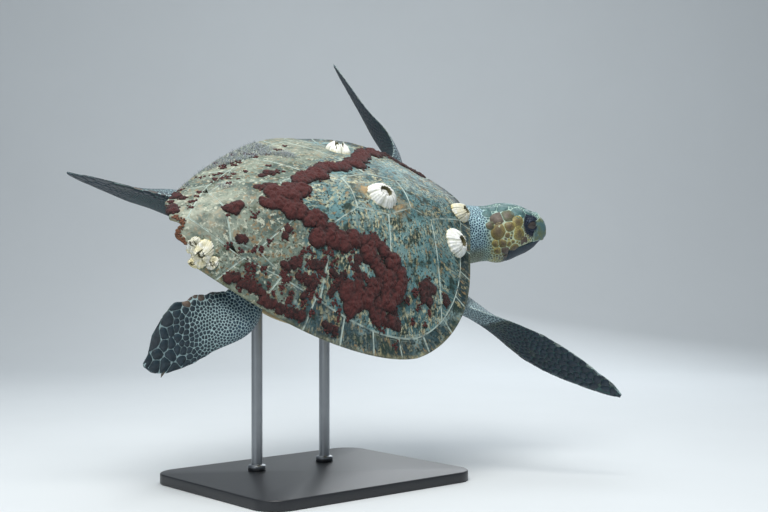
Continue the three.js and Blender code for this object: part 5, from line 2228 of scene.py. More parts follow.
@dataclass(frozen=True)
class Hide:
    """Spacing and colours of the scales over the body."""

    def is_bare(self, points: Array, region: Array) -> Array:
        """Where no scale grows: under horn and shell, and round the eyes.

        Args:
            points: Places in the body frame.
            region: Number of each place's region.

        Returns:
            True where none grows.
        """
        s, y = SHELL.plan_of(points)
        inside = (np.abs(y) < SHELL.half_width(s) - 0.004) & (s > 0.01) & (s < 0.93)
        safe_s, safe_y = np.clip(s, 0.02, 0.97), np.clip(y, -0.42, 0.42)
        over = np.sum((points - SHELL.face(safe_s, safe_y)) * SHELL.normal(safe_s, safe_y), axis=-1)
        covered = inside & (over > -22.5 * MM)
        belly = TRUNK.belly(safe_s, safe_y)[..., 2]
        plate = np.abs(y) < PLASTRON.half(s) - 0.005
        plate &= (s > PLASTRON.front + 0.005) & (s < PLASTRON.rear - 0.005)
        covered |= plate & (points[..., 2] < belly + 20 * MM)
        local = HEAD.from_body(points)
        over_mouth = local[..., 2] - HEAD.mouth(local[..., 0])
        near_head = (region == 0) & (local[..., 0] > 0)
        rise = ease(local[..., 2], 10 * MM, 46 * MM)
        covered |= near_head & (local[..., 0] > HEAD.beak_start(rise) - 2 * MM) & (over_mouth > -4 * MM)
        covered |= near_head & (local[..., 0] > HEAD.jaw_back - 2 * MM) & (over_mouth < 2.0 * MM)
        for side in (1, -1):
            centre, axes = HEAD.eye_frame(side)
            away = (local - centre) @ axes.T
            covered |= near_head & (np.hypot(away[..., 0], away[..., 1]) < 15.5 * MM) & (away[..., 2] > 0)
        return covered

    def spacing(self, points: Array, region: Array, along: Array, around: Array) -> Array:
        """Distance between neighbouring scales.

        Args:
            points: Places in the body frame.
            region: Number of each place's region.
            along: Shares along the region.
            around: Shares round the region.

        Returns:
            Distances in metres.
        """
        local = HEAD.from_body(points)
        on_head = ease(local[..., 0], -10 * MM, 8 * MM)
        head = mix(6.4, mix(6.6, 3.6, bell(HEAD.from_eyes(local), 0.027)), on_head)
        edge = np.minimum(around, 1 - around)
        leading = 1 + 0.45 * ease(edge, 0.16, 0.06) - 0.25 * ease(edge, 0.40, 0.47)
        front = mix(7.5, 17.0, ease(along, 0.2, 0.7)) * leading * (1 - 0.35 * ease(along, 0.9, 1.0))
        outer = 1 + 0.9 * ease(edge, 0.34, 0.42) * ease(along, 0.15, 0.4)
        hind = mix(7.0, 24.0, ease(along, 0.40, 0.85)) * outer * (1 + 0.25 * ease(edge, 0.14, 0.06))
        table = [head, head * 0 + 9.0, front, front, hind, hind, head * 0 + 7.0]
        return np.choose(region, table) * MM

    def upper(self, region: Array, around: Array) -> Array:
        """1 on a flipper's upper face and 0 on its lower face.

        Args:
            region: Number of each place's region.
            around: Shares round the region.

        Returns:
            1 to 0.
        """
        first = ease(np.minimum(around, 1 - around) * np.where(around < 0.5, 1, -1), -0.02, 0.02)
        first = np.where(np.minimum(around, 1 - around) > 0.46, ease(0.5 - around, -0.02, 0.02), first)
        left = (region == 3) | (region == 5)
        return np.where(left, 1 - first, first)

    def tones(self, points: Array, region: Array, along: Array, around: Array,
              chance: Array) -> tuple[Array, Array]:
        """Colours of the hide, with painted shade under the flippers, on the lower jaw and round the eyes.

        Args:
            points: Places in the body frame.
            region: Number of the region of each place.
            along: Share along the region.
            around: Share round the region.
            chance: A number from 0 to 1 of each scale's own.

        Returns:
            The colour of a scale's middle, and that of the net between the scales.
        """
        local = HEAD.from_body(points)
        column = chance[..., None]
        cloud = fractal(points, 0.05, 91)[..., None]
        below = ease(local[..., 2], -18 * MM, -48 * MM)[..., None]
        dot = mix(Hue.NECK_DOT.colour(), Hue.CROWN.colour(), ease(column, 0.6, 1.0) * 0.6)
        neck = mix(dot, Hue.THROAT.colour() * 0.55, below * 0.8)
        neck_net = mix(Hue.NECK_NET.colour(), Hue.THROAT.colour(), below * 0.8)
        crown = mix(Hue.CROWN.colour(), Hue.NECK_DOT.colour(), 0.45 * ease(column, 0.5, 1.0))
        picks = np.stack([Hue.OCHRE.colour(), Hue.BROWN.colour(), Hue.YELLOW.colour(), Hue.MOSS.colour()])
        cheek = picks[np.minimum((chance * 4).astype(int), 3)]
        side = ease(np.abs(local[..., 1]), 44 * MM, 54 * MM) * ease(local[..., 2], 44 * MM, 32 * MM)
        side = np.maximum(side, ease(local[..., 2], -20 * MM, -34 * MM))
        side = (side * ease(local[..., 0], -12 * MM, 14 * MM))[..., None]
        on_head = ease(local[..., 0], -25 * MM, 5 * MM)[..., None]
        head = mix(neck, mix(crown, cheek, side), on_head)
        head_net = mix(neck_net, mix(Hue.CROWN_NET.colour(), Hue.CHEEK_NET.colour(), side), on_head)
        # Painted shade: the skin round each eye darkens for the shade round it.
        lid = ease(HEAD.from_eyes(local), 33 * MM, 27 * MM) * ease(local[..., 0], 56 * MM, 72 * MM)
        # Painted shade: the skin below the mouth's line darkens to the jaw's shade colour.
        jaw = ease(local[..., 2] - HEAD.mouth(local[..., 0]), 1 * MM, -3 * MM)
        jaw = jaw * ease(local[..., 0], 20 * MM, 50 * MM)
        # Both are painted shade, laid over the head's colour and, brighter, over its net.
        for hue, net_gain, share in ((Hue.DARK_LID, 1.6, lid), (Hue.JAW, 1.5, jaw)):
            head = mix(head, hue.colour(), share[..., None])
            head_net = mix(head_net, hue.colour() * net_gain, share[..., None])
        spread = np.where(region == 2, 0.36 * ease(along, 0.39, 0.21), 0.0)
        upper = np.maximum(self.upper(region, around), self.upper(region, (around - spread) % 1.0))[..., None]
        root = ease(along, 0.42, 0.16)[..., None]
        edge = np.minimum(around, 1 - around)
        hind = region >= 4
        rust = np.where(hind, bell(along - 0.52, 0.22) * ease(edge, 0.36, 0.42),
                        bell(along - 0.42, 0.14) * ease(edge, 0.1, 0.03))
        rust = rust[..., None] * ease(column, 0.15, 0.5)
        tail_edge = (ease(edge, 0.455, 0.49) * np.where(hind, 0.0, 0.6))[..., None]
        dorsal = mix(Hue.SLATE.colour(), Hue.RUST.colour(), rust * 0.8)
        dorsal = mix(dorsal, Hue.NECK_DOT.colour(), root * 0.6) * (1 + 0.35 * cloud)
        dorsal = mix(dorsal, Hue.PALE_ROOT.colour() * 0.6, 0.45 * root * (region == 2)[..., None])
        dorsal_net = mix(Hue.SLATE_NET.colour(), Hue.PALE_ROOT.colour(), root)
        # Painted shade: a flipper's lower face is dark navy, a little mossy, for the shade under it.
        shaded_underside = mix(Hue.NAVY.colour(), Hue.MOSS.colour(), 0.20 * ease(cloud, 0.1, 0.5))
        flipper = mix(shaded_underside, dorsal, upper)
        shaded_underside_net = mix(Hue.NAVY_NET.colour(), Hue.MOSS.colour(), 0.5 * ease(cloud, 0, 0.5))
        flipper_net = mix(shaded_underside_net, dorsal_net, upper)
        flipper = mix(flipper, Hue.EDGE.colour(), tail_edge * 0.75)
        flipper_net = mix(flipper_net, Hue.EDGE.colour(), tail_edge)
        trunk = mix(Hue.TRUNK.colour() * 0.55, Hue.MOSS.colour() * 0.6, ease(column, 0.3, 0.9))
        trunk_net = np.broadcast_to(Hue.TRUNK.colour(), trunk.shape)
        limb = ((region >= 2) & (region <= 5))[..., None]
        main = np.where(limb, flipper, np.where((region == 0)[..., None], head, trunk))
        net = np.where(limb, flipper_net, np.where((region == 0)[..., None], head_net, trunk_net))
        gain = 1 + 0.28 * (column - 0.5)
        main = main * gain
        main[..., 3] = net[..., 3] = 1.0
        return main, net


HIDE = Hide()


@dataclass(frozen=True)
class Shield:
    """One pair of the head's large scales: station, angle from the side, radius and colour."""

    station: float
    angle: float
    radius: float
    hue: Hue


SHIELDS = (
    Shield(60, 90, 20, Hue.CROWN), Shield(92, 90, 12, Hue.CROWN), Shield(34, 72, 16, Hue.CROWN),
    Shield(12, 76, 14, Hue.CROWN), Shield(76, 57, 16, Hue.CROWN), Shield(103, 69, 11, Hue.CROWN),
    Shield(111, 90, 8, Hue.CROWN), Shield(-6, 58, 11, Hue.CROWN), Shield(-8, 84, 10, Hue.CROWN),
    Shield(17, 40, 18, Hue.BROWN), Shield(44, 46, 18, Hue.MOSS), Shield(72, 29, 12, Hue.YELLOW),
    Shield(47, 19, 11.5, Hue.OCHRE), Shield(19, 9, 17, Hue.OCHRE), Shield(72, 3, 14.5, Hue.YELLOW),
    Shield(42, 2, 6.5, Hue.OCHRE), Shield(32, -9, 9.5, Hue.OCHRE), Shield(47, -10, 6.5, Hue.YELLOW),
    Shield(56, -7, 4.5, Hue.YELLOW), Shield(88, -11, 10.5, Hue.BROWN), Shield(62, -20, 11.5, Hue.OCHRE),
    Shield(38, -23, 9, Hue.BROWN), Shield(42, -38, 6, Hue.BROWN), Shield(12, -11, 8, Hue.YELLOW),
    # The small dark dot at station 50.5 takes the jaw's painted shade colour.
    Shield(18, -24, 9, Hue.YELLOW), Shield(50.5, -1.5, 2.6, Hue.JAW), Shield(-3, 22, 9, Hue.MOSS))


@dataclass(frozen=True)
class ScaleFinish(Finish):
    """Horny scales: the colour they carry, painted shade included, paler at the rim."""

    def paint(self, graph: Graph, surface: bpy.types.Node) -> None:
        """A dark heart, the colour that the scale carries (with painted shade under the flippers, on the
        lower jaw and round the eyes) and the net between scales.

        Args:
            graph: The material's graph.
            surface: The material's surface shader.
        """
        place = graph.place()
        uneven = graph.span(graph.noise(place, 420.0, 2.0), 0.2, 0.8, -0.14, 0.14)
        level = graph.calc("ADD", graph.value("rim"), uneven)
        middle = graph.times(graph.span(level, 0.05, 0.42, 0.85, 0.0), graph.value("heart"))
        body = graph.blend(middle, graph.tint("tint"), srgb(84, 70, 60))
        body = graph.blend(graph.span(level, 0.48, 0.80), body, graph.tint("net"))
        graph.feed(surface.inputs["Base Color"], self.mottled(graph, body, place, 160.0, 0.28))
        self.relief(graph, surface, place, 900.0, 0.3, 0.0003)


class Scales:
    """The coat of scales over the skin, laid out evenly and formed one by one."""

    large_radius: float = 4.6 * MM
    small_sides: int = 9
    large_sides: int = 14

    def __init__(self, skin: Skin) -> None:
        """Scatters the scales over the skin and settles them.

        Args:
            skin: The finished skin.
        """
        self.skin = skin
        self.chance = np.random.default_rng(11)
        corners = skin.form.points[skin.triangles]
        crossed = np.cross(corners[:, 1] - corners[:, 0], corners[:, 2] - corners[:, 0])
        self.face_normals = unit(crossed)
        area = np.linalg.norm(crossed, axis=1) / 2
        region, along, around = Skin.shares(skin.triangle_patch.mean(axis=1))
        middle = corners.mean(axis=1)
        spacing = HIDE.spacing(middle, region, along, around)
        weight = np.where(HIDE.is_bare(middle, region), 0.0, area / (0.90 * spacing ** 2))
        self.share = weight / weight.sum()
        self.corners = corners
        fixed, self.fixed_radii, self.hues = self.shields()
        self.fixed = len(fixed)
        self.points = np.concatenate([fixed, self.scatter(int(weight.sum()))])
        self.land()
        for rounds in (3, 2, 2, 1):
            for _ in range(rounds):
                self.settle()
            self.even_out()
        self.clear_shields()

    def scatter(self, count: int) -> Array:
        """Places scattered over the skin, as many to a stretch of it as its scales need.

        Args:
            count: How many are wanted.

        Returns:
            The places.
        """
        picked = self.chance.choice(len(self.share), count, p=self.share)
        mixing = self.chance.dirichlet((1, 1, 1), count)
        return np.einsum("nk,nkc->nc", mixing, self.corners[picked])

    def even_out(self) -> None:
        """Drops scales that crowd each other and sets new ones in the bare spots."""
        near = self.neighbours(6)
        length = np.linalg.norm(self.points[:, None] - self.points[near], axis=-1)
        close = length < 0.74 * (self.radius[:, None] + self.radius[near])
        facing = np.einsum("nc,nkc->nk", self.normals, self.normals[near]) > 0.1
        crowded = (close & facing & (near < np.arange(len(near))[:, None])).any(axis=1)
        crowded[:self.fixed] = False
        self.points = self.points[~crowded]
        self.land()
        kept = len(self.points)
        self.points = np.concatenate([self.points, self.scatter(3 * kept)])
        self.land()
        tree = place_tree(self.points)
        taken = np.zeros(len(self.points), bool)
        taken[:kept] = True
        places = self.points.tolist()
        for number in range(kept, len(places)):
            own = self.radius[number]
            hits = tree.find_range(places[number], 2.4 * own)
            taken[number] = all(not taken[hit[1]] or hit[2] > 0.92 * (own + self.radius[hit[1]])
                                or np.dot(self.normals[number], self.normals[hit[1]]) < 0.1 for hit in hits)
        self.points = self.points[taken]
        self.land()

    @staticmethod
    def shields() -> tuple[Array, Array, Array]:
        """Places, radii and colours of the head's large scales.

        Returns:
            Places, radii and colours.
        """
        places, radii, hues = [], [], []
        for shield in SHIELDS:
            for angle in {shield.angle, 180 - shield.angle}:
                places.append(HEAD.surface(np.array(shield.station * MM), np.array(math.radians(angle))))
                radii.append(shield.radius * MM)
                hues.append(shield.hue.colour())
        return HEAD.to_body(np.array(places)), np.array(radii), np.array(hues)

    def land(self) -> None:
        """Brings the scales down on the skin and reads what the skin is there."""
        self.face = np.zeros(len(self.points), int)
        for number, place in enumerate(self.points.tolist()):
            self.points[number], _, self.face[number], _ = self.skin.tree.find_nearest(place)
        self.normals = self.face_normals[self.face]
        self.patch = self.skin.triangle_patch[self.face].mean(axis=1)
        self.region, self.along, self.around = Skin.shares(self.patch)
        self.radius = HIDE.spacing(self.points, self.region, self.along, self.around) / 2
        self.radius[:self.fixed] = self.fixed_radii

    def neighbours(self, count: int) -> Array:
        """Numbers of the nearest scales of each scale.

        Args:
            count: How many are wanted.

        Returns:
            Numbers, nearest first.
        """
        tree = place_tree(self.points)
        return np.array([[hit[1] for hit in tree.find_n(place, count + 1)][1:]
                         for place in self.points.tolist()])

    def settle(self) -> None:
        """Pushes scales that crowd each other apart."""
        near = self.neighbours(9)
        away = self.points[:, None] - self.points[near]
        length = np.linalg.norm(away, axis=-1)
        wanted = (self.radius[:, None] + self.radius[near]) * 1.04
        same = np.einsum("nc,nkc->nk", self.normals, self.normals[near]) > 0.1
        push = np.clip(wanted - length, 0, None) * same * 0.33
        push = np.minimum(push, self.radius[:, None] * 0.5)
        step = (away / np.maximum(length, 1e-9)[..., None] * push[..., None]).sum(axis=1)
        step[:self.fixed] = 0
        self.points = self.points + step
        self.land()

    def clear_shields(self) -> None:
        """Drops the loose scales that have stayed within a named one."""
        away = np.linalg.norm(self.points[:, None] - self.points[None, :self.fixed], axis=-1)
        crowded = (away < 0.5 * self.radius[:, None] + 1.22 * self.radius[None, :self.fixed]).any(axis=1)
        crowded[:self.fixed] = False
        self.points = self.points[~crowded]
        self.land()

    def on_limb(self, chosen: Array) -> Array:
        """Whether each of the chosen scales is on a flipper."""
        return (self.region[chosen] >= 2) & (self.region[chosen] <= 5)

    def outlines(self, chosen: Array, near: Array, sides: int) -> tuple[Array, Array]:
        """Outlines of scales, each halfway to its neighbours with its corners rounded.

        Args:
            chosen: Numbers of the scales.
            near: Neighbours of every scale.
            sides: Corners of each outline.

        Returns:
            The outlines' places in space, and their distances from the scale's middle.
        """
        normals = self.normals[chosen]
        frames = upright_frames(normals, np.tile([0.31, 0.67, 0.55], (len(chosen), 1)))
        ahead, across = frames[:, 0], frames[:, 1]
        away = self.points[near[chosen]] - self.points[chosen][:, None]
        flat = np.stack([np.einsum("nkc,nc->nk", away, way) for way in (ahead, across)], axis=-1)
        length = np.linalg.norm(away, axis=-1)
        own, other = self.radius[chosen][:, None], self.radius[near[chosen]]
        same = np.einsum("nc,nkc->nk", normals, self.normals[near[chosen]]) > 0.1
        limit = length * own / (own + other)
        ways = circle(turns(sides))
        facing = np.einsum("nkc,ac->nka", flat / np.maximum(length, 1e-9)[..., None], ways)
        inverse = np.where((facing > 0.05) & same[..., None], facing / limit[..., None], 0.0)
        limb = self.on_limb(chosen)
        most = np.where(chosen < self.fixed, 1.6, np.where(limb, 1.9, 1.45))[:, None, None] * own[..., None]
        inverse = np.concatenate([inverse, np.broadcast_to(1 / most, inverse[:, :1].shape)], axis=1)
        reach = (np.sum(inverse ** 14, axis=1)) ** (-1 / 14) - np.where(limb, 0.35, 0.25)[:, None] * MM
        reach = np.maximum(reach, own * 0.35)
        flat = ways[None, :, :1] * ahead[:, None] + ways[None, :, 1:] * across[:, None]
        return reach[..., None] * flat, reach

    def plates(self, chosen: Array, near: Array, sides: int) -> Form:
        """Closed bevelled plates for the chosen scales.

        Args:
            chosen: Numbers of the scales.
            near: Neighbours of every scale.
            sides: Corners of each outline.

        Returns:
            All the plates as one form.
        """
        offset, reach = self.outlines(chosen, near, sides)
        centre, normal = self.points[chosen], self.normals[chosen]
        rim = (centre[:, None] + offset).reshape(-1, 3)
        rim = np.array([tuple(self.skin.tree.find_nearest(place)[0]) for place in rim.tolist()])
        rim = rim.reshape(offset.shape)
        size = self.radius[chosen]
        height = np.clip(0.13 * size, 0.45 * MM, 1.15 * MM)[:, None, None]
        bevel = np.clip(0.55 * MM / reach, 0.05, 0.3)[..., None]
        up = normal[:, None]
        outer = rim - up * 0.5 * MM
        top = mix(rim, centre[:, None], bevel) + up * height
        crown = centre[:, None] + up * height * 1.12
        root = centre[:, None] - up * 0.9 * MM
        points = np.concatenate([outer, top, crown, root], axis=1)
        count, length = len(chosen), 2 * sides + 2
        k = np.arange(sides)
        after = (k + 1) % sides
        bands = np.stack([k, after, after + sides, k + sides], axis=-1)
        caps = np.concatenate([
            np.stack([k + sides, after + sides, np.full(sides, 2 * sides)], axis=-1),
            np.stack([after, k, np.full(sides, 2 * sides + 1)], axis=-1)])
        shift = np.arange(count)[:, None, None] * length
        faces = [(run[None] + shift).reshape(-1, run.shape[1]) for run in (bands, caps)]
        chance = hashed(np.stack([chosen, chosen * 0, chosen * 0], axis=-1), 5)
        main, net = HIDE.tones(centre, self.region[chosen], self.along[chosen], self.around[chosen], chance)
        named = chosen < self.fixed
        main[named] = self.hues[chosen[named]]
        ring = circle(turns(sides)) * TUFT_PATCH
        local = np.concatenate([ring, ring * 0.7, np.zeros((2, 2))])
        patches = (self.patch[chosen][:, None] + local[None]).reshape(-1, 2)
        limb = self.on_limb(chosen)
        small = ease(self.radius[chosen], 6.5 * MM, 4.5 * MM)
        flat = np.where(named, 0.34, np.where(limb, mix(0.20, 0.52, small), 0.62))[:, None]
        one = np.ones((count, 1))
        level = np.concatenate([np.tile(one, sides), np.tile(flat, sides), 0 * one, one], axis=1)
        heart = named * (np.abs(HEAD.from_body(centre)[:, 1]) > 45 * MM) * 1.0
        values = {"tint": np.repeat(main, length, axis=0), "net": np.repeat(net, length, axis=0),
                  "rim": level.ravel(), "heart": np.repeat(heart, length)}
        return Form(points.reshape(-1, 3), faces, values, patches)

    def build(self) -> None:
        """Makes the pieces of the coat, one for each region and one more for the neck."""
        near = self.neighbours(12)
        finish = ScaleFinish("scales", 0.5)
        bare = HIDE.is_bare(self.points, self.region)
        bare[:self.fixed] &= HEAD.from_body(self.points[:self.fixed])[:, 2] < -30 * MM
        on_head = HEAD.from_body(self.points)[:, 0] > -20 * MM
        is_large = self.radius > self.large_radius
        for number, region in enumerate(Region):
            here = self.region == number
            parts = {"": here & on_head, "_neck": here & ~on_head} if region is Region.HEAD else {"": here}
            for suffix, mask in parts.items():
                mask = mask & ~bare
                groups = ((mask & ~is_large, self.small_sides), (mask & is_large, self.large_sides))
                forms = [self.plates(np.flatnonzero(group), near, sides) for group, sides in groups
                         if group.any()]
                piece(f"scales_{region.name.lower()}{suffix}", Form.joined(forms), finish)


# ---------------------------------------------------------------- horn, eyes and claws
@dataclass(frozen=True)
class HornFinish(Finish):
    """Smooth horn with a second tone in clouds and a rim of its own."""

    main: tuple[int, int, int] = (80, 112, 116)
    cloud: tuple[int, int, int] = (104, 116, 78)
    rim: tuple[int, int, int] = (160, 182, 170)

    def paint(self, graph: Graph, surface: bpy.types.Node) -> None:
        """Clouds of the second tone, streaks of wear and a pale free edge.

        Args:
            graph: The material's graph.
            surface: The material's surface shader.
        """
        place = graph.place()
        clouded = graph.cloud(place, 55.0, 0.42, 0.62, 4.0, 0.6)
        body = graph.blend(clouded, srgb(*self.main), srgb(*self.cloud))
        wear = self.flecks(graph, place, 190.0, 0.34, 0.1)
        body = graph.blend(graph.times(wear, 0.5), body, srgb(*self.rim))
        body = graph.blend(graph.span(graph.value("edge"), 0.0008, 0.0040, 0.9, 0.0), body, srgb(*self.rim))
        graph.feed(surface.inputs["Base Color"], body)
        self.relief(graph, surface, place, 500.0, 0.3, 0.0003)


@dataclass(frozen=True)
class Sheath:
    """Horn over the upper beak or over the lower jaw."""

    upper: bool
    thick: float = 3.0 * MM
    proud: float = 0.9 * MM
    hook: float = 6.0 * MM
    chin: float = 147 * MM
    tip: tuple[tuple[float, ...], ...] = ((154, 10, 9, 14), (155.6, 0.8, -3, 8))

    def form(self) -> Form:
        """The sheath as a closed shell of horn, in the body frame.

        Returns:
            The closed form.
        """
        head = replace(HEAD, stations=HEAD.stations[:-1] + self.tip)
        rear = HEAD.beak_back if self.upper else HEAD.jaw_back
        front = self.tip[-1][0] * MM if self.upper else self.chin
        share = np.linspace(0, 1, 70)
        reach = 1 - (1 - share) ** 1.7
        x = rear + (front - rear) * reach
        size = hermite(x / MM, np.array(head.stations)) * MM
        hook = self.hook * ease(x, 126 * MM, 144 * MM)
        line = head.mouth(x) - hook + (0.3 if self.upper else -0.4) * MM
        sine = np.clip(-line / np.maximum(size[:, 2], 1e-4), 0.02, 0.985) ** (HEAD.power / 2)
        start = -np.arcsin(sine)
        k = np.linspace(0, 1, 90)[None]
        start = start[:, None]
        if self.upper:
            angle = mix(start, math.pi - start, k)
            begin = HEAD.beak_start(np.sin(angle))
            grid = head.surface(begin + (front - begin) * reach[:, None], angle)
        else:
            angle = mix(math.pi - start, 2 * math.pi + start, k)
            grid = head.surface(x[:, None], angle)
            close = np.sqrt(1 - 0.9 * ease(x, 122 * MM, self.chin + 12 * MM) ** 1.5)[:, None]
            back = grid[..., 0] - 5 * MM * ease(grid[..., 0], 0.09, 0.15)
            low = line[:, None] + (grid[..., 2] - line[:, None]) * close
            grid = np.stack([back, grid[..., 1] * close * 0.97, low], axis=-1)
        out = grid_normals(grid, False)
        middle = np.stack([grid[..., 0] - 8 * MM, grid[..., 1] * 0, grid[..., 2] * 0 - 5 * MM], axis=-1)
        away = np.sum(out * (grid - middle), axis=(-1, -2), keepdims=True)
        out = out * np.sign(away.sum(axis=0, keepdims=True))
        from_line = np.minimum(k, 1 - k) * (math.pi - 2 * start) * 0.04
        from_back = grid[..., 0] - grid[:1, :, 0]
        lift = self.proud * ease(from_back, -0.4 * MM, 1.6 * MM) * ease(from_line, -0.6 * MM, 1.4 * MM)
        if self.upper:
            for side in (1, -1):
                nostril = head.surface(np.array(146 * MM), np.array(math.pi / 2 + side * math.radians(35)))
                lift = lift - 3.0 * MM * bell(np.linalg.norm(grid - nostril, axis=-1), 2.1 * MM)
            lift = lift + 0.8 * MM * bell(from_line - 4 * MM, 3 * MM)
        lift = lift + 0.25 * MM * fractal(grid, 0.012, 121)
        outer = grid + out * lift[..., None]
        thick = self.thick * ease(size[:, 0], 0.5 * MM, 12 * MM) * 0.85 + 0.3 * MM
        form = slab(HEAD.to_body(outer), HEAD.to_body(grid - out * thick[:, None, None]))
        form.values["edge"] = np.tile(np.minimum(from_line, from_back + 1 * MM).ravel(), 2)
        return form


@dataclass(frozen=True)
class EyeFinish(Finish):
    """Dark wet eye: pupil, brown iris and dusky white."""

    def paint(self, graph: Graph, surface: bpy.types.Node) -> None:
        """Rings by the angle from the gaze, under a clear wet coat.

        Args:
            graph: The material's graph.
            surface: The material's surface shader.
        """
        polar = graph.value("polar")
        iris = graph.blend(graph.noise(graph.tint("streak"), 9.0, 3.0), srgb(12, 11, 11), srgb(34, 27, 20))
        body = graph.blend(graph.span(polar, 16.0, 19.0), srgb(3, 4, 6), iris)
        body = graph.blend(graph.span(polar, 31.0, 35.0), body, srgb(22, 28, 40))
        graph.feed(surface.inputs["Base Color"], body)
        surface.inputs["Specular IOR Level"].default_value = 0.2
        surface.inputs["Coat Weight"].default_value = 0.9
        surface.inputs["Coat Roughness"].default_value = 0.03


@dataclass(frozen=True)
class Eye:
    """An eyeball with its clear bulge."""

    side: int

    def build(self) -> None:
        """Makes the eye's piece."""
        centre, axes = HEAD.eye_frame(self.side)
        polar = np.linspace(0, math.pi, 46)[:, None] * np.ones((1, 64))
        turn = turns(64)[None] * np.ones((46, 1))
        polar[0] += 0.01
        polar[-1] -= 0.01
        radius = HEAD.eye_radius - 0.6 * MM + 0.9 * MM * bell(polar, 0.5)
        local = np.stack([np.sin(polar) * np.cos(turn), np.sin(polar) * np.sin(turn), np.cos(polar)], axis=-1)
        form = loft(HEAD.to_body(centre + (local * radius[..., None]) @ axes))
        form.values["polar"] = np.concatenate([np.degrees(polar).ravel(), [0.0, 180.0]])
        streak = np.stack([np.cos(turn) * 3, np.sin(turn) * 3, polar * 0.6], axis=-1).reshape(-1, 3)
        form.values["streak"] = np.concatenate([streak, np.zeros((2, 3))])
        word = "left" if self.side > 0 else "right"
        piece(f"eyeball_{word}", form, EyeFinish("eye", 0.08), (f"eye_{word}",))


@dataclass(frozen=True)
class Claws:
    """The claws on the flippers' leading edges."""

    radius: float = 4.5 * MM
    length: float = 13 * MM

    def build(self) -> None:
        """Makes every claw's piece."""
        finish = HornFinish("claw horn", 0.4, (70, 66, 58), (96, 88, 70), (150, 140, 116))
        for flipper in FLIPPERS:
            for number, share in enumerate(flipper.claws):
                centre, ahead, lead, normal = (value[0] for value in flipper.frames(np.array([share])))
                reach = hermite(np.array([share]), flipper.blade())[0, 0] * MM
                root = centre + lead * (reach - 7 * MM)
                way = unit(lead + 0.7 * ahead)
                side = unit(np.cross(normal, way))
                t = np.linspace(0, 1, 18)[:, None]
                axis = root + way * t * self.length + ahead * (t ** 2) * 4 * MM
                turn = turns(24)[None]
                wide = self.radius * (1 - t ** 1.6) + 0.25 * MM
                rings = (axis[:, None] + (np.cos(turn) * wide)[..., None] * side
                         + (np.sin(turn) * wide * 0.75)[..., None] * normal)
                form = loft(rings)
                form.values["edge"] = np.full(len(form.points), 0.01)
                piece(f"claw_{flipper.name}_{number + 1}", form, finish)


# ---------------------------------------------------------------- what grows on the shell
@dataclass(frozen=True)
class BarnacleFinish(Finish):
    """Chalky ribbed shell, yellower in the hollows, with an olive mouth."""

    def paint(self, graph: Graph, surface: bpy.types.Node) -> None:
        """White ribs, yellow or grey grooves and a dark mouth.

        Args:
            graph: The material's graph.
            surface: The material's surface shader.
        """
        place = graph.place()
        clouded = graph.cloud(place, 120.0, 0.35, 0.65, 4.0, 0.6)
        chalk = graph.blend(clouded, srgb(246, 248, 246), srgb(220, 222, 214))
        yellow = graph.times(graph.value("yellow"), graph.cloud(place, 70.0, 0.3, 0.6))
        chalk = graph.blend(yellow, chalk, srgb(216, 200, 128))
        chalk = graph.blend(graph.times(graph.value("groove"), 0.6), chalk, srgb(136, 140, 116))
        chalk = graph.blend(graph.value("mouth"), chalk, srgb(74, 70, 40))
        graph.feed(surface.inputs["Base Color"], chalk)
        self.relief(graph, surface, place, 600.0, 0.4, 0.0005)


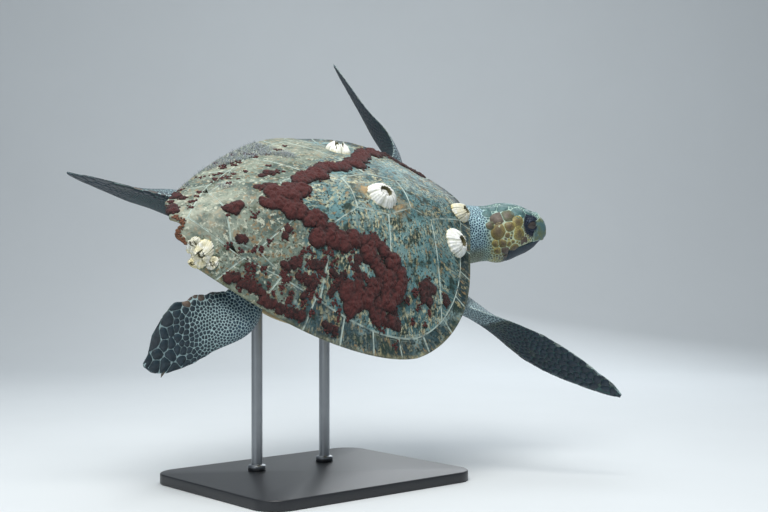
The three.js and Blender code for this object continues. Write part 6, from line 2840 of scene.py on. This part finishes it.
@dataclass(frozen=True)
class Barnacle:
    """A barnacle: six ribbed plates round a mouth, leaning a little."""

    s: float
    y: float
    radius: float
    height: float
    lean: tuple[float, float] = (0.0, 0.0)
    yellow: float = 0.2
    broken: float = 0.0
    seed: int = 0
    profile: tuple[tuple[float, float], ...] = (
        (1.10, -0.12), (1.05, 0.02), (1.00, 0.18), (0.92, 0.42), (0.79, 0.68), (0.62, 0.88), (0.48, 0.98),
        (0.41, 1.00), (0.36, 0.93), (0.32, 0.76), (0.28, 0.60), (0.21, 0.64), (0.12, 0.70), (0.03, 0.66))

    def form(self) -> Form:
        """The barnacle as a closed shell, in the body frame.

        Returns:
            The closed form.
        """
        table = np.array(self.profile)
        steps = run_length(table)
        at = np.linspace(0, steps[-1], 34)
        curve = hermite(at, np.column_stack([steps, table]))
        turn = turns(108)
        sector = (turn * 6 / (2 * math.pi) + 0.15 * np.sin(turn * 2 + self.seed)) % 1.0
        seam = np.minimum(sector, 1 - sector)
        wall = ease(curve[:, 0], 0.36, 0.6)[:, None]
        ribs = 0.030 * np.cos(turn * 24 + 1.5 * np.sin(turn * 5 + self.seed)) - 0.09 * bell(seam, 0.07)
        ring = np.stack([np.cos(turn), np.sin(turn), turn * 0 + self.seed], axis=-1)
        shards = np.stack([np.floor(turn * 11 / 6.283), turn * 0 + self.seed, turn * 0], axis=-1)
        jag = 0.10 + 0.90 * ease(hashed(shards.astype(int), 3), 0.1, 0.9)
        chipped = 1 - self.broken * jag[None] * ease(curve[:, 1], 0.10, 0.95)[:, None]
        oval_share = 1 + 0.07 * np.cos(2 * turn + self.seed) + 0.05 * noise(ring, 0.8, self.seed)
        wide = 1 + ribs * wall + 0.05 * noise(ring, 0.25, 7) * (1 - wall)
        wide = curve[:, :1] * wide * oval_share * self.radius
        teeth = 0.05 * np.cos(turn * 6 * 2 + self.seed) * bell(curve[:, :1] - 0.46, 0.12)
        operculum = -0.10 * bell(np.abs(np.sin(turn)), 0.22) * (curve[:, :1] < 0.30)
        tall = (curve[:, 1:] * chipped + teeth + operculum) * self.height
        risen = np.clip(tall / self.height, 0, None) ** 1.5
        x = wide * np.cos(turn) + self.lean[0] * risen * self.radius
        y = wide * np.sin(turn) + self.lean[1] * risen * self.radius
        plan = (np.array(self.s), np.array(self.y))
        frame_ways = upright_frames(SHELL.normal(*plan)[None], np.array([[1.0, 0, 0]]))[0]
        seat = np.clip(1 - curve[:, :1], 0, 1)
        bend = SHELL.point(self.s - (x / SHELL.length), self.y + y / SHELL.length, 0.0 * x)
        rigid = SHELL.point(*plan) + x[..., None] * frame_ways[0] + y[..., None] * frame_ways[1]
        base = mix(bend, rigid, ease(seat, 0.0, 0.35)[..., None])
        rings = base + np.broadcast_to(tall, x.shape)[..., None] * frame_ways[2]
        form = loft(rings)
        ones = np.ones(turn.shape)[None]
        mouth = ease(curve[:, :1], 0.46, 0.38) * ease(curve[:, :1], 0.22, 0.30) * ones
        groove = np.clip(bell(seam, 0.05)[None] * wall + 0.35 * ease(-ribs, 0.0, 0.03)[None] * wall, 0, 1)
        yellow = np.clip(self.yellow + 0.5 * ease(curve[:, 1:], 0.25, 0.0) * ones, 0, 1)
        for key, value in (("mouth", mouth), ("groove", groove), ("yellow", yellow)):
            form.values[key] = np.concatenate([value.ravel(), [0.2, 0.2]])
        return form


BARNACLES = {
    "mid": (Barnacle(0.343, -0.020, 34 * MM, 18 * MM, (0.0, 0.03), 0.0, 0.0, 1),),
    "front_upper": (Barnacle(0.040, -0.019, 24.5 * MM, 20 * MM, (0.15, 0.03), 0.45, 0.15, 2),),
    "front_lower": (Barnacle(0.086, -0.131, 31.5 * MM, 22 * MM, (0.04, -0.07), 0.0, 0.06, 3),),
    "rear": (Barnacle(0.880, -0.092, 21 * MM, 22 * MM, (-0.5, -0.3), 0.5, 0.95, 4),
             Barnacle(0.900, -0.068, 13 * MM, 16 * MM, (-0.6, 0.3), 0.3, 0.9, 5),
             Barnacle(0.858, -0.118, 11 * MM, 12 * MM, (-0.2, -0.5), 0.5, 0.9, 6),
             Barnacle(0.902, -0.106, 11 * MM, 14 * MM, (-0.7, -0.2), 0.7, 0.8, 7)),
    "broken": (Barnacle(0.296, 0.257, 25 * MM, 25 * MM, (0.2, 0.3), 0.1, 1.0, 8),
               Barnacle(0.270, 0.268, 13 * MM, 16 * MM, (0.3, 0), 0.1, 0.9, 10)),
}


@dataclass(frozen=True)
class WeedFinish(Finish):
    """Velvety weed, with painted shade in its hollows and painted highlights of its velvet."""

    foot_shade: tuple[int, int, int] = (18, 8, 10)
    bright: tuple[int, int, int] = (76, 32, 31)
    velvet_highlight: tuple[int, int, int] = (104, 52, 47)

    def paint(self, graph: Graph, surface: bpy.types.Node) -> None:
        """Painted shade low down and the weed's own colour higher up, with painted velvet highlights in fine
        flecks.

        Args:
            graph: The material's graph.
            surface: The material's surface shader.
        """
        place = graph.place()
        uneven = graph.span(graph.noise(place, 130.0, 4.0, 0.7), 0.2, 0.8, -0.4, 0.4)
        tall = graph.calc("ADD", graph.value("tall"), uneven)
        # Painted shade: the weed darkens to near black where it is low, between the cushions and at the foot
        # of tufts and threads.
        body = graph.blend(graph.span(tall, 0.15, 0.95), srgb(*self.foot_shade), srgb(*self.bright))
        # Painted highlight: fine flecks of a paler tone stand for the sheen of the velvet.
        body = graph.blend(graph.cloud(place, 600.0, 0.52, 0.72, 3.0, 0.7), body, srgb(*self.velvet_highlight))
        body = graph.blend(graph.value("pale"), body, srgb(178, 190, 200))
        graph.feed(surface.inputs["Base Color"], body)
        surface.inputs["Sheen Weight"].default_value = 0.10
        self.relief(graph, surface, place, 1100.0, 0.7, 0.0009)


@dataclass(frozen=True)
class Band:
    """A run of weed cushions over the shell: plan places, and each cushion's radius and height."""

    path: tuple[tuple[float, float], ...]
    radius: float
    height: float


WEED_BANDS = (
    Band(((0.129, 0.285), (0.190, 0.262), (0.248, 0.212), (0.323, 0.150), (0.401, 0.116), (0.430, 0.122),
          (0.482, 0.098), (0.526, 0.080), (0.578, 0.048), (0.624, 0.015)), 22, 13),
    Band(((0.672, 0.018), (0.701, -0.010), (0.660, -0.027), (0.609, -0.013), (0.590, 0.020)), 21, 14),
    Band(((0.643, -0.045), (0.610, -0.060), (0.574, -0.072), (0.550, -0.104), (0.534, -0.131),
          (0.575, -0.111)), 20, 13),
    Band(((0.540, -0.125), (0.500, -0.137), (0.470, -0.150), (0.440, -0.175), (0.420, -0.195)), 22, 13),
    Band(((0.410, -0.205), (0.391, -0.228), (0.372, -0.257), (0.358, -0.284), (0.345, -0.262)), 20, 13),
    Band(((0.456, -0.140), (0.425, -0.145), (0.398, -0.160), (0.376, -0.176), (0.355, -0.200),
          (0.342, -0.222), (0.335, -0.250), (0.352, -0.262)), 17, 13),
    Band(((0.394, -0.268), (0.417, -0.243), (0.443, -0.258), (0.476, -0.259), (0.521, -0.262)), 19, 12),
    Band(((0.383, -0.291), (0.416, -0.299), (0.463, -0.287), (0.507, -0.283), (0.494, -0.300)), 19, 13),
    Band(((0.453, -0.312), (0.413, -0.329), (0.371, -0.346)), 15, 11),
    Band(((0.680, -0.162), (0.645, -0.169)), 9, 6), Band(((0.608, -0.183), (0.585, -0.190)), 10, 6),
    Band(((0.642, -0.198), (0.603, -0.225), (0.625, -0.236)), 9, 6),
    Band(((0.550, -0.205), (0.535, -0.235)), 9, 6),
    Band(((0.480, -0.190), (0.470, -0.220)), 10, 7), Band(((0.515, -0.215), (0.560, -0.255)), 8, 5),
    Band(((0.110, 0.292), (0.076, 0.274), (0.068, 0.231), (0.053, 0.197), (0.035, 0.165)), 10, 6),
    Band(((0.796, -0.004), (0.774, -0.001), (0.799, -0.026)), 13, 8),
    Band(((0.904, 0.080), (0.922, 0.040)), 13, 7), Band(((0.862, 0.140), (0.872, 0.098)), 9, 6),
    Band(((0.658, 0.052), (0.700, 0.048)), 9, 6), Band(((0.798, -0.079), (0.778, -0.093)), 9, 6),
    Band(((0.673, -0.098), (0.660, -0.088)), 10, 7), Band(((0.620, 0.124), (0.650, 0.110)), 12, 6),
    Band(((0.255, -0.262), (0.227, -0.272), (0.270, -0.285), (0.244, -0.291)), 13, 8),
    Band(((0.175, -0.285), (0.179, -0.308)), 10, 6), Band(((0.341, -0.289), (0.322, -0.292)), 10, 7),
    Band(((0.368, -0.319), (0.384, -0.342), (0.354, -0.349), (0.366, -0.332)), 9, 6),
    Band(((0.822, -0.155), (0.798, -0.171), (0.774, -0.188), (0.755, -0.201), (0.735, -0.227),
          (0.716, -0.240), (0.691, -0.258), (0.665, -0.273), (0.640, -0.287)), 10, 7),
    Band(((0.579, -0.317), (0.547, -0.335)), 10, 7))
# Stretches of many small tufts: s, y, spread and number.
THICKETS = (
    (0.620, -0.195, 0.042, 420), (0.475, -0.235, 0.040, 220), (0.770, -0.150, 0.030, 200),
    (0.540, -0.160, 0.030, 160), (0.700, -0.215, 0.030, 120), (0.560, -0.290, 0.025, 60),
    (0.640, 0.215, 0.060, 150), (0.740, 0.170, 0.035, 110), (0.870, 0.110, 0.030, 110),
    (0.300, -0.300, 0.040, 60))
LONE_TUFTS = (
    (0.879, 0.035), (0.742, -0.038), (0.673, -0.098), (0.818, -0.096), (0.712, -0.109), (0.620, 0.124),
    (0.284, -0.313), (0.239, -0.303), (0.374, -0.391), (0.418, -0.354), (0.763, 0.196), (0.731, 0.186),
    (0.675, 0.241), (0.598, 0.314), (0.725, 0.141), (0.572, 0.297), (0.628, 0.238), (0.436, 0.315),
    (0.484, 0.282))


class Weed:
    """Lobed cushions of weed, small tufts round them and a pale film of threads."""

    cell: float = 1.5 * MM
    sunk: float = 1.6 * MM

    def __init__(self) -> None:
        """Lays out the cushions along the bands."""
        self.chance = np.random.default_rng(23)
        self.lobes = np.concatenate([self.lobes_of(band) for band in WEED_BANDS])

    def lobes_of(self, band: Band) -> Array:
        """Cushions along a band: s, y, radius and height to a row.

        Args:
            band: The band of weed.

        Returns:
            The rows.
        """
        path = np.array(band.path)
        length = np.linalg.norm(np.diff(path, axis=0), axis=1).sum() * SHELL.length
        count = max(int(length / (0.62 * band.radius * MM)), 2)
        places = Carapace.along(path, np.linspace(0, 1, count))
        places = places + self.chance.normal(0, 0.28 * band.radius * MM / SHELL.length, places.shape)
        size = self.chance.uniform(0.62, 1.1, count)
        return np.column_stack([places, band.radius * MM * size, band.height * MM * size])

    def height(self, s: Array, y: Array) -> Array:
        """Height of the weed over the shell, negative where there is none.

        Args:
            s: Shares along the shell, 0 in front.
            y: Places to the left, in shell lengths.

        Returns:
            Heights in metres.
        """
        flat = np.stack([s, y, 0 * s], axis=-1) * SHELL.length
        bent_s = s * SHELL.length + 6.0 * MM * fractal(flat, 0.022, 131)
        bent_y = y * SHELL.length + 6.0 * MM * fractal(flat, 0.022, 135)
        total = np.zeros(s.shape)
        for lobe_s, lobe_y, radius, height in self.lobes:
            away = np.hypot(bent_s - lobe_s * SHELL.length, bent_y - lobe_y * SHELL.length) / radius
            total = np.maximum(total, height * np.sqrt(np.clip(1 - away ** 2, 0, 1)))
        knobs = 0.20 + 0.42 * grains(flat, 0.013, 137) ** 0.7 + 0.38 * grains(flat, 0.0064, 138) ** 0.8
        velvet = 1.1 * MM * grains(flat, 0.0030, 139)
        return total * knobs + velvet * (total > 0) - self.sunk * (total <= 0.5 * MM)

    def cushions(self) -> Form:
        """All the cushions as closed lumps that end below the shell's face.

        Returns:
            The closed form.
        """
        step = self.cell / SHELL.length
        s, y = np.meshgrid(np.arange(0.02, 0.94, step), np.arange(-0.41, 0.30, step), indexing="ij")
        near = np.zeros(s.shape, bool)
        for lobe_s, lobe_y, radius, _ in self.lobes:
            near |= np.hypot(s - lobe_s, y - lobe_y) < (radius + 7 * MM) / SHELL.length
        tall = np.full(s.shape, -self.sunk)
        tall[near] = self.height(s[near], y[near])
        filled = tall > 0
        keep = filled[:-1, :-1] | filled[1:, :-1] | filled[:-1, 1:] | filled[1:, 1:]
        keep &= np.abs(y[:-1, :-1]) < SHELL.half_width(s[:-1, :-1]) - 0.006
        rows, cols = s.shape
        i, j = np.nonzero(keep)
        a = i * cols + j
        quads = np.stack([a, a + cols, a + cols + 1, a + 1], axis=-1)
        edges = np.concatenate([quads[:, [k, (k + 1) % 4]] for k in range(4)])
        codes = edges[:, 0] * (rows * cols) + edges[:, 1]
        back = edges[:, 1] * (rows * cols) + edges[:, 0]
        rim = edges[~np.isin(codes, back)]
        used = np.unique(quads)
        order = np.full(rows * cols, -1)
        order[used] = np.arange(len(used))
        s, y, tall = s.ravel()[used], y.ravel()[used], tall.ravel()[used]
        ripple = SHELL.face(s, y)
        tall = np.where(tall > 0, tall + 1.2 * MM * Carapace.worn(s, y), tall)
        over = SHELL.point(s, y, -tall)
        stray = np.stack([fractal(ripple, 0.006, 140 + c, 2) for c in range(3)], axis=-1)
        over = over + stray * (tall * 0.22)[:, None]
        under = SHELL.point(s, y, np.full(len(s), 2.6 * MM))
        quads, rim, half = order[quads], order[rim], len(used)
        walls = np.stack([rim[:, 0], rim[:, 1], rim[:, 1] + half, rim[:, 0] + half], axis=-1)[:, ::-1]
        faces = np.concatenate([quads, quads[:, ::-1] + half, walls])
        form = outward(Form(np.concatenate([over, under]), [faces]))
        # The height share drives the painted shade of the weed: darkest low down.
        form.values["tall"] = np.concatenate([np.clip(tall / (9 * MM), 0, 1), np.zeros(half)])
        form.values["pale"] = np.zeros(2 * half)
        form.patches = np.tile(np.column_stack([s, y + 0.5]), (2, 1))
        return form

    @staticmethod
    def knob() -> Form:
        """A small lobed tuft, one unit wide and tall.

        Returns:
            The closed form.
        """
        turn = turns(10)
        rise = np.array([-0.25, 0.25, 0.65, 0.92])[:, None]
        wide = np.array([0.80, 1.00, 0.78, 0.36])[:, None] * (1 + 0.16 * np.cos(5 * turn + 0.6))
        form = loft(np.stack([wide * np.cos(turn), wide * np.sin(turn), rise * np.ones(10)], axis=-1))
        # Height shares for the weed's painted shade: darkest at the tuft's foot.
        form.values["tall"] = np.concatenate([np.repeat([0.0, 0.35, 0.75, 1.0], 10), [0.0, 1.0]])
        return form

    @staticmethod
    def thread() -> Form:
        """A thin bent thread with three sides.

        Returns:
            The closed form.
        """
        turn = turns(3)
        levels = np.array([-0.1, 0.45, 0.95])[:, None]
        wide = np.array([0.055, 0.040, 0.012])[:, None]
        bent = wide * np.cos(turn) + 0.25 * levels ** 2
        form = loft(np.stack([bent, wide * np.sin(turn), levels * np.ones(3)], axis=-1))
        # Height shares for the weed's painted shade: darkest at the thread's foot.
        form.values["tall"] = np.concatenate([np.repeat([0.2, 0.6, 1.0], 3), [0.0, 1.0]])
        return form

    def planted(self, template: Form, s: Array, y: Array, sizes: Array, pale: float) -> Form:
        """Copies of a small form, standing on the shell.

        Args:
            template: The small form.
            s: Shares along the shell, 0 in front.
            y: Places to the left, in shell lengths.
            sizes: Widths and height of each copy.
            pale: How pale the copies are, 0 to 1.

        Returns:
            All the copies as one form.
        """
        inside = np.abs(y) < SHELL.half_width(s) - 0.008
        s, y, sizes = s[inside], y[inside], sizes[inside]
        lean = self.chance.normal(0, 1, (len(s), 3))
        normals = unit(SHELL.normal(s, y) + 0.28 * self.chance.normal(0, 1, (len(s), 3)))
        seats = SHELL.point(s, y, np.full(len(s), -0.4 * MM))
        form = stamped(template, upright_frames(normals, lean), seats, sizes)
        copies = form.values.pop("copy")
        form.values["pale"] = np.full(len(form.points), pale)
        around = template.points[:, :2] / max(np.abs(template.points[:, :2]).max(), 1e-6) * TUFT_PATCH
        form.patches = np.column_stack([s, y + 0.5])[copies] + np.tile(around, (len(s), 1))
        return form

    def tufts(self) -> Form:
        """Small tufts at the edges of the cushions and at lone places.

        Returns:
            The tufts as one form.
        """
        picks = self.chance.integers(0, len(self.lobes), 900)
        turn = self.chance.uniform(0, 2 * math.pi, 900)
        far = self.lobes[picks, 2] / SHELL.length * self.chance.uniform(0.85, 1.35, 900)
        s = self.lobes[picks, 0] + far * np.cos(turn)
        y = self.lobes[picks, 1] + far * np.sin(turn)
        lone = np.repeat(np.array(LONE_TUFTS), 12, axis=0)
        lone = lone + self.chance.normal(0, 0.005, lone.shape)
        return self.knobs(np.concatenate([np.column_stack([s, y]), lone]))

    def thickets(self) -> Form:
        """Crowded small tufts over the most overgrown places.

        Returns:
            The tufts as one form.
        """
        thick = []
        for at_s, at_y, spread, count in THICKETS:
            clumps = self.chance.normal((at_s, at_y), spread, (count // 12, 2))
            clump = np.repeat(clumps, self.chance.integers(5, 20, len(clumps)), axis=0)
            thick.append(clump + self.chance.normal(0, 0.0042, clump.shape))
        return self.knobs(np.concatenate(thick))

    def knobs(self, places: Array) -> Form:
        """Lobed tufts of several sizes at places of the shell's plan."""
        size = self.chance.uniform(1.5, 3.6, len(places))[:, None] * MM
        return self.planted(self.knob(), places[:, 0], places[:, 1], size * (1.0, 1.0, 0.9), 0.0)

    def film(self) -> Form:
        """Pale threads over the left flank towards the rear.

        Returns:
            The threads as one form.
        """
        count = 11000
        s = self.chance.uniform(0.48, 0.90, count)
        y = self.chance.uniform(0.08, 0.40, count)
        spot = np.stack([s, y, 0 * s], axis=-1) * SHELL.length
        keep = noise(spot, 0.045, 151) + 0.5 * (y - 0.2) / 0.16 > 0.05
        s, y = s[keep], y[keep]
        size = self.chance.uniform(4.0, 11.0, len(s))[:, None] * MM
        return self.planted(self.thread(), s, y, size * (1.0, 1.0, 1.0), 0.85)

    def crumbs(self) -> Form:
        """Orange-brown growths along the broken rear edge.

        Returns:
            The lumps as one form.
        """
        count = 150
        y = self.chance.uniform(-0.075, 0.02, count)
        s = np.interp(y, REAR_EDGE[:, 1], REAR_EDGE[:, 0]) - np.abs(self.chance.normal(0.004, 0.004, count))
        size = self.chance.uniform(1.5, 3.6, count)[:, None] * MM
        return self.planted(self.knob(), s, y, size * (1.0, 1.0, 0.8), 0.0)

    def build(self) -> None:
        """Makes the weed's pieces."""
        finish = WeedFinish("red weed", 0.95)
        for make in (self.cushions, self.tufts, self.thickets, self.film):
            piece(f"weed_{make.__name__}", make(), finish)
        # The rusty growth has the same painted shade and painted highlights, in rust tones.
        rust = WeedFinish("rusty growth", 0.9, (40, 24, 16), (108, 66, 44), (146, 110, 80))
        piece("weed_crumbs", self.crumbs(), rust)


# ---------------------------------------------------------------- display stand
@dataclass(frozen=True)
class StandFinish(Finish):
    """Satin metal or lacquer."""

    tone: tuple[int, int, int] = (38, 40, 44)
    metal: float = 0.0

    def paint(self, graph: Graph, surface: bpy.types.Node) -> None:
        """One tone with the faintest cloud.

        Args:
            graph: The material's graph.
            surface: The material's surface shader.
        """
        tone = self.mottled(graph, srgb(*self.tone), graph.place(), 12.0, 0.06)
        graph.feed(surface.inputs["Base Color"], tone)
        surface.inputs["Metallic"].default_value = self.metal


@dataclass(frozen=True)
class Stand:
    """Flat base with two rods that carry the belly."""

    corner: float = 60 * MM
    edge: tuple[tuple[float, float], ...] = (
        (0, 2.0), (1.5, 0.4), (3, 0), (21, 0), (22.6, 0.5), (23.6, 1.7), (24, 3.2))
    collar: tuple[tuple[float, float], ...] = (
        (24.2, 21), (34, 21), (36.5, 20), (37.5, 18), (37.8, 13.3), (40, 13))
    rod_radius: float = 13 * MM

    def base(self) -> Form:
        """The base plate with bevelled edges.

        Returns:
            The closed form.
        """
        low, high = (np.array(corner[:2]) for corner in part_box("stand_base"))
        half = (high - low) / 2 - self.corner
        way = circle(turns(96) + 0.01)
        rings = []
        for height, drawn in self.edge:
            flat = (low + high) / 2 + np.sign(way) * half + way * (self.corner - drawn * MM)
            rings.append(np.column_stack([flat, np.full(len(way), height * MM)]))
        return loft(np.array(rings))

    def rod(self, node: str, belly: BVHTree) -> Form:
        """A rod with a collar at its foot, cut to the belly's slope at its head.

        Args:
            node: The node that the rod replaces.
            belly: The belly plate, for finding its height.

        Returns:
            The closed form.
        """
        low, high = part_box(node)
        centre = np.array([(low[0] + high[0]) / 2, (low[1] + high[1]) / 2])
        way = circle(turns(48))
        tops = []
        for place in (centre + way * self.rod_radius).tolist():
            hit = belly.ray_cast(Vector((*place, 0.05)), Vector((0, 0, 1)))[0]
            tops.append(hit.z + 0.8 * MM if hit else high[2])
        rings = []
        for height, radius in self.collar:
            rings.append(np.column_stack([centre + way * radius * MM, np.full(len(way), height * MM)]))
        for share in (0.25, 0.5, 0.75, 1.0):
            level = mix(self.collar[-1][0] * MM, np.array(tops), share)
            rings.append(np.column_stack([centre + way * self.rod_radius, level]))
        return loft(np.array(rings))

    def build(self) -> None:
        """Makes the stand's pieces."""
        plate = PLASTRON.form()
        faces = [tuple(face) for run in plate.faces for face in run.tolist()]
        belly = BVHTree.FromPolygons([tuple(p) for p in POSE.to_room(plate.points).tolist()], faces)
        lacquer = StandFinish("stand lacquer", 0.38)
        piece("stand_plate", self.base(), lacquer, ("stand_base",), True)
        steel = StandFinish("stand steel", 0.32, (150, 154, 158), 0.9)
        for word in ("front", "rear"):
            node = f"stand_rod_{word}"
            piece(f"stand_post_{word}", self.rod(node, belly), steel, (node,), True)


# ---------------------------------------------------------------- stage
@dataclass(frozen=True)
class StageFinish(Finish):
    """Plain pale paper."""

    def paint(self, graph: Graph, surface: bpy.types.Node) -> None:
        """Even pale grey with the faintest cloud."""
        tone = self.mottled(graph, srgb(214, 219, 222), graph.place(), 1.5, 0.01)
        graph.feed(surface.inputs["Base Color"], tone)


@dataclass(frozen=True)
class Stage:
    """Floor and backdrop in one sweep, soft lights and the camera."""

    view: tuple[float, float, float] = (0.6508, 0.7593, 0.0)
    camera_place: tuple[float, float, float] = (-1.753, -2.293, 0.527)
    focal_px: float = 1230.0
    frame_px: float = 768.0
    sensor: float = 36.0
    floor_reach: float = 45.0
    floor_drop: float = 0.5 * MM
    sweep_radius: float = 1.6
    sweep_back: float = 2.6
    sweep_top: float = 7.0

    def build(self) -> None:
        """Makes the sweep, the lights and the camera."""
        self.sweep()
        self.light("key", (-1.2, -1.2, 3.4), 2.0, 128.0, (1.0, 0.985, 0.95))
        self.light("sky", (0.4, 0.6, 3.8), 3.5, 66.0, (0.92, 0.97, 1.0))
        self.light("fill", (-3.2, -1.0, 0.9), 2.5, 9.0, (0.88, 0.94, 1.0))
        self.light("back", (2.6, 1.6, 1.6), 2.0, 26.0, (0.93, 0.97, 1.0))
        bpy.context.scene.view_settings.view_transform = "Standard"
        world = bpy.data.worlds.new("room")
        world.use_nodes = True
        world.node_tree.nodes["Background"].inputs[0].default_value = srgb(200, 212, 226)
        world.node_tree.nodes["Background"].inputs[1].default_value = 0.24
        bpy.context.scene.world = world
        self.camera()

    def sweep(self) -> None:
        """Floor that curves up into a backdrop behind the model."""
        ahead = unit(np.array(self.view))
        side = np.array([ahead[1], -ahead[0], 0.0]) * self.floor_reach
        radius, back = self.sweep_radius, self.sweep_back
        rise = [(-self.floor_reach, 0.0)]
        for turn in np.linspace(0, math.pi / 2, 17):
            rise.append((back + radius * math.sin(turn), radius * (1 - math.cos(turn))))
        rise.append((back + radius, self.sweep_top))
        rows = np.array([ahead * along + np.array([0, 0, up - self.floor_drop]) for along, up in rise])
        points = np.stack([rows - side, rows + side], axis=1)
        form = Form(points.reshape(-1, 3), [grid_faces(len(rise), 2, False)])
        made = shown("sweep", raw_mesh("sweep", form))
        made.data.materials.append(StageFinish("pale paper", 0.9).material())

    @staticmethod
    def light(name: str, place: tuple[float, float, float], size: float, power: float,
              tone: tuple[float, float, float]) -> None:
        """One square soft light that faces the model.

        Args:
            name: Name of the lamp.
            place: Where the lamp stands.
            size: Length of a side.
            power: Power of the lamp.
            tone: Colour of its light.
        """
        lamp = bpy.data.lights.new(name, "AREA")
        lamp.size, lamp.energy, lamp.color = size, power, tone
        made = shown(name, lamp)
        made.location = place
        made.rotation_euler = (Vector((0, 0, 0.55)) - Vector(place)).to_track_quat("-Z", "Y").to_euler()

    def camera(self) -> None:
        """Level camera to the animal's right, behind and above its back."""
        lens = bpy.data.cameras.new("camera")
        lens.sensor_width = self.sensor
        lens.lens = self.focal_px * self.sensor / self.frame_px
        lens.clip_end = 60.0
        made = shown("camera", lens)
        made.location = self.camera_place
        made.rotation_euler = Vector(self.view).to_track_quat("-Z", "Y").to_euler()
        bpy.context.scene.camera = made


# ---------------------------------------------------------------- the model
def report_size() -> None:
    """Brings the scene's placements up to date."""
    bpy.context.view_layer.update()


def main() -> None:
    """Builds the model, its stage and its camera, in that order."""
    logging.basicConfig(level=logging.INFO, format="%(message)s")
    skin = Skin()
    skin.build()
    Scales(skin).build()
    piece("beak_sheath", Sheath(True).form(), HornFinish("beak horn", 0.42), ("beak_upper",))
    # Painted shade: the lower jaw's horn is dark navy for the shade under the head.
    jaw = HornFinish("jaw horn in painted shade", 0.62, (18, 36, 54), (28, 50, 64), (58, 84, 94))
    piece("jaw_sheath", Sheath(False).form(), jaw, ("jaw_lower",))
    for side in (1, -1):
        Eye(side).build()
    Claws().build()
    PLASTRON.build()
    Carapace().build()
    chalk = BarnacleFinish("barnacle shell", 0.7)
    for name, group in BARNACLES.items():
        nodes = () if name == "broken" else (f"barnacle_{name}",)
        piece(f"barnacles_{name}", Form.joined([each.form() for each in group]), chalk, nodes)
    Weed().build()
    Stand().build()
    Stage().build()
    report_size()


if __name__ == "__main__":
    main()
